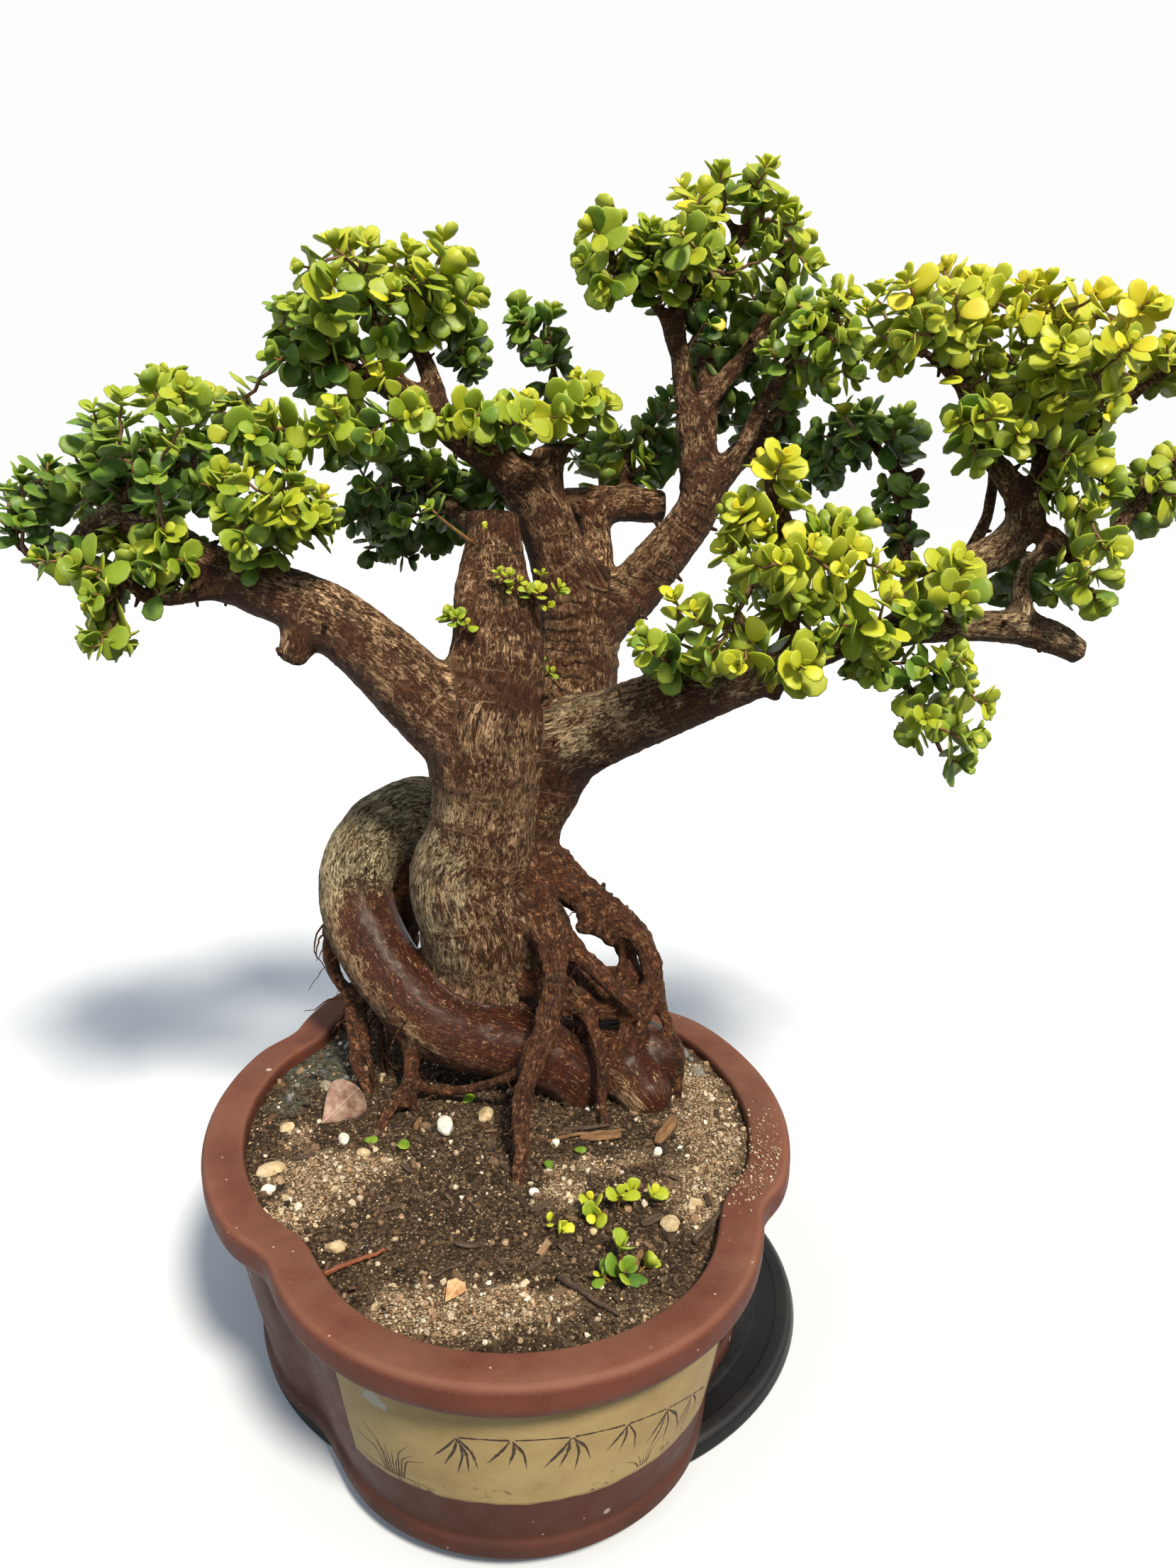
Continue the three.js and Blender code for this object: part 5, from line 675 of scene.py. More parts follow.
def make_soil():
    g = 1.8
    xs = np.arange(-172, 172.1, g); ys = np.arange(-232, 232.1, g)
    X, Y = np.meshgrid(xs, ys, indexing="ij"); X = X.ravel().copy(); Y = Y.ravel().copy(); nx, ny = len(xs), len(ys)
    f = field(X, Y) + 25.15
    keep = f < g * 0.75
    for _ in range(3):
        f = field(X, Y) + 25.15; e = 0.05
        gx = (field(X + e, Y) - field(X - e, Y)) / (2 * e); gy = (field(X, Y + e) - field(X, Y - e)) / (2 * e); l = gx * gx + gy * gy + 1e-9
        mv = keep & ((f > 0) | (f > -0.45 * g)); X[mv] -= (f * gx / l)[mv]; Y[mv] -= (f * gy / l)[mv]
    i = np.arange(nx - 1)[:, None]; j = np.arange(ny - 1)[None]; a = (i * ny + j).ravel(); Q = np.stack([a, a + ny, a + ny + 1, a + 1], 1)
    Q = Q[keep[Q].all(1)]
    used = np.unique(Q); mp = np.full(nx * ny, -1); mp[used] = np.arange(len(used)); Q = mp[Q]; X, Y = X[used], Y[used]
    Z = soil_height(X, Y); V = np.stack([X, Y, Z], 1)
    # skirt down the inside of the pot and a flat underside
    ed = np.concatenate([Q[:, [k, (k + 1) % 4]] for k in range(4)]); key = np.sort(ed, 1) @ np.array([len(V), 1]); _, inv, cnt = np.unique(key, return_inverse=True, return_counts=True)
    be = ed[cnt[inv] == 1]; nxt = dict(be.tolist()); st = be[0, 0]; loop = [st]
    while True:
        k = nxt[loop[-1]]
        if k == st or len(loop) > len(be): break
        loop.append(k)
    loop = np.array(loop); n0 = len(V); nl = len(loop); rings = [loop]
    t = np.arctan2(V[loop, 1], V[loop, 0])
    for ins, z in ((25.9, STAND_T + 100), (34, STAND_T + 58), (43.4, STAND_T + 17.0)):
        R = outline(t, ins); V = np.vstack([V, np.stack([R * np.cos(t), R * np.sin(t), np.full(nl, z)], 1)]); rings.append(np.arange(len(V) - nl, len(V)))
    side = []
    for r0, r1 in zip(rings[:-1], rings[1:]): side.append(np.stack([np.roll(r0, -1), r0, r1, np.roll(r1, -1)], 1))
    V = np.vstack([V, [0, 0, STAND_T + 17.0]]); c = len(V) - 1; last = rings[-1]; tri = np.stack([np.roll(last, -1), last, np.full(nl, c)], 1)
    s = sandiness(V[:, 0], V[:, 1]); mo = mossiness(V[:, 0], V[:, 1])
    ob = make_mesh("soil_bed", V, [np.concatenate([Q] + side), tri], (SOIL,), colors={"soil": np.stack([s, mo, 0 * s, 1 + 0 * s], 1)})
    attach(ob, "root"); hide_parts("soil")
    return ob
make_soil(); say("soil")

def scatter_grit():
    r = np.random.default_rng(31); iv, if_ = ico()
    def spots(n, weight):
        out = []
        while len(out) < n:
            x = r.uniform(-160, 160, 4000); y = r.uniform(-222, 222, 4000)
            ok = (field(x, y) < -26.8) & (r.random(4000) < weight(x, y)); out += list(zip(x[ok], y[ok]))
        return np.array(out[:n])
    VV, FF, CC, o = [], [], [], 0
    def put(n, weight, size, colors, jitter, shape, sink, kind="ico"):
        nonlocal o
        p = spots(n, weight); n = len(p); sz = r.uniform(size[0], size[1], n) * r.uniform(0.6, 1.0, n)
        R = rot_all(n, r); sc = sz[:, None] * r.uniform(shape[0], shape[1], (n, 3))
        base, fc = (iv, if_) if kind == "ico" else (CUBE_V, CUBE_F)
        if kind == "chip":
            sc = np.stack([sz, sz * r.uniform(0.16, 0.42, n), sz * r.uniform(0.05, 0.13, n)], 1)
            th = r.uniform(0, 2 * np.pi, n); ti = r.normal(size=n) * 0.22; c, s = np.cos(th), np.sin(th); z = 0 * c
            Rz = np.stack([np.stack([c, -s, z], -1), np.stack([s, c, z], -1), np.stack([z, z, z + 1], -1)], 1); c, s = np.cos(ti), np.sin(ti)
            Ry = np.stack([np.stack([c, z, s], -1), np.stack([z, z + 1, z], -1), np.stack([-s, z, c], -1)], 1); R = Rz @ Ry
        b = base[None] * (1 + 0.22 * r.normal(size=(n, len(base), 1)) * (1 if kind == "ico" else 0.6)) * sc[:, None]
        P = np.einsum("nij,nvj->nvi", R, b); h = soil_height(p[:, 0], p[:, 1])
        low = np.abs(P[..., 2]).max(1)
        P[..., 0] += p[:, 0:1]; P[..., 1] += p[:, 1:2]; P[..., 2] += (h + low * (1 - 2 * sink) * 0.7)[:, None]
        col = np.array(colors)[r.integers(len(colors), size=n)] * np.exp(jitter * r.normal(size=(n, 1)))
        VV.append(P.reshape(-1, 3)); FF.append((fc[None] + o + (np.arange(n) * len(base))[:, None, None]).reshape(-1, fc.shape[1])); CC.append(np.repeat(np.clip(np.column_stack([col, np.ones(n)]), 0, 1), len(base), 0)); o += n * len(base)
    sandc = [(0.42, 0.29, 0.16), (0.52, 0.38, 0.23), (0.62, 0.50, 0.35), (0.34, 0.21, 0.11), (0.70, 0.60, 0.46), (0.46, 0.30, 0.18), (0.24, 0.15, 0.09)]
    humc = [(0.045, 0.028, 0.017), (0.085, 0.052, 0.030), (0.15, 0.095, 0.055), (0.030, 0.021, 0.015), (0.12, 0.070, 0.036)]
    put(2300, lambda x, y: sandiness(x, y), (0.55, 1.25), sandc, 0.16, (0.7, 1.0), 0.35)
    put(900, lambda x, y: 0.25 + 0.5 * (1 - sandiness(x, y)), (0.6, 1.35), sandc, 0.2, (0.7, 1.0), 0.4)
    put(520, lambda x, y: 0.12 + 0.9 * sandiness(x, y) + 0.7 * np.exp(-((x + 118) / 26) ** 2 - ((y + 58) / 46) ** 2), (1.3, 3.4), [(0.56, 0.42, 0.27), (0.66, 0.53, 0.38), (0.44, 0.29, 0.17), (0.74, 0.64, 0.50), (0.34, 0.21, 0.12)], 0.16, (0.55, 1.0), 0.38)
    put(1250, lambda x, y: 1.02 - sandiness(x, y), (1.0, 3.0), humc, 0.25, (0.6, 1.0), 0.35)
    put(120, lambda x, y: 0.35 + 0.6 * sandiness(x, y), (1.3, 2.5), [(0.80, 0.72, 0.58), (0.86, 0.82, 0.74), (0.70, 0.50, 0.30), (0.42, 0.30, 0.19)], 0.12, (0.65, 1.0), 0.3)
    put(85, lambda x, y: np.exp(-((x - 128) / 22) ** 2 - ((y - 62) / 26) ** 2) + 0.5 * mossiness(x, y), (2.0, 4.2), [(0.19, 0.20, 0.20), (0.28, 0.29, 0.27), (0.12, 0.13, 0.13), (0.36, 0.31, 0.24), (0.60, 0.50, 0.36)], 0.15, (0.6, 1.0), 0.3)
    put(260, lambda x, y: 1.02 - sandiness(x, y), (2.2, 4.4), [(0.10, 0.062, 0.036), (0.17, 0.105, 0.062), (0.060, 0.040, 0.026), (0.26, 0.17, 0.10)], 0.22, (0.5, 1.0), 0.35)
    put(330, lambda x, y: 1.02 - 0.9 * sandiness(x, y), (2.0, 6.6), [(0.050, 0.028, 0.016), (0.085, 0.047, 0.025), (0.13, 0.074, 0.040), (0.030, 0.020, 0.014), (0.21, 0.13, 0.075)], 0.25, (1, 1), 0.15, kind="chip")
    tri = np.concatenate([f for f in FF if f.shape[1] == 3]); quad = np.concatenate([f for f in FF if f.shape[1] == 4])
    ob = make_mesh("grit_and_chips", np.concatenate(VV), [quad, tri], (GRIT,), smooth_shade=False, colors={"grit": np.concatenate(CC)})
    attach(ob, "root")
    # a little sand spilt on the rim at the right
    n = 260; th = r.normal(-30, 9, n); ins = r.uniform(6, 25, n); th = np.radians(th); R0 = outline(th, ins); n = len(R0)
    x, y = R0 * np.cos(th), R0 * np.sin(th); sz = r.uniform(0.4, 1.0, n)
    P = np.einsum("nij,nvj->nvi", rot_all(n, r), iv[None] * sz[:, None, None] * r.uniform(0.7, 1, (n, 1, 3)))
    P += np.stack([x, y, STAND_T + POT_H + 0.3 + 0.5 * sz], 1)[:, None]
    col = np.array(sandc)[r.integers(len(sandc), size=n)]
    ob = make_mesh("spilt_sand", P.reshape(-1, 3), [(if_[None] + (np.arange(n) * len(iv))[:, None, None]).reshape(-1, 3)], (GRIT,), smooth_shade=False, colors={"grit": np.repeat(np.column_stack([col, np.ones(n)]), len(iv), 0)})
    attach(ob, "root")
scatter_grit(); say("grit")
# ------------------------------------------------------------------ limbs
def catmull(P, step_of):
    P = np.asarray(P, float)
    if len(P) == 2: P = np.array([P[0], (P[0] + P[1]) / 2, P[1]])
    Q = np.vstack([2 * P[0] - P[1], P, 2 * P[-1] - P[-2]]); out = []
    for i in range(1, len(Q) - 2):
        p0, p1, p2, p3 = Q[i - 1], Q[i], Q[i + 1], Q[i + 2]
        a = max(np.linalg.norm((p1 - p0)[:3]), 1e-3) ** 0.5; b = max(np.linalg.norm((p2 - p1)[:3]), 1e-3) ** 0.5; c = max(np.linalg.norm((p3 - p2)[:3]), 1e-3) ** 0.5
        n = max(2, int(math.ceil(np.linalg.norm((p2 - p1)[:3]) / step_of(min(p1[3], p2[3])))))
        m1 = b * ((p1 - p0) / a - (p2 - p0) / (a + b) + (p2 - p1) / b)
        m2 = b * ((p2 - p1) / b - (p3 - p1) / (b + c) + (p3 - p2) / c)
        for k in range(n):
            t = k / n
            out.append((2 * t**3 - 3 * t**2 + 1) * p1 + (t**3 - 2 * t**2 + t) * m1 + (-2 * t**3 + 3 * t**2) * p2 + (t**3 - t**2) * m2)
    out.append(P[-1]); out = np.array(out); out[:, 3] = np.maximum(out[:, 3], 0.5)
    return out
def frames(P):
    T = np.gradient(P[:, :3], axis=0); T /= np.linalg.norm(T, axis=1)[:, None] + 1e-9
    n = np.cross(T[0], (0.31, 0.2, 0.93)); n /= np.linalg.norm(n); Ns = [n]
    for i in range(1, len(P)):
        n = Ns[-1] - T[i] * (Ns[-1] @ T[i]); n /= np.linalg.norm(n) + 1e-9; Ns.append(n)
    Ns = np.array(Ns); return T, Ns, np.cross(T, Ns)

# kind of bark: red, dark, grey, gloss, ring depth, ring pitch, fissure depth, lumps
KIND = {
    "trunk":   (0.24, 0.34, 0.16, 0.10, 0.75, 24, 0.55, 1.1),
    "stub":    (0.45, 0.38, 0.05, 0.15, 0.45, 19, 0.60, 1.3),
    "left":    (0.52, 0.16, 0.14, 0.32, 0.40, 27, 0.42, 0.9),
    "fold":    (0.34, 0.30, 0.08, 0.15, 1.50, 8.5, 0.30, 0.9),
    "b1":      (0.40, 0.45, 0.05, 0.15, 0.60, 17, 0.50, 0.9),
    "b2":      (0.50, 0.50, 0.12, 0.25, 0.85, 9, 0.35, 0.8),
    "right":   (0.22, 0.46, 0.48, 0.12, 0.45, 8, 0.45, 0.9),
    "curl":    (1.02, 0.20, 0.00, 0.95, 0.25, 38, 0.22, 1.0),
    "root":    (0.50, 1.10, 0.05, 0.30, 0.40, 9, 0.95, 1.1),
    "bough":   (0.38, 0.45, 0.15, 0.18, 0.50, 8, 0.35, 0.5),
    "twig":    (0.50, 0.45, 0.05, 0.22, 0.30, 5, 0.20, 0.2),
}
WRINKLE = {"fold": 1.0, "b2": 0.9, "trunk": 0.55, "left": 0.45, "stub": 0.45, "b1": 0.6, "right": 0.35, "curl": 0.0, "root": 0.30}
LIMB_KIND = {}
for _k in LIMBS:
    LIMB_KIND[_k] = "bough"
for _k, _v in dict(trunk="trunk", side_trunk="trunk", stub_centre="stub", stub_bump="stub", stub_ledge="stub", left_branch="left", left_knob="left", back_trunk="fold", b1="b1", b1_stub="b1",
                   b0="b1", b0_log="b1", b2="b2", right_branch="right", r_knob="right", k="right", k6="right", curved_root="curl", bulge_r="curl", bulge_b="curl").items():
    LIMB_KIND[_k] = _v
for _k in ("arch", "arch_in", "arch_nub", "mid_root", "front_root", "root_cross", "fork_root", "fork_root_b", "hang1", "hang2", "hang3", "thin_r1", "thin_r2",
           "arch_swell", "arch_nub2", "arch_nub3", "mid_root_b", "tangle1", "tangle2", "tangle3", "tangle4", "low_root1", "low_root2", "back_root1", "back_root2", "back_root3"):
    LIMB_KIND[_k] = "root"
CUT = {"left_knob": 0.3, "stub_centre": 0.25, "b1_stub": 0.3, "b0_log": 0.2, "dark_stub": 0.35, "r_knob": 0.3, "k6": 0.3, "k7": 0.3, "right_branch": 0.45, "back_right_stub": 0.3, "arch_nub": 0.3, "arch_nub2": 0.3, "arch_nub3": 0.35, "stub_ledge": 0.5}
R_MIN = 2.3; WOOD_TRIS = 192000
class Limb: pass
def build_limbs():
    out = []
    for name, pts in LIMBS.items():
        P = catmull(pts, lambda r: min(6.0, max(2.2, 0.42 * r)))
        # natural unevenness of the thickness along the limb
        s = np.concatenate([[0], np.cumsum(np.linalg.norm(np.diff(P[:, :3], axis=0), axis=1))])
        h = (abs(hash_name(name)) % 97) * 1.7
        w = noise3(np.stack([s / 23.0 + h, 0 * s + 0.3, 0 * s], 1))
        P[:, 3] *= 1 + (0.085 if P[:, 3].mean() < 12 else 0.045) * w
        if LIMB_KIND[name] in ("bough", "root"):
            j = np.stack([noise3(np.stack([s / 16.0 + h + 31 * k, 0 * s, 0 * s + 0.7], 1)) for k in range(3)], 1)
            fade = np.minimum(1, s / 20)[:, None]
            P[:, :3] += j * np.minimum(1.9, 0.40 * P[:, 3:4]) * fade
        L = Limb(); L.name = name; L.P = P; L.s = s; L.T, L.N, L.B = frames(P); L.kind = LIMB_KIND[name]; L.i = len(out)
        L.cut = CUT.get(name)
        out.append(L)
    return out
def hash_name(s):
    v = 7
    for c in s: v = (v * 31 + ord(c)) % 100003
    return v
def seg_distance(p, a, b, ra, rb):
    ba = b - a; q = p - a
    h = np.clip((q @ ba) / max(ba @ ba, 1e-9), 0, 1)
    return np.linalg.norm(q - h[..., None] * ba, axis=-1) - (ra + (rb - ra) * h), h
LIMB = build_limbs()
PITCH = 2.0
KB = 3.0
def wood_field():
    lo = np.min([L.P[:, :3].min(0) for L in LIMB], 0) - 44; hi = np.max([L.P[:, :3].max(0) for L in LIMB], 0) + 44
    n = np.ceil((hi - lo) / PITCH).astype(int) + 1
    S = np.zeros(n, np.float32)
    for L in LIMB:
        P = L.P[L.P[:, 3] >= R_MIN]
        if len(P) < 2: continue
        pad = P[:, 3].max() + 11
        a = np.maximum(np.floor((P[:, :3].min(0) - pad - lo) / PITCH).astype(int), 0)
        b = np.minimum(np.ceil((P[:, :3].max(0) + pad - lo) / PITCH).astype(int) + 1, n)
        D = np.full(b - a, 60.0, np.float32)
        for i in range(len(P) - 1):
            r = max(P[i, 3], P[i + 1, 3]) + 11
            s0 = np.maximum(np.floor((np.minimum(P[i, :3], P[i + 1, :3]) - r - lo) / PITCH).astype(int), a)
            s1 = np.minimum(np.ceil((np.maximum(P[i, :3], P[i + 1, :3]) + r - lo) / PITCH).astype(int) + 1, b)
            ax = [lo[k] + PITCH * np.arange(s0[k], s1[k]) for k in range(3)]
            A, B = P[i, :3], P[i + 1, :3]; ba = B - A; bb = max(ba @ ba, 1e-9)
            X = (ax[0] - A[0])[:, None, None]; Y = (ax[1] - A[1])[None, :, None]; Z = (ax[2] - A[2])[None, None, :]
            h = np.clip((X * ba[0] + Y * ba[1] + Z * ba[2]) / bb, 0, 1)
            d = np.sqrt((X - h * ba[0]) ** 2 + (Y - h * ba[1]) ** 2 + (Z - h * ba[2]) ** 2) - (P[i, 3] + (P[i + 1, 3] - P[i, 3]) * h)
            v = D[s0[0] - a[0]:s1[0] - a[0], s0[1] - a[1]:s1[1] - a[1], s0[2] - a[2]:s1[2] - a[2]]
            np.minimum(v, d, out=v)
        if L.cut is not None:
            e = P[-1, :3]; t = L.T[len(P) - 1]; t = t / np.linalg.norm(t)
            ax = [lo[k] + PITCH * np.arange(a[k], b[k]) for k in range(3)]
            pl = ((ax[0] - e[0]) * t[0])[:, None, None] + ((ax[1] - e[1]) * t[1])[None, :, None] + ((ax[2] - e[2]) * t[2])[None, None, :] - L.cut * P[-1, 3]
            near = D < 30
            cutd = 0.5 * (D + pl + np.sqrt((D - pl) ** 2 + 2.0))
            far = (((ax[0] - e[0]) ** 2)[:, None, None] + ((ax[1] - e[1]) ** 2)[None, :, None] + ((ax[2] - e[2]) ** 2)[None, None, :]) > (3.0 * P[-1, 3] + 6) ** 2
            D = np.where(far | ~near, D, cutd).astype(np.float32)
        S[a[0]:b[0], a[1]:b[1], a[2]:b[2]] += np.exp(np.clip(-D / KB, -30, 24))
    F = np.where(S > 1e-6, -KB * np.log(np.maximum(S, 1e-6)), 30.0).astype(np.float32)
    ax = [lo[k] + PITCH * np.arange(n[k]) for k in range(3)]
    kz = int((150 - lo[2]) / PITCH)          # nothing is kept deep under the soil
    under = (soil_z(ax[0][:, None], ax[1][None, :]) - 7.0)[:, :, None] - ax[2][None, None, :kz]
    F[:, :, :kz] = np.maximum(F[:, :, :kz], under)
    return lo, F
def surface_nets(lo, F, pitch):
    """quads round the zero level of a grid of distances"""
    inside = F < 0
    c = np.zeros(tuple(np.array(F.shape) - 1), np.uint8)
    for dx in (0, 1):
        for dy in (0, 1):
            for dz in (0, 1):
                c += inside[dx:F.shape[0] - 1 + dx, dy:F.shape[1] - 1 + dy, dz:F.shape[2] - 1 + dz]
    cells = np.argwhere((c > 0) & (c < 8)); idx = np.full(c.shape, -1, np.int32); idx[tuple(cells.T)] = np.arange(len(cells))
    cr = np.array([(x, y, z) for x in (0, 1) for y in (0, 1) for z in (0, 1)])
    v = np.stack([F[tuple((cells + o).T)] for o in cr], 1)
    acc = np.zeros((len(cells), 3)); cnt = np.zeros(len(cells))
    for i in range(8):
        for j in range(i + 1, 8):
            if np.abs(cr[i] - cr[j]).sum() != 1: continue
            m = (v[:, i] < 0) != (v[:, j] < 0); t = np.where(m, v[:, i] / np.where(m, v[:, i] - v[:, j], 1), 0)
            acc += m[:, None] * (cr[i] + t[:, None] * (cr[j] - cr[i])); cnt += m
    V = lo + pitch * (cells + acc / cnt[:, None])
    quads = []
    for ax in range(3):
        sl0 = [slice(None)] * 3; sl1 = [slice(None)] * 3; sl0[ax] = slice(0, -1); sl1[ax] = slice(1, None)
        a, b = inside[tuple(sl0)], inside[tuple(sl1)]
        e = np.argwhere(a != b); u, w = (ax + 1) % 3, (ax + 2) % 3
        e = e[(e[:, u] > 0) & (e[:, w] > 0) & (e[:, u] < F.shape[u] - 1) & (e[:, w] < F.shape[w] - 1)]
        flip = inside[tuple(e.T)]
        q = []
        for du, dw in ((-1, -1), (0, -1), (0, 0), (-1, 0)):
            o = e.copy(); o[:, u] += du; o[:, w] += dw; q.append(idx[tuple(o.T)])
        q = np.stack(q, 1); q[~flip] = q[~flip][:, ::-1]; quads.append(q)
    return V, np.concatenate(quads)
def vertex_normals(V, Q):
    n = np.cross(V[Q[:, 2]] - V[Q[:, 0]], V[Q[:, 3]] - V[Q[:, 1]]); out = np.zeros_like(V)
    for k in range(4):
        for c in range(3): out[:, c] += np.bincount(Q[:, k], n[:, c], len(V))
    return out / (np.linalg.norm(out, axis=1)[:, None] + 1e-12)
def limb_coords(V):
    """nearest limb of each vertex: index, arc length, angle, radius there, and how far ahead of the next limb it is"""
    best = np.full(len(V), 1e9); second = np.full(len(V), 1e9); li = np.zeros(len(V), int); ls = np.zeros(len(V)); lt = np.zeros(len(V)); lr = np.ones(len(V))
    for L in LIMB:
        P = L.P; pad = P[:, 3].max() + 10
        m = np.where(np.all((V > P[:, :3].min(0) - pad) & (V < P[:, :3].max(0) + pad), 1))[0]
        if len(m) == 0: continue
        p = V[m]; d = np.full(len(m), 1e9); seg = np.zeros(len(m), int); hh = np.zeros(len(m))
        for i in range(len(P) - 1):
            r = max(P[i, 3], P[i + 1, 3]) + 12
            k = np.where(np.all(np.abs(p - (P[i, :3] + P[i + 1, :3]) / 2) < r + 5, 1))[0]
            if len(k) == 0: continue
            dd, h = seg_distance(p[k], P[i, :3], P[i + 1, :3], P[i, 3], P[i + 1, 3])
            w = dd < d[k]; kk = k[w]; d[kk] = dd[w]; seg[kk] = i; hh[kk] = h[w]
        c = P[seg] + (P[seg + 1] - P[seg]) * hh[:, None]; q = p - c[:, :3]
        Nn = L.N[seg]; Bb = L.B[seg]
        th = np.arctan2((q * Bb).sum(1), (q * Nn).sum(1)); s = L.s[seg] + (L.s[seg + 1] - L.s[seg]) * hh
        w = d < best[m]; mm = m[w]; second[mm] = best[mm]; best[mm] = d[w]; li[mm] = L.i; ls[mm] = s[w]; lt[mm] = th[w]; lr[mm] = c[w, 3]
        w2 = ~w & (d < second[m]); second[m[w2]] = d[w2]
    return li, ls, lt, lr, second - best
def calm(X, Q, same, times):
    """evens a value out over the mesh, only between corners of the same limb"""
    e0 = np.concatenate([Q[:, k] for k in range(4)]); e1 = np.concatenate([Q[:, (k + 1) % 4] for k in range(4)])
    m = same[e0] == same[e1]; e0, e1 = e0[m], e1[m]; n = len(X); deg = np.maximum(np.bincount(e0, minlength=n) + np.bincount(e1, minlength=n), 1)
    for _ in range(times):
        a = np.stack([np.bincount(e0, X[e1, k], n) + np.bincount(e1, X[e0, k], n) for k in range(3)], 1); X = 0.35 * X + 0.65 * a / deg[:, None]
    return X
def gauss(V, c, r): return np.exp(-(((V - np.array(c)) / np.array(r)) ** 2).sum(1))

def bark_material():
    m, nt, bs = material("bark"); n = N(nt)
    bk = n.attr("bark").outputs["Vector"]; co = n.coords()
    at = n.attr("tone"); a = n.sep(at.outputs["Color"]); gloss = at.outputs["Alpha"]
    at2 = n.attr("marks"); g = n.sep(at2.outputs["Color"]); wr = at2.outputs["Alpha"]          # ring lines, cracks, cut faces
    warp = n.noise(n.mapping(co, (70, 70, 70)), 1, 3, 0.6)
    fib = n.noise(n.mapping(bk, (460, 460, 120)), 1, 9, 0.78, 1.5)            # fibres along the limb
    fib2 = n.noise(n.mapping(bk, (1500, 1500, 420), (3, 1, 2)), 1, 5, 0.72, 1.0)
    chip = n.noise(n.mapping(bk, (215, 215, 140), (4, 4, 1)), 1, 8, 0.76, 2.0)   # small curled flakes
    patch = n.noise(n.mapping(bk, (95, 95, 62), (5, 2, 9)), 1, 8, 0.72, 0.8)
    band = n.noise(n.mapping(bk, (16, 16, 95), (1, 7, 3)), 1, 5, 0.65, 0.4)
    cloud = n.noise(n.mapping(co, (17, 17, 17)), 1, 3, 0.5)
    # layers: dark heart-wood, red skin, tan fibrous outer skin, grey weathering
    dark = (0.012, 0.0062, 0.0040); brown = (0.175, 0.074, 0.033); red = (0.275, 0.092, 0.042); deep = (0.082, 0.0165, 0.0060)
    tan = (0.46, 0.235, 0.115); pale = (0.90, 0.600, 0.360); grey = (0.310, 0.255, 0.135); ash = (0.84, 0.700, 0.440)
    rough = n.math("ADD", n.math("MULTIPLY", fib, 0.62), n.math("ADD", n.math("MULTIPLY", fib2, 0.28), n.math("MULTIPLY", chip, 0.34)))   # mean 0.62
    under = n.mix(n.step(patch, 0.36, 0.66), brown, red)
    under = n.mix(n.math("MULTIPLY", gloss, n.step(n.noise(n.mapping(bk, (40, 40, 17), (2, 2, 5)), 1, 4, 0.6), 0.12, 0.40)), under, deep)
    under = n.mix(n.math("MULTIPLY", n.step(rough, 0.618, 0.566), n.math("SUBTRACT", 0.90, n.math("MULTIPLY", gloss, 0.62))), under, dark)
    under = n.mix(n.math("MULTIPLY", n.step(rough, 0.650, 0.700), n.math("SUBTRACT", 0.78, n.math("MULTIPLY", gloss, 0.55))), under, tan)
    skin = n.mix(n.step(rough, 0.595, 0.625), n.mix(0.60, tan, brown), tan)
    skin = n.mix(n.step(rough, 0.640, 0.685), skin, pale)
    skin = n.mix(n.math("MULTIPLY", n.step(cloud, 0.38, 0.66), 0.55), skin, n.mix(0.5, tan, brown))
    gr = n.mix(n.step(rough, 0.590, 0.680), grey, ash)
    skin = n.mix(n.math("MULTIPLY", a[2], n.step(n.math("ADD", patch, n.math("MULTIPLY", chip, 0.3)), 0.42, 0.72)), skin, gr)
    skin = n.mix(n.math("MULTIPLY", n.step(rough, 0.606, 0.572), 0.95), skin, (0.022, 0.0100, 0.0055))
    # how much outer skin is left: less where red or dark, broken into fibres
    cover = n.math("ADD", n.math("MULTIPLY", patch, 0.55), n.math("MULTIPLY", chip, 0.70))
    cover = n.math("ADD", cover, n.math("MULTIPLY", fib, 0.50))
    cover = n.math("ADD", cover, n.math("MULTIPLY", n.math("SUBTRACT", band, 0.5), 0.55))
    lim = n.math("ADD", n.math("MULTIPLY", a[0], 0.34), n.math("MULTIPLY", a[1], 0.16))
    lim = n.math("ADD", n.math("ADD", lim, n.math("MULTIPLY", gloss, 0.05)), 0.655)
    cov = n.math("SUBTRACT", cover, lim)
    mask = n.step(cov, -0.03, 0.09)
    mott = n.noise(n.mapping(bk, (130, 130, 52), (3, 6, 8)), 1, 4, 0.62, 1.2)
    base = n.mix(mask, under, skin)
    base = n.mix(n.math("MULTIPLY", n.step(mott, 0.50, 0.36), n.math("ADD", 0.42, n.math("MULTIPLY", gloss, 0.3))), base, (0.042, 0.0175, 0.0090))
    base = n.mix(n.math("MULTIPLY", n.math("MULTIPLY", n.step(mott, 0.56, 0.68), 0.26), mask), base, pale)
    # the tone's dark channel: dark bark, and with it the painted shade set on creases, undersides and tucked-in limbs
    base = n.mix(n.math("MULTIPLY", n.math("MULTIPLY", a[1], n.step(n.math("ADD", fib2, n.math("MULTIPLY", patch, 0.5)), 0.80, 0.60)), 0.70), base, dark)
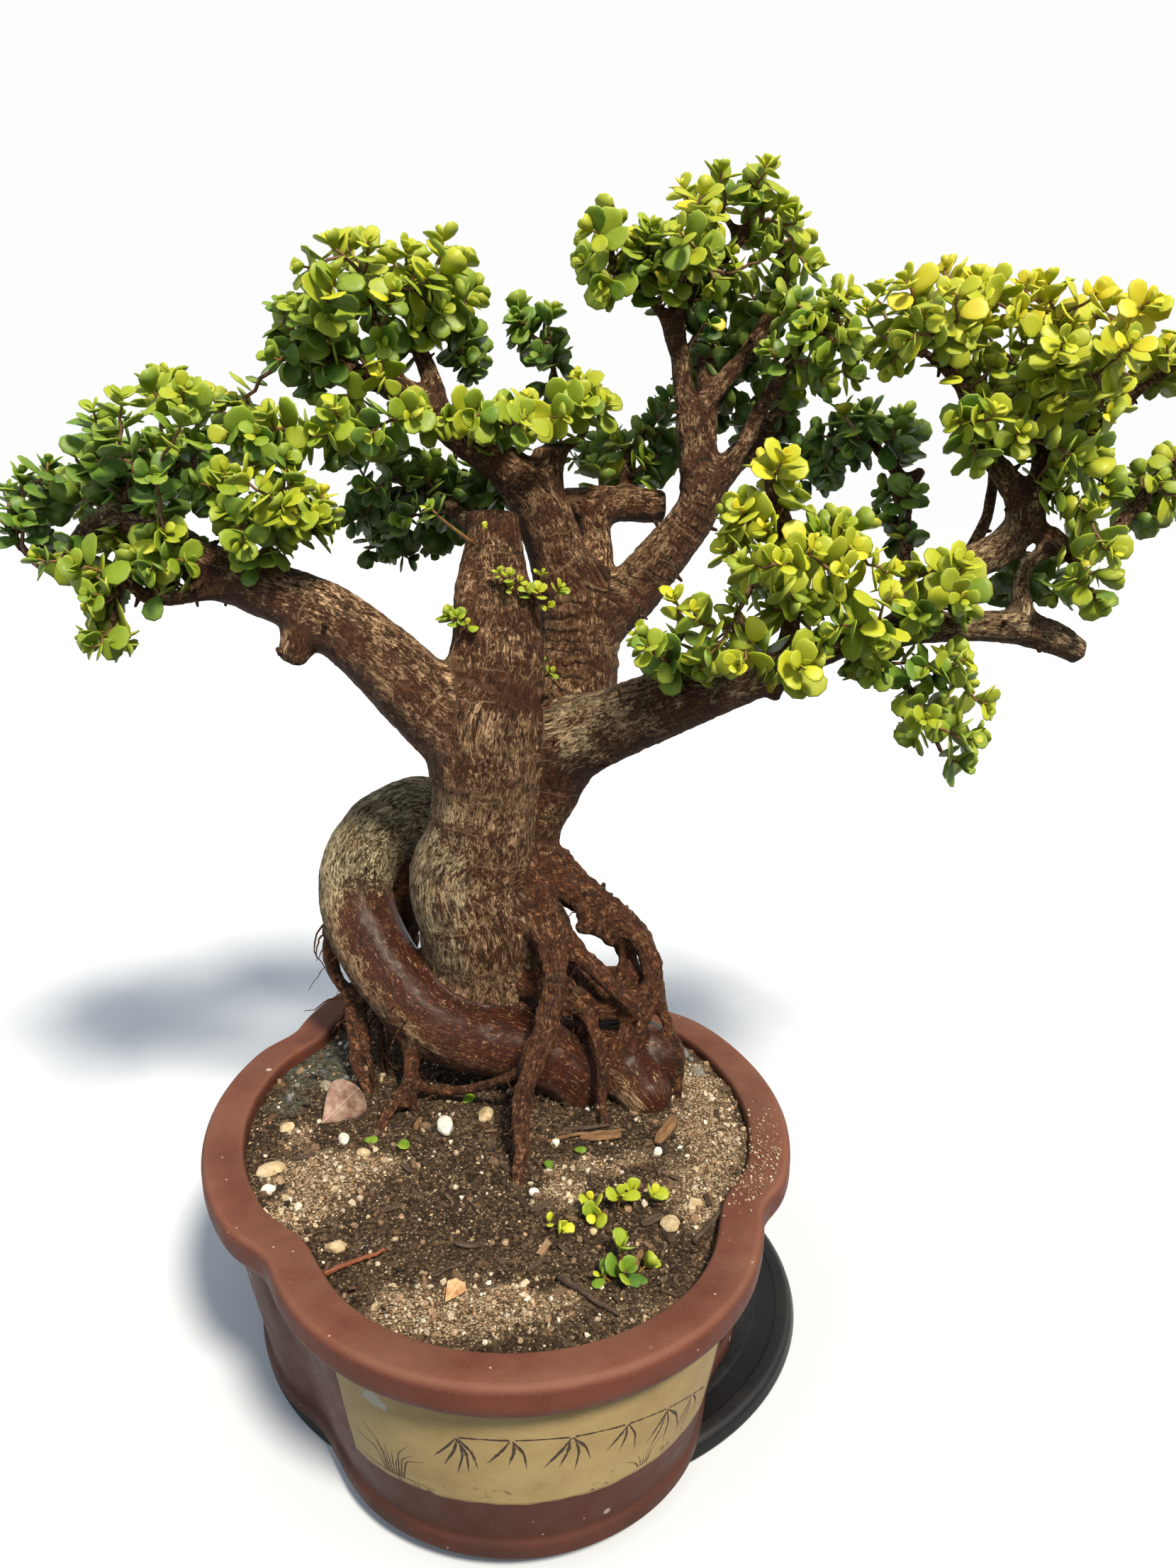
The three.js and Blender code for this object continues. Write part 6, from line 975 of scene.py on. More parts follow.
    # wrinkles and growth rings round the limb
    zz = n.math("ADD", n.sepxyz(bk)[2], n.math("MULTIPLY", n.math("SUBTRACT", n.noise(n.mapping(bk, (26, 26, 9)), 1, 3, 0.55), 0.5), 0.030))
    gap = n.noise(n.mapping(bk, (34, 34, 60), (7, 1, 1)), 1, 3, 0.6)
    fold = n.math("PINGPONG", n.math("MULTIPLY", zz, 1 / 0.0082), 0.5)
    foldline = n.math("MULTIPLY", n.math("MULTIPLY", n.step(fold, 0.17, 0.02), n.step(wr, 0.72, 0.95)), n.step(gap, 0.40, 0.54))
    ringl = n.math("PINGPONG", n.math("MULTIPLY", zz, 1 / 0.0235), 0.5)
    ringline = n.math("MULTIPLY", n.math("MULTIPLY", n.step(ringl, 0.035, 0.008), n.step(wr, 0.25, 0.50)), n.step(gap, 0.46, 0.54))
    base = n.mix(n.math("MULTIPLY", foldline, 0.85), base, (0.022, 0.0105, 0.0060))
    base = n.mix(n.math("MULTIPLY", ringline, 0.55), base, (0.60, 0.40, 0.22))
    # ring lines: paler lip beside a thin dark line
    base = n.mix(n.math("MULTIPLY", g[0], n.step(fib2, 0.3, 0.62)), base, (0.50, 0.32, 0.16))
    base = n.mix(n.math("MULTIPLY", g[1], 0.85), base, (0.014, 0.0075, 0.005))
    # grazes that show yellow-tan, sparse
    nick = n.step(n.noise(n.mapping(bk, (560, 560, 210), (8, 3, 1)), 1, 3, 0.60, 1.2), 0.640, 0.668)
    base = n.mix(n.math("MULTIPLY", nick, n.math("MULTIPLY", gloss, 0.9)), base, (0.66, 0.45, 0.23))
    # cut ends
    ringz = n.noise(n.mapping(co, (420, 420, 420)), 1, 5, 0.7)
    base = n.mix(g[2], base, n.ramp(ringz, [(0.3, (0.085, 0.045, 0.024)), (0.7, (0.25, 0.15, 0.085))]))
    n.link(base, bs.inputs["Base Color"])
    rg = n.mix(n.math("MULTIPLY", gloss, gloss), (0.66, 0.66, 0.66), (0.20, 0.20, 0.20)); rg = n.mix(n.math("MULTIPLY", mask, 0.8), rg, (0.74, 0.74, 0.74))
    rg = n.mix(n.math("MULTIPLY", warp, 0.3), rg, (0.8, 0.8, 0.8))
    n.link(rg, bs.inputs["Roughness"])
    bs.inputs["Specular IOR Level"].default_value = 0.22
    n.link(n.math("MULTIPLY", n.math("MULTIPLY", gloss, gloss), n.math("SUBTRACT", 0.30, n.math("MULTIPLY", mask, 0.28))), bs.inputs["Coat Weight"]); bs.inputs["Coat Roughness"].default_value = 0.40
    h = n.math("ADD", n.math("MULTIPLY", rough, 1.5), n.math("MULTIPLY", n.step(rough, 0.56, 0.66), 0.35))
    h = n.math("ADD", h, n.math("MULTIPLY", mask, 0.42))
    h = n.math("SUBTRACT", h, n.math("MULTIPLY", g[1], 0.5)); h = n.math("SUBTRACT", h, n.math("MULTIPLY", foldline, 1.1))
    soft = n.math("SUBTRACT", 1.0, n.math("MULTIPLY", gloss, 0.55))
    n.link(n.bump(n.math("MULTIPLY", h, soft), 1.0, 0.0026), bs.inputs["Normal"])
    return m
BARK = bark_material()

def tube(path, radius, sides=6, cap=True):
    """closed tube: path (n, 3), radius (n,)"""
    P = np.column_stack([path, radius]); T, Nn, Bb = frames(P)
    a = np.linspace(0, 2 * np.pi, sides + 1)[:-1]
    V = (P[:, None, :3] + P[:, None, 3:4] * (np.cos(a)[None, :, None] * Nn[:, None] + np.sin(a)[None, :, None] * Bb[:, None])).reshape(-1, 3)
    F = grid_faces(len(P), sides)[:, ::-1]
    caps = []
    if cap:
        V = np.vstack([V, P[0, :3], P[-1, :3] + T[-1] * P[-1, 3] * 0.6]); n = len(P) * sides
        for k in range(sides):
            caps.append((k, (k + 1) % sides, n)); caps.append((n - sides + (k + 1) % sides, n - sides + k, n + 1))
    th = np.tile(a, len(P)); s = np.repeat(np.concatenate([[0], np.cumsum(np.linalg.norm(np.diff(P[:, :3], axis=0), axis=1))]), sides); r = np.repeat(P[:, 3], sides)
    bv = np.stack([r * np.cos(th), r * np.sin(th), s], 1)
    if cap: bv = np.vstack([bv, [0, 0, 0], [0, 0, s[-1]]])
    return V, F, np.array(caps, int).reshape(-1, 3), bv

def make_wood():
    lo, F = wood_field(); say("field", F.shape)
    V, Q = surface_nets(lo, F, PITCH); say("surface", len(V), len(Q))
    # keep the connected parts of more than 60 corners
    lab = np.arange(len(V))
    for _ in range(400):
        m = lab[Q].min(1); new = lab.copy()
        for k in range(4): np.minimum.at(new, Q[:, k], m)
        new = new[new]
        if np.array_equal(new, lab): break
        lab = new
    ids, cnt = np.unique(lab, return_counts=True); main = ids[np.argmax(cnt)]
    say("parts", sorted(cnt)[::-1][:6])
    keep = np.isin(lab, ids[cnt > 60]); Q = Q[keep[Q[:, 0]]]; used = np.unique(Q); mp = np.full(len(V), -1); mp[used] = np.arange(len(used)); V = V[used]; Q = mp[Q]
    for _ in range(2):      # light smoothing of the net
        acc = np.zeros_like(V); c = np.zeros(len(V))
        for k in range(4):
            j = Q[:, (k + 1) % 4]
            for x in range(3): acc[:, x] += np.bincount(Q[:, k], V[j, x], len(V)) + np.bincount(j, V[Q[:, k], x], len(V))
            c += np.bincount(Q[:, k], minlength=len(V)) + np.bincount(j, minlength=len(V))
        V = V * 0.5 + 0.5 * acc / c[:, None]
    li, ls, lt, lr, gap = limb_coords(V); say("coordinates")
    kinds = [LIMB[i].kind for i in range(len(LIMB))]
    tab = np.array([KIND[k] for k in kinds])[li]
    red, dark, grey, gloss, ringd, ringp, fiss, lump = tab.T
    seed = np.array([hash_name(L.name) % 53 for L in LIMB])[li] * 3.1
    Nn = vertex_normals(V, Q)
    big = np.minimum(1, lr / 9.0); fade = smooth(0.0, 5.0, gap) * 0.75 + 0.25
    bv = calm(np.stack([lr * np.cos(lt), lr * np.sin(lt), ls], 1), Q, li, 22); ls = bv[:, 2]; lt = np.arctan2(bv[:, 1], bv[:, 0])
    # rings round the limb: each an uneven step, not a clean circle
    wob = noise3(np.column_stack([np.cos(lt) * 1.1 + seed, np.sin(lt) * 1.1, ls / 30.0])) * 0.38 + noise3(np.column_stack([bv[:, 0] / 9, bv[:, 1] / 9 + seed, ls / 14.0])) * 0.10
    pp = ringp * (0.6 + 0.4 * np.minimum(1, lr / 14))
    ph = ls / pp + wob + 0.35 * noise3(np.column_stack([ls / (pp * 2.3) + seed, 0 * ls, 0 * ls + 0.4])); cell = np.floor(ph); fr = ph - cell
    amp_ring = 0.45 + 0.9 * np.abs(np.sin(cell * 12.9898 + seed) * 0.5 + 0.5)
    prt = smooth(-0.25, 0.18, noise3(np.column_stack([np.cos(lt) * 1.4 + cell * 1.7 + seed, np.sin(lt) * 1.4, cell * 0.9])))
    step = (1 - fr) ** 2.2 * smooth(0.0, 0.06, fr) + 0.6 * smooth(0.94, 1.0, fr)
    ring = ringd * big * amp_ring * prt * step
    line = np.exp(-((fr - 0.03) / (1.0 / pp)) ** 2) * amp_ring * prt
    crack = np.exp(-((np.abs(fr - 0.985)) / (0.55 / pp)) ** 2) * prt * smooth(0.55, 1.1, amp_ring)
    # fissures along the limb, and lumps
    fz = noise3(np.column_stack([bv[:, 0] / 4.2 + seed, bv[:, 1] / 4.2, ls / 17.0])); fz = -smooth(0.10, 0.42, fz)
    f2 = noise3(np.column_stack([bv[:, 0] / 2.6, bv[:, 1] / 2.6 + seed, ls / 8.0]))
    lumps = fbm(V / 21.0 + 3.0, 3) * lump * np.minimum(1, lr / 16) + fbm(V / 8.0 + 9.0, 2) * 0.35 * np.minimum(1, lr / 7)
    rooty = np.isin(np.array(kinds)[li], ["root"]) * 1.0
    scaly = rooty * (fbm(V / 4.6, 2) * np.minimum(1.3, lr * 0.20) + fbm(V / 11.0 + 5, 2) * np.minimum(2.6, lr * 0.34))
    scaly += (1 - rooty) * fbm(V / 3.6, 2) * np.minimum(0.55, lr * 0.05)
    disp = ring + fade * big * (fiss * 0.9 * fz + 0.28 * f2) + lumps + scaly - ringd * big * 0.35
    # a knot scar and its lips on the right branch's collar, and the healed cut on the back trunk
    for c, r, dep in (((72, 42, 351), 6.5, 3.6), ((47, 89, 512), 3.4, 1.1), ((-62, 40, 405), 5, -2.4)):
        d = np.linalg.norm((V - np.array(c)) / np.array([1, 1, 1.15]), axis=1)
        disp += -dep * np.exp(-(d / (r * 0.55)) ** 2) + 0.42 * abs(dep) * np.exp(-((d - r) / (r * 0.35)) ** 2)
    V = V + Nn * disp[:, None]
    # ------------ tones
    curl = np.array([k == "curl" for k in kinds])[li]
    back_top = curl * smooth(150, 96, ls) * (np.array([L.name for L in LIMB])[li] == "curved_root")
    flank = curl * smooth(0.05, 0.62, -Nn[:, 0] - 0.25 * Nn[:, 2] + 0.25 * noise3(V / 12.0)) * smooth(330, 200, ls)
    # the upper back of the curved root takes grey skin, pushed paler with grey past 1 and less dark: partly its grey
    # skin, partly painted light
    red = red - 0.95 * back_top - 0.72 * flank; gloss = gloss * (1 - back_top) * (1 - 0.85 * flank); grey = grey + 1.3 * back_top + 0.25 * flank; dark = dark - 0.20 * back_top
    tz = V[:, 2]
    # painted light and shade: the boughs are paler on top and darker underneath
    up = smooth(0.05, 0.85, Nn[:, 2]); under_ = smooth(-0.05, -0.75, Nn[:, 2]); limb = np.isin(np.array(kinds)[li], ["left", "b1", "b2", "right"]) * 1.0
    red = red - limb * 0.34 * up; dark = dark - limb * 0.16 * up + 0.30 * limb * under_
    # painted shade: the curved root is darker underneath and on its right-facing side towards the trunk, with less
    # sheen underneath
    dark = dark + curl * (1 - back_top) * (0.60 * under_ + 0.45 * smooth(0.35, 0.95, Nn[:, 0])); gloss = gloss * (1 - 0.3 * curl * under_)
    tr = np.isin(np.array([L.name for L in LIMB])[li], ["trunk"])
    # grey skin on the left side of the trunk: partly its grey bark, partly painted cool light on that side
    grey += tr * 0.75 * smooth(-8, -26, V[:, 0]) * smooth(200, 240, tz) * smooth(345, 310, tz)
    dark += tr * 0.35 * gauss(V, (0, 30, 285), (26, 60, 34)) - tr * 0.35 * gauss(V, (20, 30, 182), (60, 60, 18)) - tr * 0.2 * gauss(V, (4, 30, 330), (24, 60, 14))
    red += tr * 0.20 * gauss(V, (2, 20, 258), (30, 60, 12)) + tr * 0.10 * smooth(340, 380, tz)
    rb = np.isin(np.array([L.name for L in LIMB])[li], ["right_branch"])
    # painted shade: the right branch is darker underneath
    red += rb * 0.40 * gauss(V, (118, 30, 404), (34, 40, 13)); grey += rb * 0.25 * smooth(100, 60, V[:, 0]); dark += 0.25 * rb * smooth(0.1, -0.6, Nn[:, 2])
    lbr = np.isin(np.array([L.name for L in LIMB])[li], ["left_branch"])
    grey += lbr * 0.6 * smooth(-150, -200, V[:, 0]); gloss += lbr * 0.1
    # limbs set behind and between the others are made redder and darker: the darkening is painted shade in the gaps
    # where they sit
    side = np.isin(np.array([L.name for L in LIMB])[li], ["side_trunk", "mid_root_b", "tangle1", "tangle2", "tangle3", "tangle4", "back_root1", "back_root2", "back_root3"])
    dark += 0.35 * side; red += 0.25 * side
    dark += 0.45 * smooth(5.0, 0.0, gap) * smooth(3, 8, lr)            # painted shade: darker in the creases between limbs
    tone = np.clip(np.stack([red, dark, grey, np.clip(gloss, 0, 1)], 1), 0, 1.3)
    cutm = np.zeros(len(V))
    for L in LIMB:
        if L.cut is None: continue
        e = L.P[-1, :3]; t = L.T[-1]; rr = L.P[-1, 3]
        q = V - e; al = q @ t; rad = np.linalg.norm(q - al[:, None] * t, axis=1)
        cutm = np.maximum(cutm, (al > (L.cut - 0.22) * rr) * (al < (L.cut + 0.6) * rr) * (rad < rr * 0.90) * smooth(0.6, 0.8, Nn @ t))
    marks = np.stack([np.clip(line, 0, 1) * np.clip(ringd * 1.1, 0, 1) * (1 - cutm), np.clip(crack, 0, 1) * 0.8 * (1 - cutm), cutm, np.array([WRINKLE.get(k, 0.4) for k in kinds])[li]], 1)
    verts, quads, tris, tones, mk, bvs = [V], [Q], [], [tone], [marks], [bv * MM]
    o = len(V)
    def add_tube(path, rad, sides, tn):
        nonlocal o
        v, f, c, b = tube(path, rad, sides)
        verts.append(v); quads.append(f + o); tris.append(c + o); bvs.append(b * MM); tones.append(np.tile(tn, (len(v), 1))); mk.append(np.tile([0, 0, 0, 1], (len(v), 1))); o += len(v)
    for L in LIMB:     # thin ends
        i = np.where(L.P[:, 3] < R_MIN + 0.25)[0]
        if len(i) == 0: continue
        i0 = max(0, i[0] - 2); P = L.P[i0:]
        if len(P) < 3: continue
        k = KIND[L.kind]; add_tube(P[:, :3], P[:, 3], 7, [k[0], k[1], k[2], k[3]])
    # fine hair roots between the big roots and the soil
    hr = np.random.default_rng(11)
    roots = [L for L in LIMB if L.kind in ("root", "curl") and L.name not in ("back_root1", "back_root2", "back_root3")]
    for k in range(230):
        L = roots[hr.integers(len(roots))]; i = hr.integers(len(L.P)); p = L.P[i, :3]; r = L.P[i, 3]
        if p[2] > 262 or p[2] < 136: continue
        d = L.N[i] * hr.normal() + L.B[i] * hr.normal(); d /= np.linalg.norm(d) + 1e-9
        if d[2] > 0.45 or p[0] + 14 * d[0] > 62: continue
        ln = hr.uniform(9, 34) if k % 3 else hr.uniform(25, 60); q = [p + d * r * 0.85]; v = d * 0.75 + np.array([0, 0, -0.25]) + 0.3 * hr.normal(size=3)
        for _ in range(8):
            v = v / np.linalg.norm(v) + 0.34 * hr.normal(size=3) + np.array([0, 0, -0.22]); q.append(q[-1] + v / np.linalg.norm(v) * ln / 8)
        q = np.array(q); floor_z = soil_z(q[:, 0], q[:, 1]) + 0.6
        q[:, 2] = np.maximum(q[:, 2], floor_z - 1.2 * hr.random())
        add_tube(q, np.linspace(hr.uniform(0.45, 0.95), 0.22, len(q)), 4, [0.55, 0.55, 0.0, 0.1])
    # small knobs and broken twig stubs on the boughs
    for L in LIMB:
        if L.kind in ("root", "curl") and L.name not in ("arch", "arch_in", "hang1"): continue
        n_ = int(L.s[-1] / (26 if L.P[:, 3].mean() > 9 else 16))
        for _ in range(n_):
            if hr.random() < 0.45: continue
            i = hr.integers(2, max(3, len(L.P) - 1)); i = min(i, len(L.P) - 2); r = L.P[i, 3]
            if r < 2.6: continue
            th = hr.uniform(0, 2 * np.pi); d = L.N[i] * math.cos(th) + L.B[i] * math.sin(th)
            a_ = L.P[i, :3] + d * (r - 1.2); ln = hr.uniform(2.2, 5.0) if r > 8 else hr.uniform(1.8, 3.6); rr = hr.uniform(0.9, 1.8) if r > 8 else hr.uniform(0.7, 1.3)
            b_ = a_ + (d + 0.5 * hr.normal(size=3) * 0.5) * (ln + 1.2)
            add_tube(np.array([a_, (a_ + b_) / 2, b_]), np.array([rr * 1.7, rr * 1.15, rr * 0.8]), 6, [0.3, 0.85, 0.1, 0.0])
    tri = np.concatenate(tris) if tris else np.zeros((0, 3), int)
    ob = make_mesh("tree_bark", np.concatenate(verts), [np.concatenate(quads), tri], (BARK,), colors={"tone": np.concatenate(tones), "marks": np.concatenate(mk)}, vectors={"bark": np.concatenate(bvs)})
    total = 2 * sum(len(f) for f in [np.concatenate(quads)]) + len(tri)
    if total > WOOD_TRIS:
        md = ob.modifiers.new("fewer", "DECIMATE"); md.ratio = WOOD_TRIS / total * 0.985; bpy.context.view_layer.objects.active = ob; ob.select_set(True)
        bpy.ops.object.modifier_apply(modifier="fewer"); ob.select_set(False)
    ob.data.polygons.foreach_set("use_smooth", np.ones(len(ob.data.polygons), bool))
    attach(ob, "root"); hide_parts("tree_wood")
    say("wood", len(Q) * 2, "tris +", len(tri), "kept", len(ob.data.polygons))
make_wood()
# ------------------------------------------------------------------ leaves and twigs
def leaf_material():
    m, nt, bs = material("succulent_leaf"); n = N(nt); co = n.coords()
    a1 = n.attr("leaf"); a = n.sep(a1.outputs["Color"]); uv = n.sepxyz(n.attr("leafpos").outputs["Vector"])
    # the leaf tone carries the leaves' colour and also painted light and shade set per cluster and per shoot
    tone = n.math("ADD", a[0], n.math("MULTIPLY", n.math("SUBTRACT", n.noise(n.mapping(co, (160, 160, 160)), 1, 2, 0.5), 0.5), 0.16))
    top = n.ramp(tone, [(0.00, (0.014, 0.054, 0.012)), (0.20, (0.042, 0.118, 0.016)), (0.40, (0.113, 0.222, 0.017)), (0.58, (0.240, 0.330, 0.016)), (0.76, (0.385, 0.425, 0.018)), (0.92, (0.520, 0.545, 0.022)), (1.0, (0.660, 0.560, 0.024))])
    # paler towards the tip, darker where it is joined; thin light rim
    lighter = n.mix(0.42, top, (0.46, 0.56, 0.14)); darker = n.mix(0.5, top, (0.012, 0.045, 0.006))
    base = n.mix(n.math("MULTIPLY", n.step(uv[0], 0.42, 0.0), 0.55), top, darker)
    base = n.mix(n.math("MULTIPLY", n.step(uv[0], 0.55, 1.0), 0.28), base, lighter)
    rim = n.step(a[2], 0.55, 0.95)
    base = n.mix(n.math("MULTIPLY", rim, 0.55), base, n.mix(0.35, top, (0.60, 0.60, 0.16)))
    mid = n.math("MULTIPLY", n.step(uv[1], 0.09, 0.0), n.step(uv[0], 0.8, 0.15))
    base = n.mix(n.math("MULTIPLY", mid, 0.35), base, lighter)
    # faint mottling and a few brown specks
    mot = n.noise(n.mapping(co, (520, 520, 520)), 1, 4, 0.6)
    base = n.mix(n.math("MULTIPLY", n.step(mot, 0.40, 0.72), 0.30), base, lighter)
    sp = n.step(n.noise(n.mapping(co, (700, 700, 700), (0.3, 0.2, 0.1)), 1, 2, 0.5), 0.745, 0.775)
    base = n.mix(n.math("MULTIPLY", sp, 0.6), base, (0.16, 0.085, 0.02))
    # underside paler and duller
    base = n.mix(n.math("MULTIPLY", a1.outputs["Alpha"], 0.45), base, n.mix(0.5, top, (0.27, 0.36, 0.14)))
    n.link(base, bs.inputs["Base Color"])
    n.link(n.ramp(n.noise(n.mapping(co, (300, 300, 300)), 1, 3, 0.6), [(0.3, (0.40,) * 3), (0.75, (0.56,) * 3)]), bs.inputs["Roughness"])
    bs.inputs["Specular IOR Level"].default_value = 0.34
    bs.inputs["Subsurface Weight"].default_value = 0.30
    bs.inputs["Subsurface Radius"].default_value = (0.0022, 0.0030, 0.0006)
    bs.inputs["Subsurface Scale"].default_value = 1.0
    hh = n.math("ADD", n.math("MULTIPLY", mot, 0.5), n.noise(n.mapping(co, (110, 110, 110)), 1, 2, 0.5))
    n.link(n.bump(hh, 0.22, 0.0009), bs.inputs["Normal"])
    return m
def twig_material():
    m, nt, bs = material("young_twig"); n = N(nt); bk = n.attr("leafpos").outputs["Vector"]; co = n.coords()
    a = n.sep(n.attr("leaf").outputs["Color"])
    g = n.noise(n.mapping(co, (420, 420, 420)), 1, 5, 0.66)
    old = n.ramp(g, [(0.32, (0.060, 0.026, 0.014)), (0.52, (0.155, 0.075, 0.038)), (0.72, (0.32, 0.19, 0.10))])
    young = n.ramp(g, [(0.35, (0.16, 0.055, 0.018)), (0.7, (0.25, 0.16, 0.03))])
    n.link(n.mix(a[0], old, young), bs.inputs["Base Color"])
    bs.inputs["Roughness"].default_value = 0.55
    n.link(n.bump(g, 0.6, 0.0007), bs.inputs["Normal"])
    return m
LEAF = leaf_material(); TWIG = twig_material()

NO = 10
def leaf_template():
    """rows: centre, inner ring, shoulder ring, rim, underside; columns u along, v across, h height over the mid plane, rim weight, underside"""
    ph = np.linspace(0, 2 * np.pi, NO + 1)[:-1] + np.pi / NO
    u = 0.5 - 0.5 * np.cos(ph); v = 0.5 * np.sin(ph) * (0.50 + 0.62 * u) * 1.06
    c = np.array([0.56, 0.0]); rows = [(c[0], 0.0, 0.50, 0.0, 0.0)]
    for q, h, w in ((0.56, 0.46, 0.0), (0.90, 0.26, 0.45), (1.0, 0.0, 1.0)):
        for k in range(NO): rows.append((c[0] + (u[k] - c[0]) * q, v[k] * q, h, w, 0.0))
    rows.append((c[0] - 0.02, 0.0, -0.50, 0.0, 1.0))
    F = []
    for k in range(NO):
        j = (k + 1) % NO
        F.append((0, 1 + k, 1 + j))
        for r in (0, 1):
            a, b = 1 + r * NO, 1 + (r + 1) * NO
            F.append((a + k, b + k, b + j)); F.append((a + k, b + j, a + j))
        F.append((1 + 2 * NO + k, 3 * NO + 1, 1 + 2 * NO + j))
    return np.array(rows), np.array(F)
LT, LF = leaf_template()

class Leaves:
    def __init__(s): s.rows = []; s.tubes = []
    def leaf(s, p, d, n, ln, wd, tone, bend, cup, thick, notch):
        s.rows.append((*p, *d, *n, ln, wd, tone, bend, cup, thick, notch))
    def arrays(s):
        R = np.array(s.rows); K = len(R)
        p, d, n = R[:, 0:3], R[:, 3:6], R[:, 6:9]; ln, wd, tone, bend, cup, th, notch = R[:, 9:].T
        d = d / np.linalg.norm(d, axis=1)[:, None]; n = n - d * (n * d).sum(1)[:, None]; n /= np.linalg.norm(n, axis=1)[:, None] + 1e-9
        s_ = np.cross(n, d)
        u, v, h, w, un = LT.T
        tipd = np.exp(-((u[None] - 1) / 0.10) ** 2) * np.exp(-(v[None] / 0.16) ** 2) * notch[:, None]
        U = u[None] - tipd
        x = U * ln[:, None]; y = v[None] * wd[:, None] * (1 + 0.06 * notch[:, None] * 0)
        # bent along its length and cupped or domed across
        ang = bend[:, None] * U
        zc = -x * np.sin(ang) * 0.5; xc = x * np.cos(ang * 0.5)
        z = zc + cup[:, None] * (v[None] ** 2) * wd[:, None] * 1.6 + h[None] * th[:, None]
        V = p[:, None] + xc[..., None] * d[:, None] + y[..., None] * s_[:, None] + z[..., None] * n[:, None]
        nv = len(LT)
        F = (LF[None] + (np.arange(K) * nv)[:, None, None]).reshape(-1, 3)
        col = np.zeros((K, nv, 4)); col[..., 0] = tone[:, None]; col[..., 1] = (np.arange(K) % 97 / 97.0)[:, None]; col[..., 2] = w[None]; col[..., 3] = un[None]
        pos = np.zeros((K, nv, 3)); pos[..., 0] = u[None]; pos[..., 1] = np.abs(v[None]); pos[..., 2] = col[..., 1]
        return V.reshape(-1, 3), F, col.reshape(-1, 4), pos.reshape(-1, 3)
    def build(s, name, node, slot):
        V, F, col, pos = s.arrays() if s.rows else (np.zeros((0, 3)), np.zeros((0, 3), int), np.zeros((0, 4)), np.zeros((0, 3)))
        verts, tris, quads, cols, poss = [V], [F], [], [col], [pos]; o = len(V); nt_ = len(F)
        for path, rad, young in s.tubes:
            v, f, c, b = tube(path, rad, 5)
            verts.append(v); quads.append(f + o); tris.append(c + o)
            yy = np.interp(np.linalg.norm(v - path[-1], axis=1), [4, 22], [1, 0]) * young
            cc = np.zeros((len(v), 4)); cc[:, 0] = yy; cols.append(cc); poss.append(b * MM); o += len(v)
        quads = np.concatenate(quads) if quads else np.zeros((0, 4), int); tris = np.concatenate(tris)
        fm = np.concatenate([np.ones(len(quads), int), np.zeros(nt_, int), np.ones(len(tris) - nt_, int)])
        ob = make_mesh(name, np.concatenate(verts), [quads, tris], (LEAF, TWIG), fm, colors={"leaf": np.concatenate(cols)}, vectors={"leafpos": np.concatenate(poss)})
        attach(ob, "root"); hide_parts(node)
        return ob

AX_A = np.array([math.cos(VIEW_TURN), math.sin(VIEW_TURN), 0]); AX_B = np.array([-math.sin(VIEW_TURN), math.cos(VIEW_TURN), 0]); AX_C = np.array([0, 0, 1.0])
AX = np.stack([AX_A, AX_B, AX_C])
SUN = np.array([0.62, -0.25, 0.74]); SUN /= np.linalg.norm(SUN)

def unit(v): return v / (np.linalg.norm(v) + 1e-9)
def any_perp(t, r):
    a = r.normal(size=3); a = a - t * (a @ t); return unit(a)

def grow_shoot(bag, path, r, tone, size=1.0, pairs=6, young=1.0):
    """leaf pairs crosswise on the last stretch of a path (points, base to tip)"""
    seg = np.linalg.norm(np.diff(path, axis=0), axis=1); s = np.concatenate([[0], np.cumsum(seg)]); total = s[-1]
    def at(dist):
        x = max(0, total - dist); i = min(len(seg) - 1, np.searchsorted(s, x, side="right") - 1); t = (x - s[i]) / max(seg[i], 1e-6)
        return path[i] * (1 - t) + path[i + 1] * t, unit(path[i + 1] - path[i])
    p, T = at(0); side = any_perp(T, r); dist = 0.0
    lens = [6.5, 10.5, 14.0, 16.2, 16.8, 16.5, 15.5, 14.5]
    inter = [2.2, 3.6, 5.2, 6.6, 7.4, 7.8, 8.0, 8.0]
    for k in range(pairs):
        if dist > total - 2.0 and k > 1: break
        p, T = at(dist)
        side = unit(side - T * (side @ T))
        if k: side = unit(np.cross(T, side)) ; side = unit(side + 0.16 * r.normal(size=3)); side = unit(side - T * (side @ T))
        for sg in (-1, 1):
            if k > 2 and r.random() < 0.08: continue
            S = side * sg
            al = math.radians((30, 44, 56, 64, 70, 76, 80, 82)[k] + r.normal() * 9)
            d = unit(T * math.cos(al) + S * math.sin(al) + np.array([0, 0, -0.05 * k]) * 0.6 + 0.08 * r.normal(size=3))
            nn = unit(T * math.sin(al) - S * math.cos(al) + 0.20 * SUN + np.array([0, 0, 0.16]) + 0.16 * r.normal(size=3))
            L_ = lens[k] * size * r.uniform(0.84, 1.14)
            W_ = L_ * r.uniform(0.80, 0.98)
            tn = tone + (0.14 if k == 0 else 0.08 if k == 1 else 0.0) + 0.085 * r.normal()
            if r.random() < 0.012: tn = r.uniform(0.86, 1.0)
            bag.leaf(p + S * 0.5, d, nn, L_, W_, min(max(tn, 0.02), 1.0), r.normal() * 0.22 + 0.10, r.normal() * 0.16 + 0.10, r.uniform(1.5, 2.2) * min(1, L_ / 12), max(0, r.normal() * 0.03 - 0.005))
        dist += inter[k] * size * r.uniform(0.8, 1.25)

def hermite(a, b, ta, tb, n):
    t = np.linspace(0, 1, n)[:, None]; L = np.linalg.norm(b - a)
    return (2 * t**3 - 3 * t**2 + 1) * a + (t**3 - 2 * t**2 + t) * ta * L + (-2 * t**3 + 3 * t**2) * b + (t**3 - t**2) * tb * L

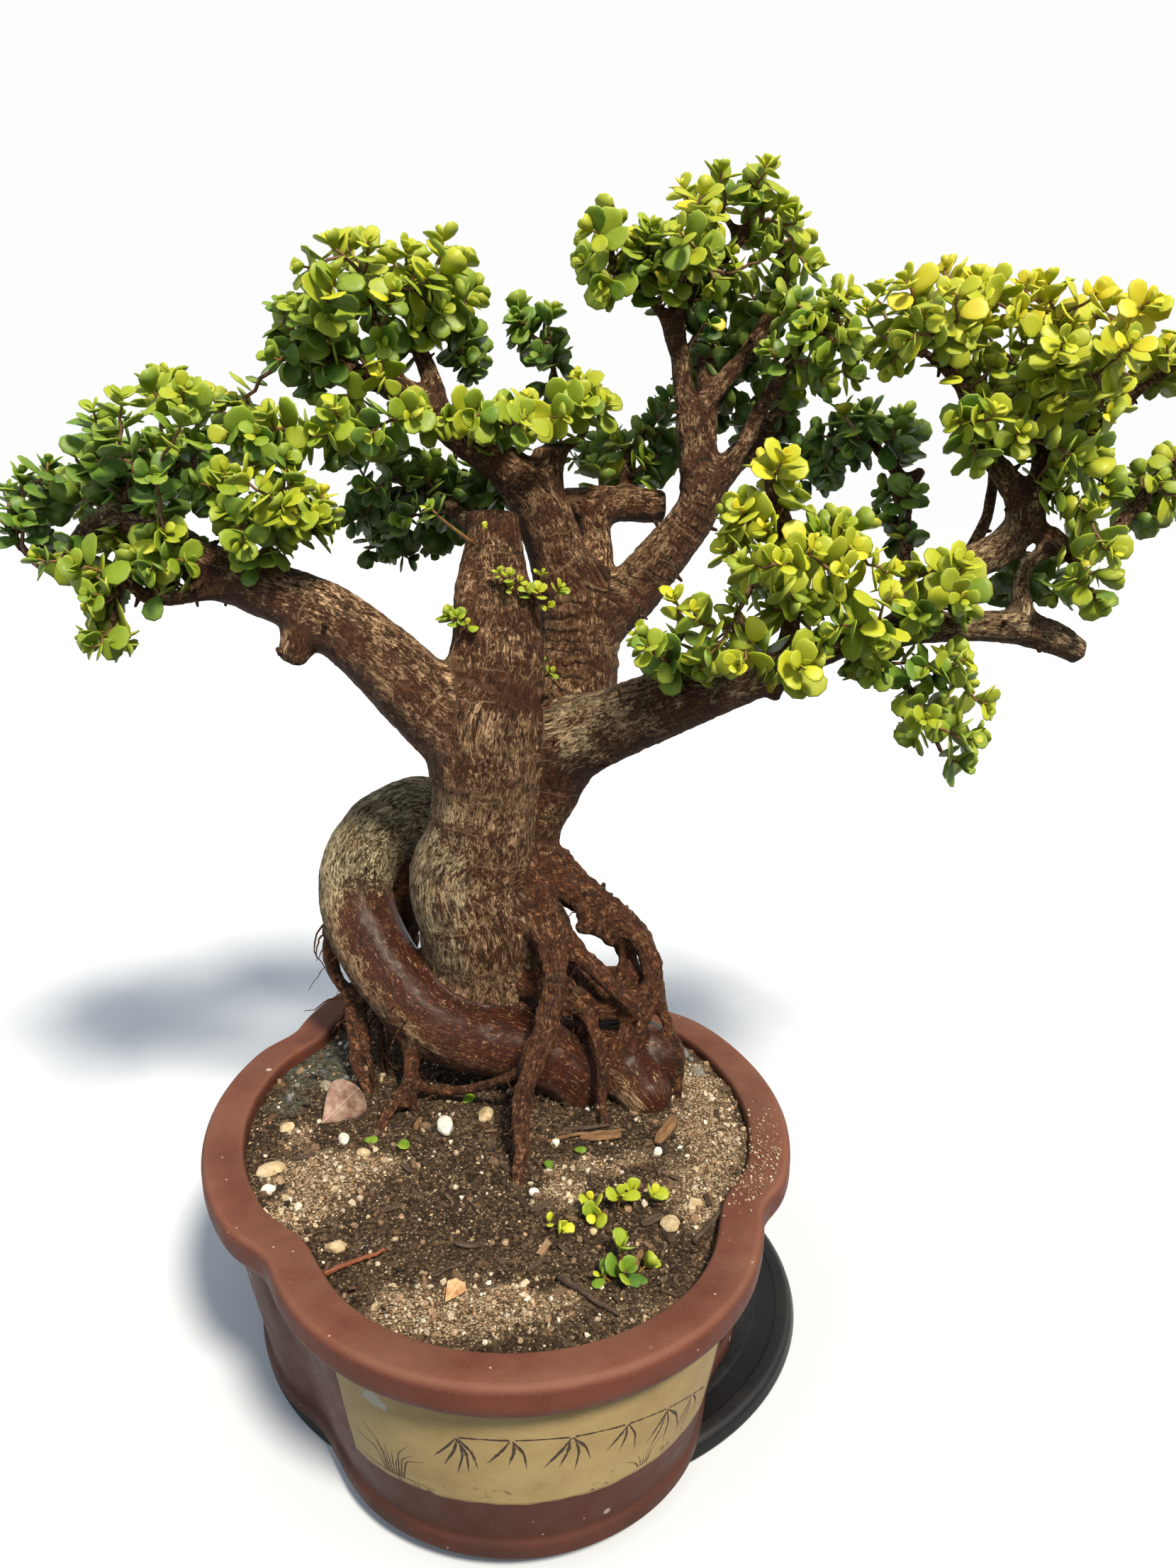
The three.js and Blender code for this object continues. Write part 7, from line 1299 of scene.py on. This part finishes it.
def grow_all():
    net_p, net_r, net_dir, net_id = [], [], [], []
    for L in LIMB:
        if L.kind in ("root", "curl", "trunk") or L.name in ("left_knob", "r_knob", "b1_stub", "dark_stub"): continue
        for i in range(0, len(L.P), 1):
            if L.P[i, 2] < 400 and L.name not in ("r_tail",): continue
            net_p.append(L.P[i, :3]); net_r.append(L.P[i, 3]); net_dir.append(L.T[i]); net_id.append(-1)
    net_p, net_r, net_dir, net_id = [list(x) for x in (net_p, net_r, net_dir, net_id)]
    jobs = []
    for ci, (node, ells) in enumerate(CLUSTERS):
        r = np.random.default_rng(1000 + ci)
        for e in ells:
            c = np.array(e[:3]); ax = np.array(e[3:6]); tone = e[6]
            axe = np.maximum(ax - (7.5, 7.5, 6.5), 4.0)
            ab, ac, bc = axe[0] * axe[1], axe[0] * axe[2], axe[1] * axe[2]
            area = 4 * np.pi * ((ab ** 1.6 + ac ** 1.6 + bc ** 1.6) / 3) ** (1 / 1.6)
            n = max(5, int(area / SHOOT_AREA))
            cand = r.normal(size=(60 * n, 3)); cand /= np.linalg.norm(cand, axis=1)[:, None]
            q = np.where(r.random(60 * n) < 0.80, r.uniform(0.80, 1.0, 60 * n), r.uniform(0.25, 0.8, 60 * n))
            loc = cand * q[:, None]; pts = c + (loc * axe) @ AX
            pick = [0]; dd = np.linalg.norm((pts - pts[0]), axis=1)
            for _ in range(n - 1):
                k = int(np.argmax(dd)); pick.append(k); dd = np.minimum(dd, np.linalg.norm(pts - pts[k], axis=1))
            for k in pick:
                g = unit((loc[k] / axe) @ AX)
                jobs.append((node, ci, pts[k], g, tone, q[k], loc[k]))
    P0 = np.array(net_p)
    dist = np.array([np.min(np.linalg.norm(P0 - j[2], axis=1)) for j in jobs])
    order = np.argsort(dist, kind="stable")
    bags = {node: Leaves() for node, _ in CLUSTERS}
    NP = np.zeros((len(net_p) + 12 * len(jobs), 3)); ND = np.zeros_like(NP); NR = np.zeros(len(NP)); NI = np.full(len(NP), -1); NT = np.zeros(len(NP))
    m = len(net_p); NP[:m] = net_p; ND[:m] = net_dir; NR[:m] = net_r
    shoots = []
    rr = np.random.default_rng(77)
    for oi in order:
        node, ci, tip, g, tone, q, loc = jobs[oi]
        d = tip - NP[:m]; L = np.linalg.norm(d, axis=1)
        cost = L + 14.0 * (1 - (d * ND[:m]).sum(1) / (L + 1e-6)) + np.where(L < 14, 40 - 2 * L, 0) + NT[:m]
        i = int(np.argmin(cost)); a = NP[i]; L0 = L[i]
        up = np.array([0, 0, 1.0])
        dirt = unit(g * 0.9 + up * (0.62 if g[2] > -0.3 else 0.25) + 0.25 * unit(tip - a) + 0.30 * rr.normal(size=3))
        start = unit(unit(tip - a) * 0.8 + ND[i] * 0.45 + 0.25 * rr.normal(size=3) + up * 0.10)
        nseg = max(4, min(11, int(L0 / 6) + 2))
        path = hermite(a, tip, start, dirt, nseg)
        wob = rr.normal(size=(nseg, 3)) * 0.9; wob[0] = 0; path = path + wob
        sid = len(shoots); parent = NI[i]
        shoots.append([node, path, parent, 1, tone, g, q, i, L0])
        k = parent
        while k >= 0: shoots[k][3] += 1; k = shoots[k][2]
        T = np.gradient(path, axis=0); T /= np.linalg.norm(T, axis=1)[:, None] + 1e-9
        s_ = np.concatenate([[0], np.cumsum(np.linalg.norm(np.diff(path, axis=0), axis=1))])
        ok = np.where((s_ > 4) & (s_ < s_[-1] - 11))[0]
        NP[m:m + len(ok)] = path[ok]; ND[m:m + len(ok)] = T[ok]; NI[m:m + len(ok)] = sid; NT[m:m + len(ok)] = 3.0; m += len(ok)
    for node, path, parent, kids, tone, g, q, i, L0 in shoots:
        bag = bags[node]
        r0 = min(0.85 + 0.42 * math.sqrt(kids), 3.0); t = np.linspace(0, 1, len(path))
        bag.tubes.append((path, (r0 * (1 - t) + 0.72 * t), 1.0))
        # painted light and shade: a shoot is lighter where it points up and towards the sun, darker deep in the cluster
        tn = tone + 0.10 * g[2] + 0.06 * (g @ SUN) - 0.10 * (1 - q)
        n_pairs = int(rr.integers(5, 8)) if q > 0.6 else int(rr.integers(4, 7))
        tl = float(np.sum(np.linalg.norm(np.diff(path, axis=0), axis=1)))
        grow_shoot(bag, path, rr, tn, size=rr.uniform(0.94, 1.20), pairs=min(n_pairs, 2 + int(tl / 5.0)))
    total = 0
    for node, bag in bags.items():
        total += len(bag.rows)
        tones = [e[6] for e in dict(CLUSTERS)[node]]
        slot = "leaf_shade" if "back" in node else ("leaf_sunny" if tones[0] >= 0.65 else "leaf_green")
        bag.build(node.replace("leaves_", "foliage_"), node, slot)
    say("shoots", len(shoots), "leaves", total)
SHOOT_AREA = 1000.0
grow_all()

def sprout(node, spots, seed, tone):
    r = np.random.default_rng(seed); bag = Leaves()
    for at, d, size, pairs, ln in spots:
        at = np.array(at, float); d = unit(np.array(d, float)); path = hermite(at, at + d * ln + np.array([0, 0, ln * 0.25]), d, unit(d + np.array([0, 0, 0.8])), 5)
        bag.tubes.append((path, np.linspace(0.95, 0.6, 5), 1.0)); grow_shoot(bag, path, r, tone, size=size, pairs=pairs)
    bag.build(node.replace("sprout_", "tuft_"), node, "young_leaf")
# ------------------------------------------------------------------ tufts on the wood, seedlings, loose things
sprout("sprout_stub_left", [((-13.0, 57.1, 442.0), (-0.92, -0.04, 0.4), 0.80, 3, 11), ((-14.2, 53.2, 444.0), (-0.53, -0.72, 0.5), 0.70, 3, 8), ((-12.5, 50.9, 441.3), (0.04, -0.92, 0.3), 0.72, 2, 7), ((-15.6, 61.6, 443.9), (-0.97, 0.27, 0.5), 0.55, 2, 8)], 301, 0.55)
sprout("sprout_stub_front", [((14.7, 48.2, 470.7), (-0.14, -0.79, 0.6), 0.50, 3, 6), ((12.0, 49.7, 472.5), (-0.71, -0.59, 0.5), 0.44, 3, 6), ((18.0, 47.6, 469.3), (0.47, -0.79, 0.2), 0.46, 2, 5), ((14.7, 48.2, 467.9), (-0.06, -0.9, -0.2), 0.46, 2, 5)], 302, 0.62)
sprout("sprout_stub_right", [((29.2, 55.8, 457.3), (-0.42, -0.64, 0.6), 0.62, 3, 9), ((32.3, 57.3, 457.1), (0.06, -0.82, 0.5), 0.68, 3, 10), ((34.8, 60.9, 457.6), (0.05, -0.31, 1.0), 0.60, 2, 14), ((38.3, 64.4, 456.2), (0.7, -0.63, 0.5), 0.66, 3, 14), ((35.5, 58.8, 453.9), (0.36, -0.87, -0.1), 0.60, 2, 9)], 303, 0.62)
sprout("sprout_fork", [((36.8, 68.7, 408.3), (-0.42, -0.64, 0.6), 0.5, 2, 6), ((40.3, 72.1, 407.6), (0.57, -0.81, 0.3), 0.52, 3, 6), ((38.1, 70.5, 410.5), (-0.09, -0.49, 0.9), 0.5, 2, 7)], 304, 0.55)
# a short sprig that leans out of the stub's upper left edge, and a single young pair below it
bag_ = Leaves(); r_ = np.random.default_rng(305)
for at_, d_, ln_, sz_, pr_, tn_ in (((-5.0, 66.0, 492.0), (-0.80, -0.22, 0.66), 36, 0.98, 3, 0.42), ((1.0, 54.0, 499.0), (-0.10, -0.75, 0.65), 5, 0.62, 1, 0.62)):
    p_ = hermite(np.array(at_), np.array(at_) + unit(np.array(d_)) * ln_, unit(np.array(d_)), unit(np.array(d_) + (0, 0, 0.2)), 6)
    bag_.tubes.append((p_, np.linspace(1.5, 0.8, 6) * (1 if ln_ > 10 else 0.6), 1.0)); grow_shoot(bag_, p_, r_, tn_, size=sz_, pairs=pr_)

def plantlets(name, node, spots, seed):
    r = np.random.default_rng(seed); bag = Leaves()
    for x, y, d, size, pairs, ln, tone in spots:
        z = float(soil_height(np.array([x]), np.array([y]))[0]); at = np.array([x, y, z - 1.5]); d = unit(np.array(d, float))
        path = hermite(at, at + d * ln, unit(d + np.array([0, 0, 0.6])), d, 5)
        bag.tubes.append((path, np.linspace(0.85, 0.6, 5), 1.0)); grow_shoot(bag, path, r, tone, size=size * 1.40, pairs=pairs)
    if node: bag.build(name, node, "young_leaf")
    else:
        ob = bag.build_free(name)
def build_free(s, name):
    V, F, col, pos = s.arrays(); verts, tris, quads, cols, poss = [V], [F], [], [col], [pos]; o = len(V); nt_ = len(F)
    for path, rad, young in s.tubes:
        v, f, c, b = tube(path, rad, 5); verts.append(v); quads.append(f + o); tris.append(c + o); cc = np.zeros((len(v), 4)); cc[:, 0] = 1; cols.append(cc); poss.append(b * MM); o += len(v)
    q = np.concatenate(quads) if quads else np.zeros((0, 4), int); t = np.concatenate(tris)
    fm = np.concatenate([np.ones(len(q), int), np.zeros(nt_, int), np.ones(len(t) - nt_, int)])
    ob = make_mesh(name, np.concatenate(verts), [q, t], (LEAF, TWIG), fm, colors={"leaf": np.concatenate(cols)}, vectors={"leafpos": np.concatenate(poss)})
    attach(ob, "root"); return ob
Leaves.build_free = build_free
bag_.build_free("stub_sprig")
plantlets("seedlings_right", "seedling_right", [(46, -106, (-0.45, -0.3, 0.9), 0.78, 2, 9, 0.66), (45, -111, (-0.3, -0.7, 0.6), 0.72, 2, 7, 0.68), (57, -108, (0.1, -0.2, 1.0), 0.80, 2, 12, 0.60), (68, -101, (-0.2, -0.2, 1.0), 0.74, 2, 10, 0.66), (72, -103, (0.6, -0.3, 0.8), 0.74, 2, 10, 0.68)], 311)
plantlets("seedlings_front", "seedling_front", [(42, -168, (-0.6, -0.1, 0.8), 0.66, 2, 8, 0.42), (47, -164, (0.2, -0.5, 0.8), 0.84, 3, 10, 0.40), (49, -156, (0.1, 0.1, 1.0), 0.82, 2, 12, 0.50), (57, -162, (0.8, 0.1, 0.7), 0.70, 2, 8, 0.62)], 312)
plantlets("seedling_small", None, [(16, -116, (0.1, -0.5, 0.8), 0.62, 1, 5, 0.72), (19, -119, (0.5, -0.5, 0.6), 0.60, 2, 5, 0.66)], 313)

def loose_leaves():
    bag = Leaves(); r = np.random.default_rng(314)
    for x, y, size, tone, dz in ((-86, -15, 10, 0.45, 0.8), (-62, -22, 12, 0.50, 0.8), (-22, 12, 11, 0.45, 0.8), (24, -68, 9, 0.35, 1.0), (41, -48, 9, 0.4, 1.0), (-58, -30, 9, 0.4, 0.9)):
        z = float(soil_height(np.array([x]), np.array([y]))[0]) + dz; a = r.uniform(0, 6.28)
        bag.leaf((x, y, z), (math.cos(a), math.sin(a), 0.18), (r.normal() * 0.2, -0.35, 1), size, size * 0.72, tone, 0.1, 0.12, 1.4, 0)
    # one fallen leaf on the big curved root
    bag.leaf((4, 47, 157.5), (-0.75, -0.25, 0.15), (0, -0.72, 0.68), 17, 13, 0.5, 0.05, 0.12, 1.8, 0.02)
    bag.build_free("fallen_leaves")
loose_leaves()

def stone_material(name, c1, c2, c3, rough=0.72):
    m, nt, bs = material(name); n = N(nt); co = n.coords()
    g = n.noise(n.mapping(co, (160, 160, 160)), 1, 6, 0.65); f = n.noise(n.mapping(co, (900, 900, 900)), 1, 4, 0.65)
    base = n.ramp(g, [(0.32, c1), (0.52, c2), (0.72, c3)]); base = n.mix(n.math("MULTIPLY", n.step(f, 0.55, 0.72), 0.5), base, tuple(0.45 * v for v in c1))
    n.link(base, bs.inputs["Base Color"]); bs.inputs["Roughness"].default_value = rough; bs.inputs["Specular IOR Level"].default_value = 0.35
    n.link(n.bump(n.math("ADD", f, g), 0.5, 0.0006), bs.inputs["Normal"]); return m
WHITE = stone_material("white_pumice", (0.55, 0.50, 0.40), (0.78, 0.74, 0.64), (0.88, 0.86, 0.80))
SANDY = stone_material("sandstone_bit", (0.34, 0.24, 0.13), (0.58, 0.45, 0.27), (0.74, 0.62, 0.42))
GREY = stone_material("grey_gravel", (0.10, 0.105, 0.105), (0.17, 0.18, 0.18), (0.27, 0.27, 0.25))
def stone(name, node, x, y, a, b, c, turn, mat, seed, lift=0.5, sharp=0.2):
    bm = bmesh.new(); bmesh.ops.create_icosphere(bm, subdivisions=4, radius=1)
    V = np.array([v.co[:] for v in bm.verts]); F = np.array([[v.index for v in f.verts] for f in bm.faces]); bm.free()
    r = np.random.default_rng(seed)
    for _ in range(9):      # knocked-off flats
        d = unit(r.normal(size=3)); h = r.uniform(0.70, 0.95); k = V @ d; over = np.maximum(k - h, 0); V = V - over[:, None] * d * (0.9 if sharp else 0.5)
    V *= 1 + 0.05 * fbm(V * 2.3 + seed, 3)[:, None]; V *= (a, b, c)
    ca, sa = math.cos(turn), math.sin(turn); V = V @ np.array([[ca, sa, 0], [-sa, ca, 0], [0, 0, 1]])
    z = float(soil_height(np.array([x]), np.array([y]), False)[0]); V += (x, y, z + lift * c)
    ob = make_mesh(name, V, [F], (mat,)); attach(ob, "root")
    if node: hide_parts(node)
    return ob
stone("pebble_white", "white_pebble", -35, -13, 5.8, 9.8, 4.8, 0.1, WHITE, 41, 0.6, 0.5)
stone("pebble_tan", "tan_pebble", -9, -6, 4.6, 7.8, 4.2, -0.4, SANDY, 42, 0.6, 0.5)
stone("stone_pale", "pale_stone", -141, -37, 9.6, 6.6, 3.4, 0.35, SANDY, 43, 0.35)
stone("stone_round", "round_stone", 83, -127, 6.3, 5.5, 4.4, 0.8, SANDY, 44, 0.35)
stone("stone_grey", "grey_stone", 133, 57, 8.5, 7.0, 5.2, 0.5, GREY, 45, 0.4)
for k, (x, y, a, b, c, mat) in enumerate(((-100, -118, 6.2, 4.6, 3.6, SANDY), (-134, 8, 5.5, 4.0, 3.0, SANDY), (-98, -12, 6.0, 3.4, 2.8, WHITE), (-86, -30, 5.0, 3.4, 3.2, SANDY), (-140, -58, 4.6, 3.8, 3.0, WHITE),
                                         (31, -40, 4.0, 3.0, 2.6, WHITE), (12, -86, 3.6, 3.0, 2.6, WHITE), (66, -38, 3.6, 2.6, 2.4, WHITE), (92, -58, 3.6, 3.0, 2.6, WHITE), (120, 84, 7.0, 5.0, 4.4, GREY), (142, 34, 5.0, 4.4, 3.6, GREY),
                                         (101, -112, 5.2, 4.4, 3.4, SANDY), (40, -126, 2.4, 2.2, 2.0, SANDY), (-96, 110, 6, 5, 4, GREY), (-126, 122, 5, 4, 3.4, SANDY), (-20, 196, 7, 5, 4, GREY), (70, 190, 5, 4, 3.5, SANDY))):
    stone("small_stone_%02d" % k, None, x, y, a, b, c, k * 0.9, mat, 60 + k, 0.35)

def wood_bit_material(name, c1, c2, c3):
    m, nt, bs = material(name); n = N(nt); bk = n.attr("grain").outputs["Vector"]
    g = n.noise(n.mapping(bk, (90, 900, 900)), 1, 5, 0.68); f = n.noise(n.mapping(bk, (300, 2200, 2200)), 1, 4, 0.6)
    base = n.ramp(n.math("ADD", n.math("MULTIPLY", g, 0.65), n.math("MULTIPLY", f, 0.35)), [(0.34, c1), (0.52, c2), (0.70, c3)])
    n.link(base, bs.inputs["Base Color"]); bs.inputs["Roughness"].default_value = 0.75
    n.link(n.bump(n.math("ADD", g, f), 0.8, 0.0008), bs.inputs["Normal"]); return m
CHIP = wood_bit_material("bark_flake", (0.065, 0.028, 0.012), (0.22, 0.115, 0.048), (0.42, 0.25, 0.115))
REDT = wood_bit_material("red_stick", (0.10, 0.026, 0.012), (0.24, 0.068, 0.028), (0.40, 0.16, 0.075))
DARKT = wood_bit_material("dark_stick", (0.022, 0.013, 0.009), (0.075, 0.045, 0.027), (0.20, 0.13, 0.080))
def slab(name, node, x, y, ln, w, t, turn, tilt, mat, seed, lift=1.0):
    """split flake of wood: uneven edges, splintered ends, grain along it"""
    r = np.random.default_rng(seed); nu, nv = 40, 14; u = np.linspace(-1, 1, nu); a = np.linspace(0, 2 * np.pi, nv + 1)[:-1]
    wl = w * 0.5 * (1 - 0.55 * np.abs(u) ** 3) * (1 + 0.16 * noise3(np.stack([u * 3 + seed, 0 * u, 0 * u], 1))); tl = t * 0.5 * (1 - 0.4 * np.abs(u) ** 4)
    cx = np.sign(np.cos(a)) * np.abs(np.cos(a)) ** 0.5; cz = np.sign(np.sin(a)) * np.abs(np.sin(a)) ** 0.6
    spl = 1 + 0.10 * noise3(np.stack([cx * 2.0 + seed, cz * 2.0, 0 * cx], 1))
    X = (u[:, None] * spl[None]) * ln / 2; Y = wl[:, None] * cx[None] + 0.35 * np.sin(u * 2.2 + seed)[:, None] * w * 0.18; Z = tl[:, None] * cz[None] + 0.25 * noise3(np.stack([X / 3, Y / 1.2, 0 * X + seed], -1)) + (u ** 2)[:, None] * t * 0.25
    V = np.stack([X, Y, Z], -1).reshape(-1, 3); G = V.copy(); F = grid_faces(nu, nv)
    V = np.vstack([V, V[:nv].mean(0) + (ln * 0.01, 0, 0), V[-nv:].mean(0) - (ln * 0.01, 0, 0)]); G = np.vstack([G, G[:nv].mean(0), G[-nv:].mean(0)]); n = nu * nv
    caps = [(k, n, (k + 1) % nv) for k in range(nv)] + [(n - nv + (k + 1) % nv, n + 1, n - nv + k) for k in range(nv)]
    ct, st = math.cos(tilt), math.sin(tilt); c, s = math.cos(turn), math.sin(turn)
    V = V @ np.array([[ct, 0, st], [0, 1, 0], [-st, 0, ct]]); V = V @ np.array([[c, s, 0], [-s, c, 0], [0, 0, 1]])
    z = float(soil_height(np.array([x]), np.array([y]))[0]); V += (x, y, z + t * 0.3 + abs(math.sin(tilt)) * ln * 0.35 + lift * 0.4)
    ob = make_mesh(name, V, [F, np.array(caps)], (mat,), vectors={"grain": G * MM}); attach(ob, "root")
    if node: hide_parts(node)
    return ob
slab("flake_left", "bark_chip_left", 60, -38, 26, 8.5, 3.2, -0.2, 0.1, CHIP, 71)
slab("flake_right", "bark_chip_right", 101, -40, 27, 8, 3.2, 0.95, 0.16, CHIP, 72)
slab("flake_long", None, 52, -27, 30, 3.4, 2.0, -0.05, 0.05, DARKT, 73)
for k, (x, y, ln, w, turn, mat) in enumerate(((0, -62, 18, 3.4, -0.9, DARKT), (14, -100, 15, 5.5, 0.5, DARKT), (-8, -36, 13, 5, 1.2, DARKT), (74, -122, 15, 6.5, 0.4, DARKT), (-52, -6, 14, 3.6, 1.3, CHIP), (22, -140, 12, 3.2, 2.2, DARKT),
                                          (-70, -88, 14, 4.5, 0.2, DARKT), (-122, -28, 15, 4, 0.1, DARKT), (60, -152, 13, 3.5, 1.1, CHIP), (98, -86, 12, 3, 2.6, DARKT), (-30, -128, 13, 4, 2.9, DARKT), (4, -150, 12, 3, 0.7, DARKT), (-60, -52, 12, 3.4, 2.2, DARKT), (40, 186, 20, 6, 0.6, CHIP), (-60, 176, 18, 5, 2.0, DARKT), (110, 110, 18, 5, 1.0, DARKT))):
    slab("mulch_%02d" % k, None, x, y, ln, w, 1.6, turn, 0.06, mat, 80 + k, 0.8)
def stick(name, node, pts, r0, r1, mat, seed):
    r = np.random.default_rng(seed); P = catmull([(*p, 1.0) for p in pts], lambda q: 1.6)[:, :3]; P[:, 2] = soil_height(P[:, 0], P[:, 1], False) + P[:, 2]
    P += 0.22 * r.normal(size=P.shape); k = len(P); rad = np.linspace(r0, r1, k) * (1 + 0.10 * r.normal(size=k))
    V, F, C, B = tube(P, rad, 9); ob = make_mesh(name, V, [F, C], (mat,), vectors={"grain": B[:, [2, 0, 1]] * MM}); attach(ob, "root")
    if node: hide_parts(node)
    return ob
stick("stick_red", "red_twig", [(-105, -141, 3.2), (-97, -137, 2.6), (-88, -133, 2.4), (-80, -131, 3.4), (-74, -129, 4.6)], 1.6, 0.9, REDT, 91)
stick("stick_dark", "dark_twig", [(16, -163, 3.0), (24, -174, 2.2), (32, -185, 2.0), (41, -195, 2.6)], 1.9, 1.1, DARKT, 92)
stick("stick_edge", None, [(92, -146, 3.0), (100, -138, 3.2), (108, -129, 3.6), (116, -121, 5.0)], 1.8, 1.1, DARKT, 93)
stick("stick_mid", None, [(26, -40, 2.0), (44, -36, 2.6), (64, -34, 2.2), (76, -33, 2.0)], 1.2, 0.8, CHIP, 94)
stick("stick_small", None, [(-48, -152, 1.6), (-40, -146, 1.8), (-30, -143, 1.4)], 0.8, 0.5, DARKT, 95)

def dry_leaf_material(name, c1, c2, c3):
    m, nt, bs = material(name); n = N(nt); u = n.sepxyz(n.attr("grain").outputs["Vector"]); co = n.coords()
    g = n.noise(n.mapping(co, (140, 140, 140)), 1, 5, 0.65); base = n.ramp(g, [(0.32, c1), (0.5, c2), (0.7, c3)])
    vein = n.step(n.math("ABSOLUTE", u[1]), 0.0011, 0.0003); base = n.mix(n.math("MULTIPLY", vein, 0.5), base, c3)
    n.link(base, bs.inputs["Base Color"]); bs.inputs["Roughness"].default_value = 0.6
    n.link(n.bump(n.math("ADD", g, n.math("MULTIPLY", vein, 0.8)), 0.5, 0.0009), bs.inputs["Normal"]); return m
DRY = dry_leaf_material("dry_leaf_skin", (0.17, 0.075, 0.050), (0.34, 0.205, 0.150), (0.50, 0.36, 0.27)); SCRAP = dry_leaf_material("leaf_scrap_skin", (0.33, 0.16, 0.065), (0.52, 0.30, 0.14), (0.66, 0.44, 0.24))
def dry(name, node, at, ln, w, R, curl, fold, mat, seed, tri=False):
    nu, nv = 30, 16; u = np.linspace(0, 1, nu)[:, None]; v = np.linspace(-1, 1, nv)[None]
    prof = np.sin(np.pi * np.clip(u, 0.001, 0.999) ** 1.25) ** 0.80 if not tri else np.clip(u * 1.25, 0.05, 1) ** 0.9 * (1 - 0.55 * np.clip(u - 0.72, 0, 1) / 0.28)
    X = (u - 0.5) * ln + 0 * v; Y = v * prof * w / 2
    Z = fold * np.abs(v) ** 1.6 * w * 0.5 * prof + curl * ((u - 0.5) ** 2) * ln + 0.7 * noise3(np.stack([X / 5 + seed, Y / 5, 0 * X], -1))
    P = np.stack([X, Y, Z], -1).reshape(-1, 3); th = 0.35; T = P.copy(); T[:, 2] += th; Bm = P; n = nu * nv
    F = grid_faces(nu, nv, False); per = [i for i in range(nv)] + [i * nv + nv - 1 for i in range(1, nu)] + [n - 1 - i for i in range(1, nv)] + [(nu - 1 - i) * nv for i in range(1, nu - 1)]
    V = np.vstack([T, Bm]); side = np.array([(per[(k + 1) % len(per)], per[k], per[k] + n, per[(k + 1) % len(per)] + n) for k in range(len(per))])
    G = V.copy(); V = V @ np.array(R).T + np.array(at)
    ob = make_mesh(name, V, [np.concatenate([F[:, ::-1], F + n, side[:, ::-1]])], (mat,), vectors={"grain": G * MM}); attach(ob, "root"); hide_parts(node)
def frame3(x, n):
    x = unit(np.array(x, float)); n = np.array(n, float); n = unit(n - x * (x @ n)); return np.stack([x, np.cross(n, x), n], 1)
zl = lambda x, y: float(soil_height(np.array([x]), np.array([y]), False)[0])
dry("leaf_dry", "dry_leaf", (-99, 11, zl(-99, 11) + 12.0), 34, 29, frame3((0.62, -0.02, 0.60), (0.10, -0.86, 0.52)), 0.55, -0.42, DRY, 5)
dry("leaf_bit", "leaf_scrap", (-40, -166, zl(-40, -166) + 2.2), 15, 12, frame3((0.55, 0.80, 0.10), (0.05, -0.3, 1)), 0.3, 0.22, SCRAP, 6, True)
say("debris")
# ------------------------------------------------------------------ floor, backdrop, light
def make_stage():
    bpy.ops.mesh.primitive_circle_add(vertices=160, radius=11.0, fill_type="NGON", location=(0, 0, -0.0006))
    fl = bpy.context.object; fl.name = "floor"
    m, nt, bs = material("pale_floor")
    bs.inputs["Base Color"].default_value = (0.63, 0.675, 0.74, 1); bs.inputs["Roughness"].default_value = 0.95
    bs.inputs["Specular IOR Level"].default_value = 0.1
    fl.data.materials.append(m); fl.visible_diffuse = False
    bpy.ops.mesh.primitive_uv_sphere_add(segments=64, ring_count=32, radius=10.8)
    bd = bpy.context.object; bd.name = "backdrop"
    m = bpy.data.materials.new("pale_backdrop"); m.use_nodes = True; nt = m.node_tree; nt.nodes.clear()
    o = nt.nodes.new("ShaderNodeOutputMaterial"); e = nt.nodes.new("ShaderNodeEmission"); nt.links.new(e.outputs[0], o.inputs[0])
    e.inputs[0].default_value = (1.0, 1.0, 1.0, 1); e.inputs[1].default_value = 0.985
    bd.data.materials.append(m)
    for k in ("visible_diffuse", "visible_glossy", "visible_transmission", "visible_volume_scatter", "visible_shadow"): setattr(bd, k, False)
    w = bpy.context.scene.world or bpy.data.worlds.new("world"); bpy.context.scene.world = w
    w.use_nodes = True; nt = w.node_tree; bg = nt.nodes.get("Background") or nt.nodes.new("ShaderNodeBackground"); n = N(nt)
    z = n.sepxyz(n.coords_world())[2]
    n.link(n.mix(n.step(z, -0.10, 0.22), (0.13, 0.115, 0.09), (0.88, 0.94, 1.0)), bg.inputs[0])
    bg.inputs[1].default_value = 0.54
    def sun(name, to, power, angle, color):
        l = bpy.data.lights.new(name, "SUN"); l.energy = power; l.angle = math.radians(angle); l.color = color
        o = bpy.data.objects.new(name, l); bpy.context.scene.collection.objects.link(o)
        o.rotation_euler = Vector(to).to_track_quat("-Z", "Y").to_euler(); return o
    def area(name, at, to, size, power, color):
        l = bpy.data.lights.new(name, "AREA"); l.shape = "DISK"; l.size = size; l.energy = power; l.color = color
        o = bpy.data.objects.new(name, l); bpy.context.scene.collection.objects.link(o)
        o.location = at; o.rotation_euler = (Vector(to) - Vector(at)).to_track_quat("-Z", "Y").to_euler()
        return o
    c = (0.0, 0.05, 0.4)
    sun("key", (-0.20, 0.58, -0.79), 5.0, 10, (1.0, 0.90, 0.74))
    area("fill", (-1.7, -1.7, 1.2), c, 1.4, 9, (0.86, 0.93, 1.0))
    vs = bpy.context.scene.view_settings
    vs.view_transform = "Standard"; vs.look = "None"; vs.exposure = 0.0; vs.gamma = 1.0
make_stage()

say("pieces made")
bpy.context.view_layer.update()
